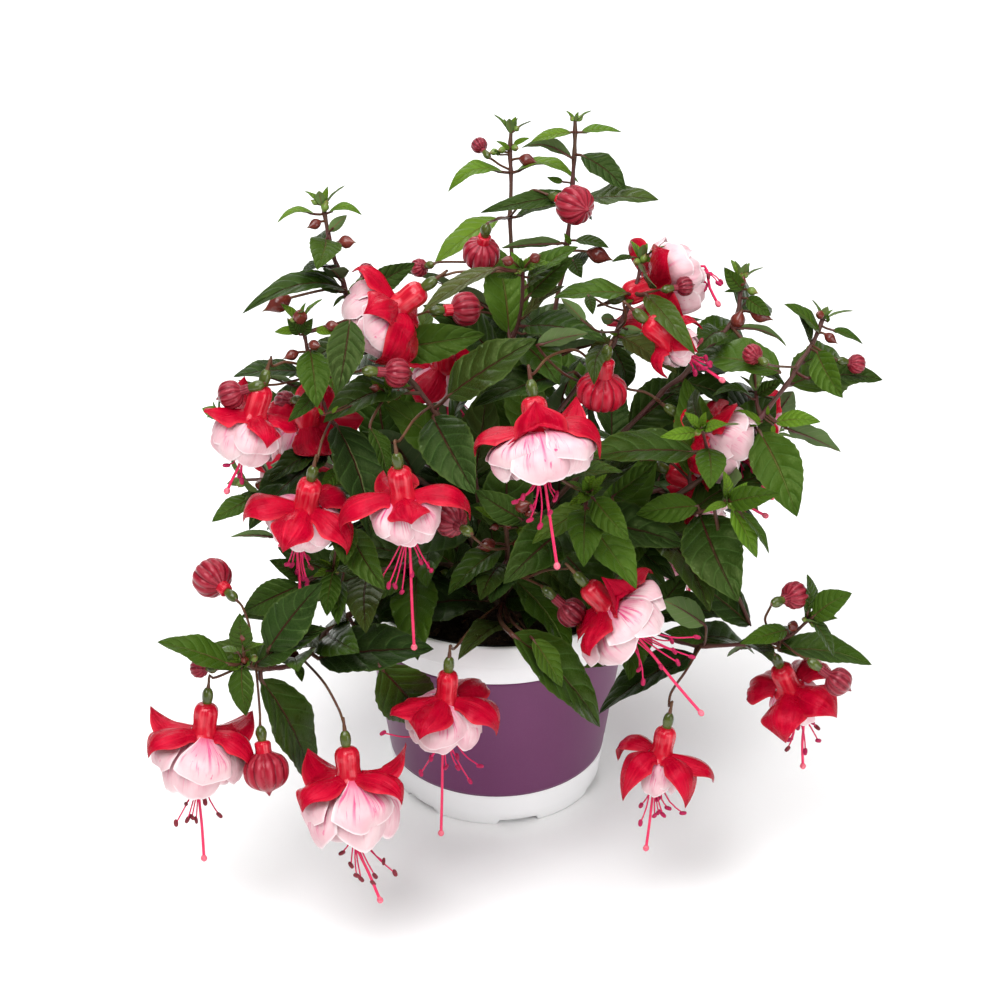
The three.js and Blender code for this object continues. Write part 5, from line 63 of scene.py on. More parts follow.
 ["branch_top_right",[[[[31.1,28.0,292.1],[31.1,26.2,284.2],[30.8,24.3,276.3],[30.4,22.7,269.6],[30.1,21.4,263.7],[29.3,19.0,253.3],[28.2,16.7,243.7],[27.4,14.6,234.5],[24.7,11.9,223.2],[22.7,9.1,211.1],[21.6,8.0,206.2],[16.9,4.3,185.2],[13.1,2.6,164.4],[10.1,2.1,142.8],[7.6,2.1,119.6],[5.3,1.7,94.0]],0.7,1.3]],[[[30.0,17.2,264.4],[-6.5,6.0,262.1],[0.09,-0.47,0.88],8.5,0.07,[30.0,21.1,262.6],"m"],[[29.5,24.9,288.3],[13.6,19.7,286.5],[-0.07,-0.13,0.99],7.1,0.07,[31.1,26.9,287.4],"y"],[[33.4,24.4,288.5],[49.7,27.5,287.0],[0.1,-0.02,1.0],7.0,0.07,[31.1,26.9,287.4],"y"],[[29.9,23.0,277.9],[9.7,20.2,283.6],[0.01,0.89,0.45],7.6,0.2,[30.8,24.5,277.1],"u"],[[33.5,22.2,279.6],[51.1,10.5,269.9],[0.17,-0.46,0.87],11.6,0.07,[30.9,24.9,278.7],"m"],[[34.0,17.0,262.3],[64.2,8.9,266.3],[-0.13,0.01,0.99],15.7,0.07,[29.8,20.6,260.6],"m"],[[34.0,16.4,260.4],[37.9,12.0,255.9],[-0.16,-0.77,0.62],3.2,0.07,[29.7,20.2,258.5],"m"],[[26.4,18.8,269.4],[20.0,18.2,271.8],[0.22,-0.91,0.36],2.8,0.07,[30.3,22.2,267.2],"g"],[[31.3,14.0,246.0],[44.8,9.1,245.0],[0.02,-0.16,0.99],7.2,0.07,[28.3,17.0,244.7],"g"],[[29.7,14.5,244.0],[26.9,14.7,248.8],[0.18,-0.97,0.15],2.4,0.07,[28.1,16.5,242.8],"y"],[[26.1,14.3,244.6],[1.8,8.0,245.5],[-0.21,0.89,0.4],6.4,0.07,[28.1,16.5,242.8],"u"],[[28.6,13.7,236.3],[37.7,24.5,234.8],[0.77,-0.62,0.17],6.2,0.07,[27.5,14.8,235.4],"m"],[[30.6,12.1,238.0],[33.9,0.2,236.2],[-0.36,-0.24,0.9],6.4,0.07,[27.6,15.0,236.4],"m"],[[24.1,5.9,209.2],[41.5,-15.8,218.6],[0.26,0.55,0.79],14.7,0.09,[22.0,8.5,208.2],"m"],[[11.5,0.8,156.2],[10.0,-18.3,187.8],[0.59,0.68,0.44],16.6,0.13,[11.6,2.4,153.6],"m"],[[17.2,2.1,161.9],[51.4,-1.0,159.0],[0.1,0.17,0.98],17.7,0.13,[12.8,2.5,162.2],"m"],[[18.2,10.5,202.7],[-3.4,38.8,209.2],[0.43,0.13,0.89],17.0,0.14,[20.6,7.3,202.0],"m"],[[22.0,4.8,196.8],[55.7,-11.5,210.4],[-0.03,0.61,0.79],19.5,0.11,[19.2,6.1,195.7],"m"]],[[[40.5,10.0,241.4],[0.9,-0.42,-0.15],7.4,[27.9,15.9,240.0],"p"]]],
 ["branch_centre_short",[[[[10.3,-28.0,254.5],[10.0,-21.7,237.1],[8.5,-17.2,224.4],[6.2,-14.0,215.9],[1.7,-8.0,193.9],[-0.3,-5.6,171.3],[-0.8,-5.3,147.5],[-0.8,-5.8,122.0],[-1.2,-5.5,94.0]],0.6,1.0]],[[[8.8,-28.8,252.7],[0.2,-31.0,253.0],[0.17,-0.53,0.83],4.4,0.07,[10.3,-26.7,251.0],"g"],[[12.3,-29.1,252.0],[25.0,-29.8,258.5],[-0.46,-0.13,0.88],7.2,0.07,[10.3,-26.7,251.0],"g"],[[9.9,-29.2,255.2],[9.5,-28.1,260.2],[0.01,-0.97,0.23],1.9,0.07,[10.3,-28.0,254.5],"g"],[[10.4,-20.5,229.3],[26.8,-19.5,243.0],[-0.64,-0.08,0.77],9.5,0.07,[9.0,-18.5,228.2],"o"],[[0.2,-35.5,259.3],[-28.5,-51.6,248.3],[-0.35,-0.01,0.93],12.7,0.07,[10.3,-28.0,254.5],"o"],[[10.1,-18.7,221.2],[25.4,-20.8,225.9],[0.09,0.98,0.16],7.8,0.07,[7.6,-15.9,221.0],"u"],[[11.4,-19.0,224.8],[42.5,-38.7,228.6],[-0.19,-0.12,0.97],18.3,0.11,[8.5,-17.2,224.4],"m"],[[4.9,-10.3,216.8],[-1.9,16.8,242.9],[0.22,-0.65,0.73],18.3,0.12,[5.7,-13.4,213.7],"g"],[[8.1,-18.1,217.7],[24.2,-54.8,218.5],[-0.02,0.01,1.0],19.0,0.07,[6.6,-14.6,217.6],"m"],[[12.5,-21.3,239.4],[30.0,-18.5,255.3],[-0.34,-0.79,0.51],10.8,0.09,[10.0,-21.7,237.1],"m"],[[0.2,-10.9,205.7],[-29.1,-15.3,232.3],[0.62,-0.52,0.59],18.3,0.1,[3.5,-10.4,202.7],"m"],[[12.1,-24.1,245.7],[31.9,-22.9,262.0],[-0.59,-0.33,0.74],12.2,0.13,[10.1,-24.2,244.1],"g"]],[[[4.5,-32.1,260.6],[-0.73,-0.51,0.46],4.4,[10.3,-28.0,254.5],"r"],[[14.9,-32.0,261.8],[0.58,-0.51,0.63],4.4,[10.3,-28.0,254.5],"p"]]],
 ["branch_right_tall",[[[[56.7,-12.0,251.4],[56.3,-13.8,247.1],[53.6,-17.5,238.0],[50.5,-20.4,231.5],[47.4,-23.4,224.7],[46.2,-25.1,220.7],[36.8,-30.6,210.7],[30.9,-34.0,204.5],[19.0,-37.1,187.4],[12.0,-31.8,167.6],[8.0,-22.0,145.3],[5.5,-11.8,120.7],[2.6,-5.0,94.0]],0.7,1.3]],[[[30.4,-36.0,213.7],[-9.1,-52.1,207.1],[-0.13,-0.09,0.99],21.6,0.07,[34.4,-31.9,208.2],"m"],[[53.4,-15.0,253.5],[45.1,-17.6,252.6],[-0.08,-0.07,0.99],4.3,0.07,[56.7,-12.0,251.4],"m"],[[57.4,-13.7,251.9],[62.8,-15.7,251.6],[-0.19,-0.63,0.75],2.1,0.07,[56.6,-12.2,251.0],"g"],[[56.8,-18.4,251.7],[62.2,-33.6,249.6],[-0.89,-0.26,-0.36],10.1,0.07,[56.4,-13.1,248.8],"m"],[[51.5,-19.9,240.1],[22.1,-26.9,241.6],[0.06,-0.04,1.0],15.2,0.07,[53.6,-17.5,238.0],"g"],[[58.4,-25.0,242.0],[75.5,-69.8,240.0],[-0.14,-0.1,0.99],10.4,0.07,[53.9,-17.2,238.9],"g"],[[49.3,-26.5,224.1],[70.5,-40.1,215.1],[0.2,-0.31,0.93],12.9,0.07,[47.0,-23.9,223.5],"o"],[[45.4,-26.4,222.7],[35.5,-30.9,219.8],[0.2,-0.8,0.56],5.5,0.07,[46.5,-24.8,221.5],"o"],[[45.7,-18.3,216.1],[52.2,7.8,180.9],[0.44,-0.76,-0.48],10.1,0.07,[45.3,-25.6,219.7],"m"],[[42.5,-31.7,223.4],[37.4,-67.0,225.3],[-0.12,0.07,0.99],8.4,0.07,[44.3,-26.2,218.7],"m"],[[47.7,-25.2,224.3],[43.8,-25.4,225.8],[0.2,-0.89,0.41],1.6,0.07,[47.2,-23.8,223.9],"y"],[[47.8,-23.5,223.4],[51.3,-25.3,223.9],[-0.47,-0.85,0.23],1.6,0.07,[47.2,-23.8,223.9],"y"],[[53.5,-20.4,237.3],[49.1,-26.1,237.7],[0.09,-0.01,1.0],2.3,0.07,[53.0,-18.1,236.7],"y"],[[15.5,-67.2,242.9],[34.7,-69.8,249.5],[0.02,0.95,0.33],9.8,0.07,[33.3,-32.6,207.0],"u"],[[33.8,-59.8,248.8],[24.6,-58.2,258.3],[0.38,0.9,0.22],6.4,0.07,[47.4,-23.4,224.7],"u"],[[35.0,-52.5,256.6],[36.8,-60.0,252.0],[-0.14,-0.55,0.83],4.6,0.07,[50.8,-20.1,232.2],"m"],[[46.5,-24.5,230.6],[40.8,-30.7,235.3],[-0.78,0.61,-0.14],4.7,0.07,[48.9,-21.9,228.1],"u"],[[49.7,-24.5,227.1],[57.0,-27.0,227.1],[0.28,0.83,-0.49],3.5,0.07,[48.3,-22.5,226.7],"u"],[[13.8,-33.3,179.0],[2.8,-25.7,218.6],[0.55,-0.77,0.3],18.6,0.06,[14.8,-33.9,175.5],"g"],[[11.9,-30.6,173.9],[-2.9,-7.2,197.8],[0.32,-0.57,0.76],18.7,0.12,[13.4,-32.9,171.6],"g"]],[[[55.0,-15.1,251.3],[-0.51,-0.82,0.27],3.2,[56.5,-12.7,249.7],"g"],[[57.7,-14.5,252.3],[0.29,0.0,0.96],3.2,[56.6,-12.2,251.0],"g"]]],
 ["branch_right",[[[[97.9,6.0,233.2],[97.1,2.4,226.1],[96.4,-0.1,221.1],[93.2,-2.9,216.7],[85.1,-8.2,209.6],[79.1,-12.0,204.9],[73.9,-15.6,200.0],[67.9,-18.8,197.3],[63.1,-22.0,193.1],[48.2,-26.9,178.5],[35.0,-23.7,161.4],[23.3,-15.9,141.8],[13.4,-7.5,119.3],[5.2,-2.1,94.0]],0.7,1.2]],[[[98.2,2.3,229.7],[90.3,1.7,240.3],[0.23,-0.97,0.12],6.8,0.07,[97.4,3.8,228.9],"g"],[[96.2,1.8,229.5],[90.5,0.6,229.7],[0.1,-0.36,0.93],2.1,0.07,[97.4,3.5,228.2],"g"],[[99.7,-0.4,227.5],[108.8,-9.4,224.3],[-0.41,-0.64,0.64],6.8,0.07,[97.1,2.4,226.1],"g"],[[89.6,-9.1,216.9],[78.5,-38.9,225.2],[0.44,0.08,0.9],10.8,0.07,[90.0,-5.0,213.8],"m"],[[95.2,-2.5,215.6],[83.9,-7.2,211.3],[-0.05,-0.61,0.79],5.1,0.07,[93.5,-2.6,217.1],"g"],[[95.0,-5.3,216.7],[115.2,-15.3,213.5],[0.46,0.83,0.32],4.5,0.2,[93.2,-2.9,216.7],"u"],[[111.0,-36.4,213.9],[75.7,-21.6,212.0],[-0.08,-0.07,0.99],23.8,0.07,[93.2,-2.9,216.7],"g"],[[81.3,-8.0,204.8],[98.3,30.0,199.4],[0.53,-0.11,0.84],20.1,0.06,[79.7,-11.6,205.4],"g"],[[67.8,-17.6,194.5],[87.3,8.4,182.9],[0.54,-0.03,0.84],16.7,0.14,[65.9,-20.1,195.6],"m"],[[75.5,-15.8,197.9],[105.7,-10.7,180.8],[0.51,-0.16,0.85],15.7,0.06,[72.7,-16.2,199.5],"m"],[[96.9,2.7,220.6],[103.8,46.8,203.0],[0.69,0.17,0.7],22.0,0.1,[96.4,0.1,221.6],"m"],[[52.8,-23.9,181.5],[79.0,8.8,182.9],[0.48,-0.42,0.77],19.6,0.1,[51.2,-26.0,181.4],"m"],[[84.5,-10.1,206.2],[116.4,-10.4,192.0],[0.4,-0.09,0.91],16.0,0.14,[82.1,-10.1,207.2],"m"],[[76.8,-11.4,200.2],[87.1,24.7,176.4],[0.5,0.37,0.78],22.3,0.13,[76.0,-14.2,202.0],"m"]],[[[97.7,3.2,232.8],[0.29,0.0,0.96],3.8,[97.7,5.3,231.7],"r"],[[101.7,0.5,230.2],[0.78,-0.62,-0.01],3.6,[97.4,3.8,228.9],"g"],[[96.2,-3.8,219.4],[0.29,0.0,0.96],6.2,[95.1,-1.2,219.3],"r"],[[104.8,-4.8,222.2],[0.87,-0.48,-0.13],6.6,[96.4,-0.1,221.1],"r"]]],
 ["branch_far_right",[[[[129.2,-12.0,224.8],[127.2,-14.7,219.9],[124.1,-18.0,214.5],[119.3,-21.8,209.0],[116.9,-24.3,204.9],[110.9,-28.9,198.4],[104.2,-33.9,191.7],[96.2,-39.3,184.8],[91.0,-43.2,179.3],[83.4,-47.8,174.7],[76.3,-52.0,170.8],[59.6,-54.3,160.7],[44.5,-44.5,148.9],[31.3,-28.6,134.5],[20.0,-12.4,116.5],[10.9,-1.5,94.0]],0.7,1.4],[[[102.9,-24.0,198.8],[103.2,-28.9,194.8],[104.8,-33.4,192.3]],0.5,0.78],[[[79.3,-66.0,205.7],[81.6,-58.3,193.6],[84.8,-47.0,175.5]],0.5,0.78]],[[[127.9,-16.7,220.6],[113.0,-17.8,234.1],[0.67,-0.14,0.73],10.4,0.07,[127.2,-14.7,219.9],"g"],[[124.3,-18.5,217.5],[118.5,-15.2,229.6],[0.79,-0.38,0.48],6.9,0.07,[125.0,-17.0,216.2],"m"],[[132.8,-17.7,222.5],[144.9,-18.5,216.6],[0.43,-0.14,0.89],6.7,0.07,[128.2,-13.4,222.4],"g"],[[131.0,-14.8,224.5],[130.9,-14.7,227.6],[-0.08,-1.0,0.02],1.6,0.07,[129.0,-12.3,224.3],"g"],[[126.5,-22.7,215.3],[135.5,-43.2,206.1],[-0.59,-0.53,0.61],12.5,0.07,[124.1,-18.0,214.5],"g"],[[122.9,-27.8,206.4],[153.0,-24.0,203.4],[0.13,-0.22,0.97],15.2,0.07,[118.1,-23.1,206.9],"m"],[[101.5,-28.8,197.5],[84.7,-31.3,199.8],[0.13,0.05,0.99],7.8,0.25,[103.1,-26.9,196.4],"g"],[[104.8,-36.5,191.4],[86.8,-38.7,194.5],[0.21,-0.51,0.84],7.7,0.07,[103.4,-34.4,191.0],"y"],[[109.9,-37.4,191.9],[127.4,-42.9,195.1],[-0.29,-0.44,0.85],7.8,0.07,[105.5,-32.9,193.0],"y"],[[107.2,-34.5,193.4],[107.2,-33.4,197.3],[-0.07,-0.96,0.27],1.6,0.07,[106.2,-32.4,193.7],"y"],[[109.1,-38.0,190.9],[109.4,-41.5,187.9],[-0.1,-0.65,0.75],2.0,0.07,[104.9,-33.4,192.4],"y"],[[104.0,-38.9,188.2],[117.5,-68.1,166.8],[-0.21,-0.64,0.74],19.7,0.07,[101.8,-35.5,189.6],"g"],[[114.5,-40.2,190.8],[136.1,-41.5,180.6],[0.2,0.93,0.31],11.5,0.07,[106.2,-32.4,193.7],"u"],[[103.2,-26.7,198.1],[113.2,-27.2,205.2],[-0.48,-0.61,0.63],6.1,0.07,[103.0,-25.5,197.6],"m"],[[79.5,-62.8,204.3],[77.1,-38.5,206.1],[-0.94,-0.12,0.31],15.2,0.07,[79.3,-66.0,205.7],"m"],[[77.6,-63.3,202.4],[63.0,-69.6,203.8],[0.35,-0.65,0.68],5.5,0.07,[79.8,-64.5,203.3],"y"],[[81.6,-61.9,201.6],[94.6,-57.1,202.4],[-0.24,0.49,0.84],8.6,0.07,[80.0,-63.7,202.1],"y"],[[82.5,-57.1,191.6],[82.4,-77.8,185.4],[0.04,-0.29,0.96],12.2,0.07,[81.9,-57.2,191.8],"g"],[[77.3,-60.1,191.5],[30.8,-70.8,194.2],[0.08,-0.09,0.99],23.9,0.07,[82.2,-56.0,190.0],"m"],[[45.5,-54.7,167.8],[62.2,-53.2,182.0],[-0.44,-0.69,0.58],11.0,0.07,[49.0,-47.4,152.5],"g"],[[44.7,-42.5,149.7],[63.6,-36.6,178.5],[-0.12,-0.96,0.27],17.6,0.06,[43.2,-42.9,147.5],"g"],[[76.1,-49.4,174.3],[74.4,-26.2,205.5],[0.47,-0.7,0.54],19.4,0.06,[76.3,-52.0,170.8],"g"],[[42.6,-39.8,141.6],[71.3,-54.2,127.9],[0.25,-0.36,0.9],15.6,0.14,[39.2,-38.2,143.2],"m"],[[89.7,-42.9,178.4],[111.5,-14.5,190.5],[0.39,-0.6,0.7],17.6,0.11,[88.0,-45.1,177.5],"m"],[[96.5,-36.2,184.7],[101.5,7.5,183.4],[0.51,-0.03,0.86],20.6,0.1,[96.2,-39.3,184.8],"m"],[[116.4,-23.1,200.7],[139.3,13.8,180.7],[0.63,0.02,0.77],23.1,0.12,[114.5,-26.1,202.3],"g"],[[121.4,-19.6,208.7],[138.9,0.2,199.3],[0.6,-0.16,0.79],12.8,0.09,[119.8,-21.5,209.5],"g"]],[[[127.7,-14.5,227.5],[-0.44,-0.74,0.5],3.6,[129.2,-12.0,224.8],"r"],[[131.8,-18.3,219.2],[0.73,-0.58,-0.35],4.4,[127.2,-14.7,219.9],"r"],[[100.3,-30.3,218.6],[-0.17,-0.39,0.9],8,[102.9,-24.0,198.8],"r"]]],
 ["branch_front_tip",[[[[35.2,-84.0,187.3],[34.1,-70.0,171.1],[30.9,-56.5,157.0],[24.2,-43.1,144.1],[16.1,-30.5,130.4],[8.4,-19.4,114.3],[2.8,-10.6,94.0]],0.6,0.9]],[[[36.7,-86.2,190.0],[42.3,-85.0,196.4],[-0.55,-0.58,0.6],3.6,0.07,[35.2,-84.0,187.3],"y"],[[35.2,-85.0,187.9],[24.4,-85.3,192.6],[0.4,-0.05,0.92],5.9,0.07,[35.2,-84.0,187.3],"g"],[[34.8,-83.8,186.3],[27.5,-87.6,183.7],[-0.11,-0.4,0.91],3.7,0.07,[35.1,-82.6,185.7],"y"],[[37.2,-83.7,184.9],[50.7,-99.2,175.5],[-0.25,-0.66,0.71],11.5,0.07,[35.0,-81.2,184.1],"g"],[[35.6,-74.7,174.9],[13.8,-87.3,166.3],[-0.15,-0.36,0.92],13.3,0.07,[34.3,-72.8,174.4],"g"],[[24.3,-88.1,196.5],[48.1,-92.8,201.9],[-0.22,0.03,0.98],12.4,0.07,[35.2,-84.0,187.3],"g"],[[13.8,-22.9,116.9],[51.8,-35.4,110.9],[0.02,-0.39,0.92],20.0,0.06,[9.9,-21.6,117.6],"m"],[[34.4,-78.6,176.7],[33.3,-107.3,168.4],[0.2,-0.28,0.94],14.6,0.1,[34.6,-75.6,177.6],"g"],[[12.4,-29.7,129.6],[-13.4,-46.7,157.5],[0.78,-0.21,0.59],18.9,0.12,[14.6,-28.3,127.2],"m"],[[31.1,-54.4,156.6],[56.0,-63.7,190.9],[-0.81,-0.32,0.5],20.3,0.14,[29.5,-53.9,154.4],"m"],[[35.1,-70.2,167.3],[53.7,-103.5,156.1],[0.11,-0.26,0.96],19.6,0.08,[33.5,-67.3,168.3],"g"],[[13.7,-26.4,120.0],[32.7,-48.4,113.4],[0.12,-0.19,0.97],14.8,0.13,[11.5,-23.9,120.8],"g"],[[22.8,-40.8,137.2],[46.8,-76.3,119.1],[0.19,-0.34,0.92],23.4,0.1,[21.0,-38.1,138.6],"m"],[[28.9,-59.2,156.7],[2.7,-94.9,152.8],[0.3,-0.32,0.9],21.3,0.14,[30.9,-56.5,157.0],"m"],[[30.8,-51.9,151.8],[74.5,-64.4,151.0],[-0.12,-0.47,0.88],21.1,0.11,[28.2,-51.2,151.8],"m"]],[]],
 ["branch_front_right",[[[[89.8,-74.0,178.1],[84.9,-67.7,170.6],[79.9,-62.0,165.3],[66.0,-48.3,153.6],[50.3,-35.4,143.0],[34.5,-23.7,131.1],[20.3,-13.6,115.6],[9.5,-5.6,94.0]],0.6,0.9]],[[[79.1,-61.4,167.8],[55.0,-57.1,161.4],[-0.27,-0.85,0.45],11.7,0.07,[79.9,-62.0,165.3],"g"],[[89.7,-70.5,176.9],[89.3,-40.8,176.5],[0.69,-0.64,-0.34],14.1,0.07,[89.8,-74.0,178.1],"g"],[[90.5,-76.1,178.5],[107.9,-95.3,194.1],[-0.81,-0.54,0.24],9.7,0.07,[89.8,-74.0,178.1],"g"],[[90.5,-75.5,179.0],[100.3,-77.7,181.7],[-0.28,-0.1,0.95],4.4,0.07,[89.8,-74.0,178.1],"y"],[[89.3,-76.0,177.9],[79.5,-85.8,179.4],[0.29,-0.15,0.94],4.2,0.07,[89.3,-73.4,177.4],"y"],[[91.2,-77.2,176.5],[101.2,-83.5,157.5],[0.41,-0.78,0.47],9.4,0.07,[89.8,-74.0,178.1],"y"],[[94.3,-79.2,175.9],[105.8,-84.3,159.9],[0.76,-0.2,0.61],7.7,0.07,[89.8,-74.0,178.1],"g"],[[80.3,-56.8,160.8],[93.7,-94.8,144.5],[-0.21,-0.45,0.87],24.3,0.07,[79.9,-62.0,165.3],"m"],[[57.2,-43.5,150.3],[52.1,-63.7,139.5],[0.08,-0.49,0.87],12.0,0.07,[58.1,-41.8,148.3],"g"],[[41.8,-31.7,133.6],[19.5,-45.7,128.1],[0.29,-0.71,0.64],13.7,0.07,[40.8,-28.3,135.9],"m"],[[100.6,-71.7,118.7],[70.5,-66.7,141.4],[0.51,-0.38,0.77],19.0,0.07,[84.9,-67.7,170.6],"m"],[[76.6,-53.9,160.2],[119.3,-39.9,169.0],[-0.17,-0.1,0.98],23.7,0.12,[72.9,-55.1,159.5],"m"],[[57.8,-39.6,144.8],[96.0,-45.1,125.2],[0.39,-0.32,0.86],21.9,0.06,[55.0,-39.2,146.2],"m"],[[63.2,-48.1,149.2],[83.3,-87.6,135.1],[0.3,-0.18,0.94],21.9,0.08,[61.3,-44.4,150.5],"m"],[[39.9,-26.6,131.9],[69.5,-34.5,111.2],[0.52,-0.23,0.83],17.8,0.07,[37.6,-26.0,133.5],"g"],[[18.4,-13.5,114.6],[21.2,-28.7,146.8],[-0.12,0.89,0.43],16.1,0.1,[18.1,-12.0,111.2],"g"],[[28.8,-22.9,124.2],[29.3,-56.6,117.2],[0.28,-0.19,0.94],16.0,0.08,[28.8,-19.6,124.9],"m"]],[]],
 ["branch_trailing_right",[[[[123.3,-74.0,122.6],[118.6,-71.4,115.2],[113.0,-68.9,109.8],[103.4,-65.2,105.9],[94.9,-61.9,102.8],[82.4,-57.2,99.2],[74.9,-54.3,99.2],[62.1,-49.3,101.7],[54.8,-46.0,105.8],[48.3,-42.1,108.9],[39.4,-35.7,109.5],[29.6,-27.9,108.1],[20.1,-20.1,104.8],[12.0,-13.3,100.0],[6.6,-8.8,94.0]],0.6,1.3]],[[[122.8,-77.2,128.5],[121.8,-74.9,144.7],[0.75,-0.65,0.14],8.4,0.07,[123.3,-74.0,122.6],"g"],[[124.6,-79.2,127.4],[139.2,-81.7,140.2],[-0.6,-0.56,0.57],12.1,0.07,[123.3,-74.0,122.6],"g"],[[115.2,-74.0,117.9],[95.6,-88.7,121.0],[0.44,-0.42,0.79],8.2,0.07,[116.4,-70.4,113.0],"g"],[[118.3,-70.5,114.2],[93.4,-52.4,90.7],[0.24,0.05,0.97],17.0,0.07,[118.1,-71.1,114.7],"m"],[[112.5,-72.0,107.0],[150.2,-70.0,98.6],[0.22,-0.02,0.98],19.3,0.07,[112.1,-68.5,109.4],"g"],[[124.3,-75.8,124.2],[133.6,-81.0,109.7],[0.75,-0.3,0.59],9.0,0.07,[123.3,-74.0,122.6],"g"],[[79.9,-59.9,97.1],[40.9,-82.0,83.0],[-0.32,-0.04,0.95],23.5,0.07,[80.9,-56.6,99.2],"m"],[[83.7,-60.1,104.0],[67.1,-61.3,108.6],[0.27,-0.42,0.87],8.6,0.07,[83.6,-57.7,99.5],"g"],[[50.7,-85.4,111.2],[34.5,-90.2,110.6],[-0.01,-0.09,1.0],8.5,0.07,[61.3,-48.9,102.1],"g"],[[63.7,-53.7,113.2],[76.5,-51.8,131.0],[-0.26,-0.92,0.29],11.2,0.07,[59.9,-48.3,102.9],"m"],[[83.3,-63.9,113.6],[66.0,-67.8,128.0],[-0.41,0.88,-0.25],11.2,0.07,[83.6,-57.7,99.5],"u"],[[100.8,-66.6,105.6],[108.1,-91.6,114.5],[0.09,0.36,0.93],12.1,0.09,[100.0,-63.9,104.6],"m"],[[43.7,-40.7,112.7],[48.9,-60.1,139.6],[0.97,0.26,-0.01],16.5,0.06,[43.0,-38.2,109.3],"g"],[[58.8,-45.6,105.6],[97.2,-41.6,103.0],[0.09,-0.26,0.96],17.3,0.1,[54.8,-46.0,105.8],"m"],[[76.6,-52.0,97.6],[106.1,-33.9,79.8],[0.44,0.15,0.88],18.8,0.12,[73.6,-53.8,99.4],"m"],[[51.0,-47.1,107.3],[52.4,-88.3,103.4],[0.45,-0.07,0.89],20.2,0.09,[50.9,-43.7,107.6],"g"],[[112.2,-66.6,106.4],[138.1,-63.8,96.9],[0.34,0.0,0.94],13.4,0.09,[108.2,-67.0,107.8],"m"],[[17.7,-22.3,103.6],[12.6,-48.8,102.0],[0.02,-0.06,1.0],14.0,0.1,[18.4,-18.7,103.8],"m"],[[43.4,-34.8,108.8],[77.0,-27.2,103.1],[0.2,-0.18,0.96],16.3,0.11,[39.4,-35.7,109.5],"m"]],[[[117.4,-74.3,120.0],[-0.4,-0.64,0.66],4.6,[119.1,-71.7,116.0],"r"]]],
 ["branch_front_centre",[[[[3.4,-62.0,161.7],[4.2,-54.0,146.5],[4.2,-41.9,123.4],[3.4,-35.4,110.5],[2.6,-32.0,104.0],[0.5,-21.4,101.0],[-1.5,-10.9,94.0]],0.7,1.1]],[[[1.4,-64.2,163.0],[-8.8,-64.1,168.9],[0.41,-0.55,0.73],4.9,0.07,[3.4,-62.0,161.7],"y"],[[8.1,-62.6,158.8],[14.7,-68.7,154.2],[-0.19,-0.72,0.67],4.3,0.07,[3.7,-58.8,155.6],"y"],[[2.2,-53.8,143.6],[-19.2,-70.1,131.9],[-0.3,-0.26,0.92],14.7,0.07,[4.2,-51.6,141.9],"g"],[[1.4,-43.3,122.8],[-10.7,-47.5,122.1],[0.03,-0.25,0.97],6.4,0.07,[4.1,-40.6,120.8],"m"],[[6.2,-43.6,123.0],[29.4,-69.9,102.3],[0.5,-0.22,0.84],20.3,0.07,[4.1,-41.3,122.1],"g"],[[6.1,-93.3,128.6],[41.1,-91.3,83.1],[0.72,-0.45,0.53],23.3,0.07,[2.6,-32.0,104.0],"m"],[[14.3,-94.1,126.9],[25.7,-100.2,108.4],[0.57,-0.61,0.55],11.3,0.07,[2.6,-32.0,104.0],"g"],[[6.3,-35.5,94.1],[-14.8,-111.5,128.6],[0.16,0.37,0.91],14.0,0.07,[2.6,-32.0,104.0],"m"],[[-3.5,-21.8,97.4],[-47.6,-57.2,110.7],[0.17,0.15,0.97],36.0,0.07,[-1.5,-10.9,94.0],"b"],[[10.4,-66.7,164.5],[-8.3,-66.1,177.9],[0.24,-0.9,0.37],11.7,0.07,[3.4,-61.2,160.1],"m"],[[4.2,-54.8,151.4],[5.1,-54.6,194.9],[0.03,-1.0,0.0],21.4,0.12,[4.1,-54.8,148.0],"m"],[[-0.1,-21.3,104.7],[-4.0,-30.2,147.9],[0.2,-0.96,-0.18],22.5,0.09,[0.3,-20.4,100.3],"m"],[[3.4,-49.5,130.5],[-2.4,-76.7,132.2],[0.19,0.02,0.98],13.9,0.11,[4.2,-45.6,130.3],"m"],[[4.4,-27.2,103.4],[28.4,-46.8,114.2],[-0.58,-0.28,0.77],15.0,0.12,[1.2,-24.6,101.9],"m"],[[2.9,-51.4,134.8],[-6.4,-76.9,133.6],[0.12,-0.09,0.99],13.5,0.11,[4.2,-48.0,134.9],"m"]],[[[10.0,-66.6,170.9],[0.65,-0.46,0.61],6,[3.4,-62.0,161.7],"r"],[[-3.7,-57.2,147.1],[-0.87,-0.48,0.06],6,[4.2,-52.8,144.2],"r"],[[9.7,-56.4,146.6],[0.83,-0.55,0.1],5.8,[4.2,-52.8,144.2],"r"],[[-0.6,-62.9,159.0],[-0.78,-0.61,0.08],3.2,[3.6,-59.6,157.1],"r"],[[4.9,-62.8,159.9],[0.49,-0.85,0.16],3,[3.5,-60.4,158.6],"r"],[[13.1,-67.1,168.0],[0.85,-0.45,0.28],4,[3.4,-62.0,161.7],"r"],[[16.5,-40.5,89.1],[0.53,-0.32,-0.78],4,[2.6,-32.0,104.0],"o"],[[-21.2,-19.3,110.4],[-0.84,-0.36,0.41],3,[-1.5,-10.9,94.0],"g"]]],
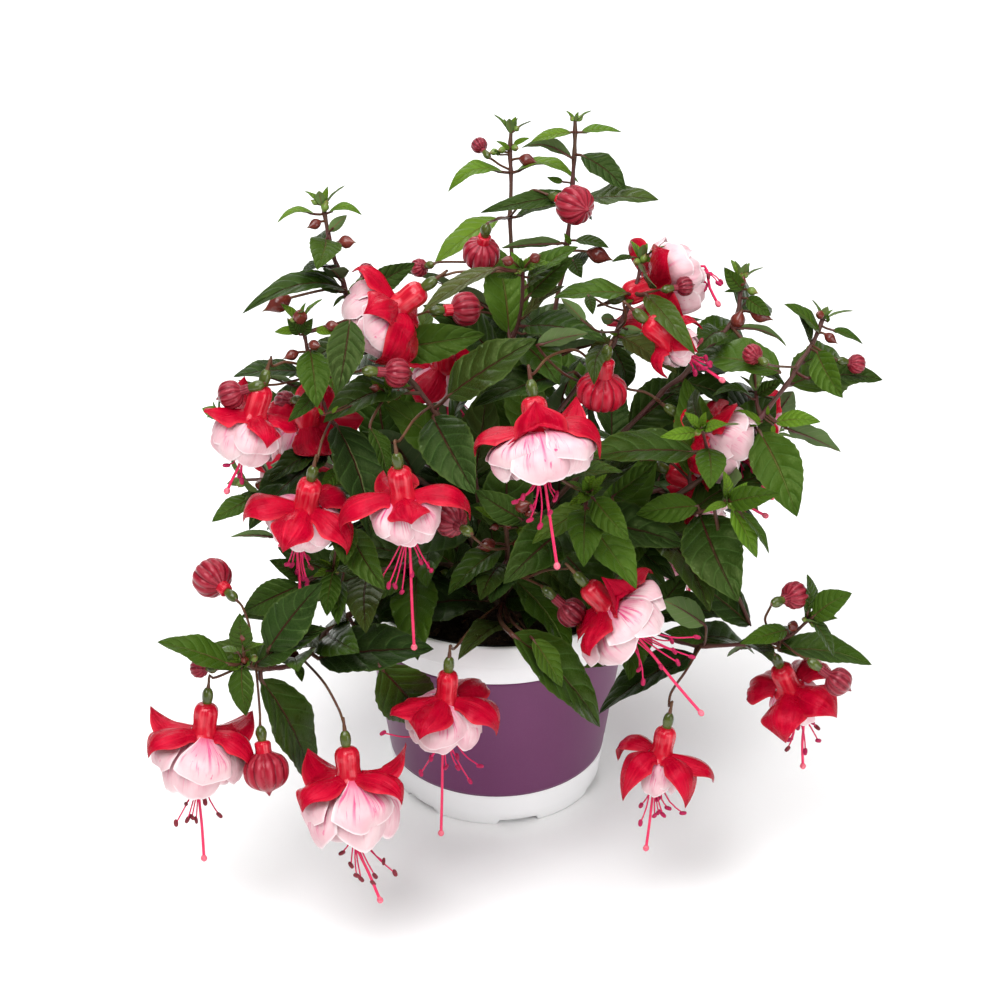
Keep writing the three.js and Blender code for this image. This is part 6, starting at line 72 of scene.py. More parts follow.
 ["branch_trailing_left",[[[[-98.1,-100.0,119.1],[-94.3,-94.7,113.6],[-86.0,-84.1,106.6],[-77.5,-73.2,102.6],[-72.7,-64.1,103.7],[-67.9,-54.3,105.5],[-60.2,-43.4,104.6],[-53.3,-33.0,104.7],[-48.5,-28.0,105.9],[-41.2,-22.2,106.2],[-32.4,-16.2,105.5],[-23.6,-10.6,103.5],[-15.9,-5.9,99.7],[-10.6,-2.8,94.0]],0.7,1.5]],[[[-89.1,-97.2,123.8],[-67.5,-92.7,152.3],[-0.28,-0.89,0.35],17.8,0.07,[-90.1,-89.4,110.1],"b"],[[-103.8,-105.4,122.7],[-130.7,-110.4,136.2],[0.47,-0.28,0.84],15.2,0.07,[-98.1,-100.0,119.1],"g"],[[-100.4,-102.6,126.4],[-110.5,-89.4,117.6],[-0.45,0.23,0.86],4.4,0.07,[-98.1,-100.0,119.1],"y"],[[-98.3,-104.3,128.0],[-89.6,-104.3,131.2],[-0.35,0.01,0.94],3.9,0.07,[-98.1,-100.0,119.1],"y"],[[-98.2,-105.0,129.9],[-98.5,-107.9,147.9],[0.11,-0.98,-0.15],9.3,0.07,[-98.1,-100.0,119.1],"g"],[[-99.1,-101.8,120.2],[-97.8,-108.9,100.6],[-0.17,-0.93,0.33],10.5,0.07,[-98.1,-100.0,119.1],"g"],[[-94.0,-97.1,117.2],[-66.0,-94.9,132.5],[-0.41,-0.43,0.81],16.0,0.07,[-94.7,-95.2,114.2],"m"],[[-92.4,-95.7,109.1],[-74.4,-91.4,55.5],[0.79,-0.58,0.22],22.2,0.07,[-92.6,-92.6,112.2],"m"],[[-78.9,-77.0,103.2],[-77.1,-83.7,99.6],[-0.06,-0.49,0.87],4.0,0.07,[-79.2,-75.4,103.4],"g"],[[-71.2,-71.3,102.7],[-24.8,-78.2,111.6],[-0.22,-0.28,0.93],24.9,0.07,[-74.7,-67.7,103.3],"b"],[[-46.0,-85.9,108.2],[-29.0,-67.5,69.1],[0.52,-0.84,-0.17],23.7,0.07,[-60.2,-43.4,104.6],"m"],[[-43.5,-35.0,101.1],[-59.0,-36.1,98.9],[-0.11,-0.32,0.94],7.3,0.07,[-47.1,-26.8,105.9],"g"],[[-62.1,-50.2,107.1],[-59.6,-73.3,121.7],[-0.76,0.28,0.58],13.3,0.11,[-62.5,-46.7,104.9],"m"],[[-87.7,-83.1,106.9],[-116.9,-83.7,115.4],[0.27,-0.36,0.89],14.9,0.08,[-85.2,-83.0,106.2],"g"],[[-43.7,-19.7,107.5],[-68.1,-5.7,117.0],[-0.03,-0.6,0.8],15.0,0.11,[-40.3,-21.6,106.2],"g"],[[-55.9,-32.1,107.5],[-88.5,-33.3,131.1],[0.46,-0.66,0.59],18.4,0.09,[-52.3,-32.0,104.9],"m"],[[-72.0,-66.7,106.1],[-70.1,-91.0,120.6],[-0.69,0.33,0.64],13.3,0.13,[-72.2,-63.1,103.9],"m"],[[-67.6,-59.6,106.5],[-53.5,-96.6,122.1],[-0.66,0.07,0.75],18.9,0.07,[-68.8,-56.3,105.1],"g"],[[-73.1,-61.1,106.8],[-100.7,-79.9,127.9],[0.5,0.22,0.84],19.9,0.11,[-70.3,-59.2,104.6],"g"],[[-81.4,-80.9,105.8],[-76.8,-109.4,121.7],[-0.16,0.46,0.87],17.1,0.13,[-81.8,-78.7,104.6],"g"],[[-45.4,-28.4,104.8],[-54.8,-55.9,95.9],[-0.4,-0.16,0.9],14.7,0.08,[-44.1,-24.5,106.1],"m"]],[[[-81.4,-80.5,109.8],[-0.08,-0.59,0.81],7,[-80.9,-77.6,104.2],"r"],[[-97.9,-105.5,136.2],[0.01,-0.4,0.92],4.6,[-98.1,-100.0,119.1],"r"],[[-97.8,-102.5,122.6],[0.08,-0.71,0.7],3.2,[-98.1,-100.0,119.1],"r"],[[-94.4,-100.4,122.1],[0.32,-0.56,0.76],3.2,[-96.2,-97.3,116.3],"g"]]],
 ["branch_front_left",[[[[-64.0,-76.0,147.7],[-59.6,-70.0,143.0],[-49.1,-56.7,134.8],[-37.0,-43.0,128.4],[-24.8,-29.8,121.2],[-13.8,-18.4,110.7],[-5.6,-9.5,94.0]],0.6,0.9]],[[[-75.9,-81.4,146.0],[-88.5,-81.1,155.1],[0.46,-0.59,0.66],7.8,0.07,[-64.0,-76.0,147.7],"m"],[[-76.8,-80.9,143.4],[-99.7,-79.0,129.6],[-0.3,-0.88,0.37],13.7,0.07,[-64.0,-76.0,147.7],"m"],[[-63.9,-77.5,148.7],[-73.5,-78.6,152.6],[0.39,-0.15,0.91],4.8,0.07,[-64.0,-76.0,147.7],"g"],[[-63.9,-77.0,148.4],[-54.5,-79.8,147.8],[0.03,-0.1,0.99],4.9,0.07,[-64.0,-76.0,147.7],"g"],[[-63.9,-77.8,147.5],[-66.1,-90.9,135.4],[0.08,-0.68,0.73],9.0,0.07,[-64.0,-76.0,147.7],"g"],[[-60.7,-73.9,141.3],[-62.0,-87.4,129.0],[-0.58,-0.52,0.63],9.1,0.07,[-60.1,-70.6,143.5],"g"],[[-60.3,-84.8,175.6],[-58.1,-99.1,164.1],[0.13,-0.61,0.78],10.9,0.07,[-64.0,-76.0,147.7],"m"],[[-36.8,-46.3,126.1],[-52.6,-57.0,119.6],[-0.07,-0.43,0.9],10.1,0.07,[-37.0,-43.0,128.4],"g"],[[-56.8,-79.1,167.6],[-42.8,-103.3,155.4],[-0.46,-0.6,0.65],13.8,0.07,[-57.5,-67.3,141.4],"m"],[[-27.4,-29.8,121.8],[-66.1,-29.7,129.4],[0.19,-0.05,0.98],20.3,0.09,[-24.8,-29.8,121.2],"m"],[[-17.7,-18.1,112.9],[-59.1,2.9,129.8],[0.29,-0.19,0.94],23.9,0.1,[-14.9,-19.5,111.7],"g"],[[-51.6,-57.1,133.6],[-77.3,-61.1,121.0],[-0.39,-0.24,0.89],14.0,0.09,[-49.1,-56.7,134.8],"m"],[[-17.9,-26.8,117.8],[-5.2,-51.5,134.3],[-0.84,-0.07,0.54],15.7,0.1,[-19.3,-24.1,115.9],"m"],[[-13.1,-12.6,104.1],[-43.0,-1.2,119.5],[0.3,-0.38,0.87],18.4,0.07,[-9.7,-13.9,102.3],"m"],[[-64.3,-74.6,143.0],[-86.8,-88.8,121.6],[-0.5,-0.38,0.78],16.5,0.12,[-61.8,-73.0,145.4],"m"],[[-37.6,-40.6,125.8],[-69.1,-43.6,113.7],[-0.28,-0.46,0.84],16.0,0.12,[-34.5,-40.3,127.0],"g"],[[-32.0,-41.4,123.4],[-31.3,-75.2,104.2],[-0.35,-0.47,0.81],20.0,0.12,[-32.1,-37.7,125.5],"g"],[[-51.1,-62.5,136.0],[-50.7,-97.4,131.6],[-0.12,-0.13,0.98],15.7,0.1,[-51.2,-59.3,136.4],"m"]],[]],
 ["branch_back_1",[[[[114.1,25.7,150.0],[102.9,20.0,143.8],[88.8,14.7,138.4],[72.4,12.1,133.3],[55.6,10.5,128.0],[39.4,10.1,121.9],[25.8,8.2,114.6],[16.0,5.0,105.4],[10.6,2.8,94.0]],0.7,1.3]],[[[113.9,23.0,150.6],[122.6,16.3,157.0],[-0.24,0.59,0.77],5.2,0.12,[111.9,24.6,148.8],"y"],[[112.9,27.6,148.5],[117.3,40.4,145.6],[0.26,0.01,0.97],5.2,0.12,[111.9,24.6,148.8],"y"],[[97.8,19.3,144.5],[101.6,30.3,163.3],[0.34,-0.86,0.37],12.4,0.12,[97.3,17.9,141.7],"g"],[[100.4,17.5,141.2],[124.6,14.4,134.5],[0.16,0.09,0.98],12.4,0.12,[97.3,17.9,141.7],"g"],[[84.0,11.7,138.2],[102.6,-9.7,154.0],[-0.1,0.63,0.77],17.3,0.12,[82.2,13.7,136.4],"g"],[[84.0,16.3,135.9],[102.8,44.9,125.9],[0.25,0.03,0.97],17.3,0.12,[82.2,13.7,136.4],"g"],[[66.6,12.9,133.9],[79.6,32.7,167.6],[0.04,-0.9,0.44],22.9,0.12,[65.7,11.5,131.2],"b"],[[68.7,10.4,130.7],[111.2,-4.8,117.6],[0.21,0.1,0.97],22.9,0.12,[65.7,11.5,131.2],"b"],[[50.5,8.2,127.5],[71.8,-25.2,151.5],[-0.0,0.67,0.74],24.8,0.12,[49.1,10.3,125.6],"m"],[[51.2,12.7,125.1],[96.0,36.2,121.1],[0.32,-0.46,0.83],24.8,0.12,[49.1,10.3,125.6],"b"],[[35.5,8.3,117.1],[74.8,-2.3,96.2],[0.38,0.04,0.92],21.8,0.12,[32.6,9.1,118.2],"m"],[[63.0,13.6,130.8],[72.6,48.7,140.1],[0.38,-0.33,0.86],18.3,0.09,[62.3,11.1,130.1],"m"],[[74.8,8.9,135.1],[97.7,-21.9,152.1],[-0.17,0.38,0.91],18.5,0.09,[72.4,12.1,133.3],"m"],[[28.2,6.7,112.9],[67.3,-5.8,103.8],[0.3,0.28,0.91],20.1,0.07,[24.8,7.8,113.6],"m"],[[70.8,10.6,134.7],[95.9,-7.0,169.5],[-0.01,0.89,0.46],20.7,0.09,[69.1,11.8,132.3],"m"],[[110.3,22.1,150.8],[121.6,17.4,174.9],[0.13,0.98,0.13],13.1,0.12,[108.5,22.9,146.9],"m"],[[46.6,11.1,122.3],[79.3,23.3,102.1],[0.48,0.15,0.87],18.6,0.12,[44.2,10.2,123.7],"m"],[[37.2,9.1,123.7],[41.9,3.8,151.9],[0.03,0.98,0.18],13.0,0.06,[36.7,9.7,120.4],"m"],[[94.9,19.6,140.2],[114.8,54.8,141.5],[0.46,-0.29,0.84],19.8,0.06,[93.0,16.3,140.1],"g"],[[60.1,9.1,127.6],[93.0,-8.4,116.6],[0.35,0.07,0.94],19.2,0.11,[57.3,10.7,128.5],"m"],[[55.1,14.6,126.5],[63.4,44.5,119.7],[0.48,0.06,0.87],16.4,0.09,[54.0,10.4,127.4],"m"],[[22.0,4.7,112.3],[34.6,-17.5,138.5],[0.37,0.79,0.49],17.6,0.09,[20.9,6.6,110.0],"m"]],[]],
 ["branch_back_2",[[[[83.7,63.5,150.0],[72.5,58.5,143.8],[60.1,52.0,138.4],[48.6,42.9,133.3],[37.6,33.2,128.0],[28.0,23.3,121.9],[18.6,16.0,114.6],[10.5,11.8,105.4],[5.6,9.5,94.0]],0.7,1.3]],[[[81.9,62.7,151.9],[83.9,63.6,164.4],[0.53,0.84,-0.13],5.5,0.12,[81.4,62.5,148.8],"y"],[[84.1,64.2,148.3],[96.3,71.5,144.3],[0.11,0.12,0.99],5.5,0.12,[81.4,62.5,148.8],"y"],[[68.9,59.7,143.1],[76.1,81.5,136.6],[0.49,0.1,0.87],12.3,0.12,[68.7,56.6,142.2],"g"],[[71.6,55.2,142.8],[93.2,44.5,144.3],[-0.04,0.32,0.95],12.3,0.12,[68.7,56.6,142.2],"g"],[[57.8,50.5,135.8],[83.2,74.1,124.5],[0.15,0.12,0.98],17.7,0.12,[55.5,48.4,136.4],"g"],[[47.2,38.3,131.7],[87.5,26.1,156.9],[-0.52,0.06,0.85],24.8,0.12,[44.2,39.0,131.2],"m"],[[22.9,22.7,119.3],[32.3,62.2,118.4],[0.19,-0.02,0.98],21.0,0.12,[23.3,19.7,118.2],"b"],[[34.8,31.7,129.1],[36.2,48.6,163.1],[0.98,0.14,-0.11],19.6,0.1,[34.7,30.2,126.2],"m"],[[31.0,29.6,124.5],[31.9,55.8,130.7],[0.3,-0.23,0.93],12.1,0.07,[30.9,26.3,123.7],"m"],[[30.6,22.5,125.0],[47.8,16.7,145.5],[-0.08,0.94,0.33],13.8,0.08,[28.0,23.3,121.9],"g"],[[80.1,58.3,145.7],[105.8,40.7,141.1],[0.29,0.17,0.94],15.7,0.13,[76.9,60.5,146.3],"g"],[[20.7,20.9,114.4],[30.2,56.4,106.5],[0.19,0.16,0.97],18.4,0.12,[19.6,16.8,115.3],"m"],[[41.2,39.9,127.2],[43.6,72.6,106.7],[0.41,0.46,0.79],17.9,0.12,[40.9,36.1,129.6],"g"],[[48.6,46.3,134.8],[49.1,78.1,148.3],[0.35,-0.37,0.86],15.5,0.08,[48.6,42.9,133.3],"m"]],[]],
 ["branch_back_3",[[[[44.2,82.0,158.0],[41.7,70.4,151.5],[37.6,58.1,145.2],[30.3,46.6,138.8],[22.1,35.7,132.0],[13.4,26.1,124.4],[7.4,17.2,115.8],[4.4,9.5,105.8],[3.0,4.7,94.0]],0.7,1.3]],[[[41.9,81.0,159.0],[33.9,87.1,167.9],[0.78,-0.07,0.63],5.6,0.12,[43.7,79.7,156.7],"y"],[[46.3,81.5,156.2],[58.2,89.8,152.3],[0.04,0.2,0.98],5.6,0.12,[43.7,79.7,156.7],"y"],[[39.5,68.5,147.9],[34.6,94.2,135.3],[0.11,0.35,0.93],13.9,0.12,[40.1,65.5,149.0],"g"],[[41.8,65.7,151.6],[57.3,67.6,171.3],[-0.77,0.42,0.48],13.9,0.12,[40.1,65.5,149.0],"g"],[[33.4,55.5,144.8],[17.6,81.0,167.7],[0.65,-0.34,0.68],20.4,0.12,[34.6,53.5,142.6],"g"],[[27.8,40.9,138.1],[35.8,38.2,179.7],[-0.93,0.31,0.2],23.6,0.12,[26.2,41.2,135.4],"m"],[[21.9,38.2,132.4],[18.1,79.3,139.0],[0.48,-0.1,0.87],21.6,0.14,[22.1,35.7,132.0],"m"],[[42.3,79.3,152.3],[36.0,109.8,128.6],[0.05,0.62,0.78],19.5,0.13,[43.0,76.2,154.7],"m"],[[37.5,61.0,143.5],[42.8,92.4,135.4],[0.04,0.24,0.97],15.9,0.07,[36.8,57.0,144.5],"g"],[[44.6,71.6,152.6],[88.0,89.8,169.1],[-0.37,0.05,0.93],25.5,0.14,[41.7,70.4,151.5],"m"],[[14.4,31.7,129.9],[-0.1,54.9,157.0],[0.88,-0.01,0.48],17.1,0.08,[16.0,29.0,126.7],"m"],[[10.6,18.2,121.8],[22.7,3.5,151.6],[-0.02,0.89,0.45],15.7,0.06,[9.2,19.9,118.4],"m"]],[]],
 ["branch_back_4",[[[[0.0,87.4,160.0],[-3.2,76.1,153.4],[-5.6,63.6,146.9],[-5.3,50.7,140.2],[-4.1,38.1,133.0],[-1.8,26.4,125.1],[-1.5,16.3,116.1],[-3.0,8.5,105.9],[-4.1,3.8,94.0]],0.7,1.3]],[[[-2.5,87.7,158.8],[-10.1,98.4,157.6],[0.16,0.08,0.98],5.0,0.12,[-0.6,85.1,158.7],"y"],[[2.0,85.7,160.4],[12.6,88.0,166.0],[-0.58,0.23,0.78],5.0,0.12,[-0.6,85.1,158.7],"g"],[[-2.6,75.0,150.1],[9.1,97.9,135.0],[0.07,0.43,0.9],14.1,0.12,[-3.9,72.4,151.4],"g"],[[-4.8,73.1,154.4],[-12.8,79.7,177.3],[0.95,0.22,0.23],14.1,0.12,[-3.9,72.4,151.4],"g"],[[1.0,16.6,116.8],[35.0,31.2,138.4],[-0.61,0.48,0.64],20.9,0.14,[-1.6,15.5,115.1],"m"],[[-7.0,69.9,149.0],[-26.5,93.0,150.2],[0.08,0.01,1.0],14.6,0.12,[-4.9,67.4,148.8],"m"],[[-4.3,26.1,126.1],[-23.1,39.0,147.1],[0.78,0.48,0.4],14.4,0.09,[-1.8,24.3,123.3],"m"],[[-3.6,61.3,146.2],[20.9,80.7,162.7],[-0.51,-0.08,0.85],15.6,0.09,[-5.5,59.8,144.9],"m"],[[-0.5,78.1,152.3],[33.8,103.5,139.0],[-0.03,0.5,0.86],20.9,0.09,[-3.2,76.1,153.4],"m"],[[-1.4,35.3,129.7],[17.9,55.7,128.1],[-0.05,0.13,0.99],14.5,0.08,[-3.2,33.4,129.8],"m"],[[-4.3,32.2,125.4],[-23.0,65.5,113.7],[-0.09,0.29,0.95],20.0,0.09,[-2.3,28.7,126.7],"m"],[[-6.3,54.5,138.2],[-12.2,78.4,125.5],[-0.05,0.46,0.89],13.0,0.13,[-5.3,50.7,140.2],"m"],[[-0.4,19.1,120.8],[11.9,28.3,151.9],[-0.61,0.79,0.01],16.3,0.13,[-1.6,18.3,117.9],"m"],[[-2.9,43.0,134.0],[16.2,74.7,128.3],[-0.28,0.33,0.9],16.6,0.09,[-4.3,40.6,134.4],"m"],[[-1.2,82.8,155.0],[11.3,125.3,135.4],[-0.08,0.44,0.9],21.7,0.13,[-1.9,80.6,156.0],"g"]],[]],
 ["branch_back_5",[[[[-43.3,80.3,158.0],[-35.6,71.2,151.5],[-28.2,60.3,145.2],[-23.3,47.5,138.8],[-19.3,34.4,132.0],[-16.7,21.6,124.4],[-13.0,11.4,115.8],[-8.6,4.3,105.8],[-5.6,0.2,94.0]],0.7,1.3]],[[[-43.9,80.4,155.3],[-53.7,89.2,147.4],[-0.24,0.36,0.9],5.5,0.12,[-41.7,78.5,156.7],"y"],[[-41.5,79.2,159.8],[-40.3,82.8,172.1],[-0.99,0.09,0.06],5.5,0.12,[-41.7,78.5,156.7],"y"],[[-35.5,66.7,150.3],[-59.1,65.3,158.0],[0.38,0.33,0.86],13.0,0.12,[-32.6,66.9,149.0],"g"],[[-26.0,56.0,145.7],[-23.5,64.2,174.9],[-0.99,0.12,0.04],17.2,0.12,[-26.2,55.2,142.6],"g"],[[-24.2,41.6,136.7],[-62.3,49.7,148.7],[0.43,0.18,0.88],21.3,0.12,[-21.3,41.0,135.4],"m"],[[-19.2,37.9,130.5],[-17.2,82.9,111.1],[-0.14,0.4,0.91],22.1,0.11,[-19.3,34.4,132.0],"m"],[[-29.0,65.2,145.0],[-20.1,102.9,124.0],[-0.17,0.51,0.84],21.1,0.09,[-29.7,62.5,146.4],"g"],[[-36.6,77.4,155.6],[-28.0,100.9,170.5],[-0.54,-0.3,0.79],13.6,0.06,[-37.9,73.9,153.4],"g"],[[-17.7,25.2,129.3],[-21.5,21.4,174.0],[-0.01,1.0,0.08],22.4,0.06,[-17.5,25.5,126.7],"m"],[[-14.6,9.6,115.3],[-47.5,4.8,134.9],[0.48,0.21,0.85],19.4,0.07,[-12.1,9.9,113.8],"m"],[[-22.5,51.9,139.3],[-11.6,79.3,137.6],[-0.35,0.19,0.92],13.4,0.1,[-23.8,48.8,139.4],"g"],[[-22.8,48.7,136.3],[-26.0,86.3,125.0],[-0.06,0.28,0.96],18.2,0.09,[-22.5,44.9,137.4],"m"],[[-22.2,31.8,131.2],[-62.1,45.7,147.0],[0.47,0.52,0.71],23.0,0.11,[-18.6,30.6,129.7],"m"],[[-38.0,70.3,153.6],[-57.7,62.9,170.8],[0.47,0.47,0.74],13.9,0.12,[-35.6,71.2,151.5],"g"]],[]],
 ["branch_back_6",[[[[-80.4,61.1,156.0],[-73.3,51.6,149.6],[-63.9,42.2,143.5],[-51.8,34.9,137.4],[-39.1,28.6,131.0],[-26.4,23.6,123.8],[-16.4,18.1,115.5],[-10.0,12.5,105.7],[-6.6,8.8,94.0]],0.7,1.3]],[[[-79.2,62.3,154.0],[-79.9,76.1,148.9],[-0.22,0.22,0.95],5.4,0.12,[-79.0,59.2,154.7],"y"],[[-81.0,58.6,157.1],[-90.0,56.1,166.2],[0.55,0.59,0.59],5.4,0.12,[-79.0,59.2,154.7],"y"],[[-68.9,49.7,149.6],[-63.5,67.5,168.9],[-0.64,-0.53,0.56],14.7,0.12,[-69.5,47.8,147.1],"g"],[[-72.6,48.2,146.3],[-100.7,52.0,134.8],[-0.24,0.19,0.95],14.7,0.12,[-69.5,47.8,147.1],"g"],[[-60.9,38.3,143.6],[-81.4,26.8,167.9],[0.38,0.73,0.56],18.6,0.12,[-59.1,39.3,141.1],"g"],[[-45.4,33.9,136.6],[-47.3,53.5,170.5],[-0.3,-0.83,0.46],21.5,0.12,[-45.5,31.7,134.2],"m"],[[-34.1,24.8,130.0],[-54.8,5.7,162.6],[0.21,0.83,0.52],23.8,0.12,[-32.7,26.1,127.4],"m"],[[-19.9,22.3,121.3],[-0.9,0.5,149.1],[-0.54,-0.8,-0.26],22.0,0.12,[-20.4,20.3,118.8],"b"],[[-79.2,55.7,153.7],[-108.6,48.5,164.9],[0.19,0.51,0.84],16.4,0.07,[-76.9,56.3,152.8],"g"],[[-39.7,27.3,128.4],[-82.8,23.7,112.5],[-0.35,0.13,0.93],23.4,0.09,[-36.5,27.6,129.6],"g"],[[-43.9,33.1,130.7],[-60.7,57.2,118.5],[-0.28,0.27,0.92],14.7,0.08,[-41.6,29.8,132.3],"m"],[[-57.6,37.2,137.1],[-92.1,46.0,121.6],[-0.33,0.29,0.9],19.3,0.13,[-54.3,36.4,138.7],"m"],[[-9.7,15.4,107.8],[0.4,38.5,119.4],[-0.26,-0.34,0.9],12.4,0.08,[-10.7,13.1,106.7],"m"],[[-14.9,18.3,109.9],[-28.5,42.5,104.5],[-0.15,0.13,0.98],14.2,0.12,[-13.2,15.3,110.6],"m"],[[-50.5,36.5,134.5],[-60.5,59.3,121.6],[-0.39,0.32,0.86],13.3,0.12,[-49.3,33.6,136.2],"m"],[[-65.5,48.0,144.8],[-63.3,75.9,145.7],[-0.43,0.01,0.9],13.9,0.14,[-65.8,44.1,144.7],"m"]],[]],
 ["branch_back_7",[[[[-114.1,25.7,158.0],[-101.5,25.7,151.5],[-86.4,24.2,145.2],[-70.6,19.5,138.8],[-54.7,13.8,132.0],[-40.0,7.3,124.4],[-27.0,3.2,115.8],[-16.7,1.9,105.8],[-10.9,1.5,94.0]],0.7,1.3]],[[[-79.2,24.7,143.3],[-88.7,60.1,154.1],[-0.19,-0.44,0.88],19.9,0.12,[-78.5,21.9,142.0],"g"],[[-81.1,20.0,142.2],[-95.6,-3.5,171.0],[0.62,0.42,0.66],19.9,0.12,[-78.5,21.9,142.0],"g"],[[-65.2,16.9,139.1],[-79.5,12.0,180.1],[0.04,0.99,0.12],24.6,0.12,[-64.2,17.2,136.1],"m"],[[-51.6,9.6,129.3],[-94.1,-15.0,127.9],[-0.03,0.23,0.97],24.7,0.12,[-48.9,11.2,129.0],"b"],[[-36.1,6.6,118.9],[-76.4,1.5,89.4],[-0.6,0.12,0.79],23.9,0.12,[-33.5,5.3,120.1],"b"],[[-46.1,8.2,125.1],[-79.6,4.4,116.1],[-0.27,0.18,0.94],17.8,0.14,[-43.0,8.6,126.0],"m"],[[-74.1,22.3,137.9],[-93.9,47.2,121.5],[-0.54,0.12,0.84],18.6,0.13,[-72.2,20.0,139.4],"g"],[[-76.2,23.4,140.1],[-85.6,51.3,133.3],[-0.46,0.06,0.89],14.5,0.08,[-75.3,20.9,140.7],"m"],[[-43.0,5.2,123.8],[-69.3,-13.4,118.3],[-0.4,0.31,0.86],16.7,0.06,[-40.0,7.3,124.4],"m"],[[-48.0,9.6,131.1],[-62.1,8.0,155.8],[-0.42,0.89,-0.18],13.7,0.1,[-45.9,9.9,127.5],"m"],[[-60.8,16.6,130.8],[-89.4,32.8,106.1],[-0.59,0.16,0.79],18.8,0.12,[-57.9,14.9,133.4],"m"],[[-88.3,24.8,147.8],[-106.9,30.6,172.8],[0.75,-0.23,0.61],14.1,0.14,[-86.4,24.2,145.2],"m"],[[-27.5,2.1,111.4],[-73.3,-6.7,93.5],[-0.37,0.04,0.93],23.9,0.11,[-23.9,2.8,112.8],"m"]],[]],
 ["branch_back_8",[[[[107.3,56.0,112.0],[94.6,52.5,114.3],[80.2,47.3,116.2],[65.9,39.1,117.4],[51.8,30.1,117.2],[38.9,20.5,115.3],[26.6,13.5,111.2],[15.9,9.3,104.2],[8.8,6.6,94.0]],0.7,1.3]],[[[106.9,55.2,114.8],[115.9,54.8,123.0],[-0.68,0.35,0.64],5.0,0.12,[104.8,55.3,112.5],"y"],[[89.7,53.3,116.1],[96.6,75.7,120.8],[0.13,-0.36,0.92],12.3,0.12,[88.8,50.4,115.0],"g"],[[91.4,48.7,114.3],[111.1,35.3,105.2],[0.34,0.08,0.94],12.3,0.12,[88.8,50.4,115.0],"g"],[[76.5,44.2,119.2],[98.6,46.4,142.1],[-0.77,0.21,0.61],17.5,0.12,[74.5,44.0,116.7],"g"],[[63.2,34.4,116.7],[96.9,49.8,80.7],[0.74,-0.04,0.67],25.1,0.12,[60.3,35.5,117.3],"b"],[[48.3,28.9,115.7],[82.7,53.7,90.2],[0.45,0.26,0.86],23.9,0.12,[46.7,26.2,116.5],"m"],[[35.8,15.9,113.0],[73.6,6.6,94.2],[0.46,0.08,0.88],21.3,0.12,[32.8,17.0,113.2],"m"],[[21.7,8.3,107.0],[52.0,-18.5,114.9],[0.19,0.47,0.86],19.5,0.09,[19.1,10.5,106.3],"m"],[[41.9,22.6,112.3],[60.3,35.3,76.4],[0.72,0.44,0.53],19.5,0.14,[40.2,21.5,115.5],"m"],[[81.1,45.6,116.6],[108.9,36.0,119.6],[0.09,0.53,0.84],14.8,0.08,[78.7,46.5,116.3],"m"],[[86.0,50.4,117.1],[105.9,70.2,136.4],[-0.37,-0.43,0.82],17.1,0.1,[84.5,48.9,115.6],"m"],[[24.5,12.5,112.4],[23.8,11.1,153.1],[0.81,0.58,0.03],18.3,0.1,[24.5,12.6,109.8],"m"],[[97.6,52.9,117.3],[120.4,55.5,140.2],[-0.71,0.04,0.7],15.0,0.07,[94.6,52.5,114.3],"m"],[[70.2,45.6,118.9],[70.1,71.1,130.6],[0.73,-0.28,0.62],13.6,0.13,[70.2,41.6,117.0],"g"],[[27.5,17.7,112.3],[24.4,48.3,118.4],[0.03,-0.19,0.98],16.2,0.12,[27.9,14.2,111.6],"g"],[[56.6,35.4,116.8],[64.6,74.3,109.2],[0.32,0.12,0.94],18.0,0.09,[56.1,32.8,117.3],"m"],[[37.0,21.5,115.6],[43.7,52.1,129.1],[0.0,-0.4,0.91],17.3,0.13,[36.5,19.1,114.5],"m"],[[15.3,8.9,106.7],[8.3,4.6,133.3],[0.81,0.5,0.29],13.1,0.11,[15.9,9.3,104.2],"m"],[[102.1,57.5,111.8],[116.6,97.3,95.4],[0.5,0.17,0.85],22.3,0.11,[101.0,54.3,113.1],"m"]],[]],
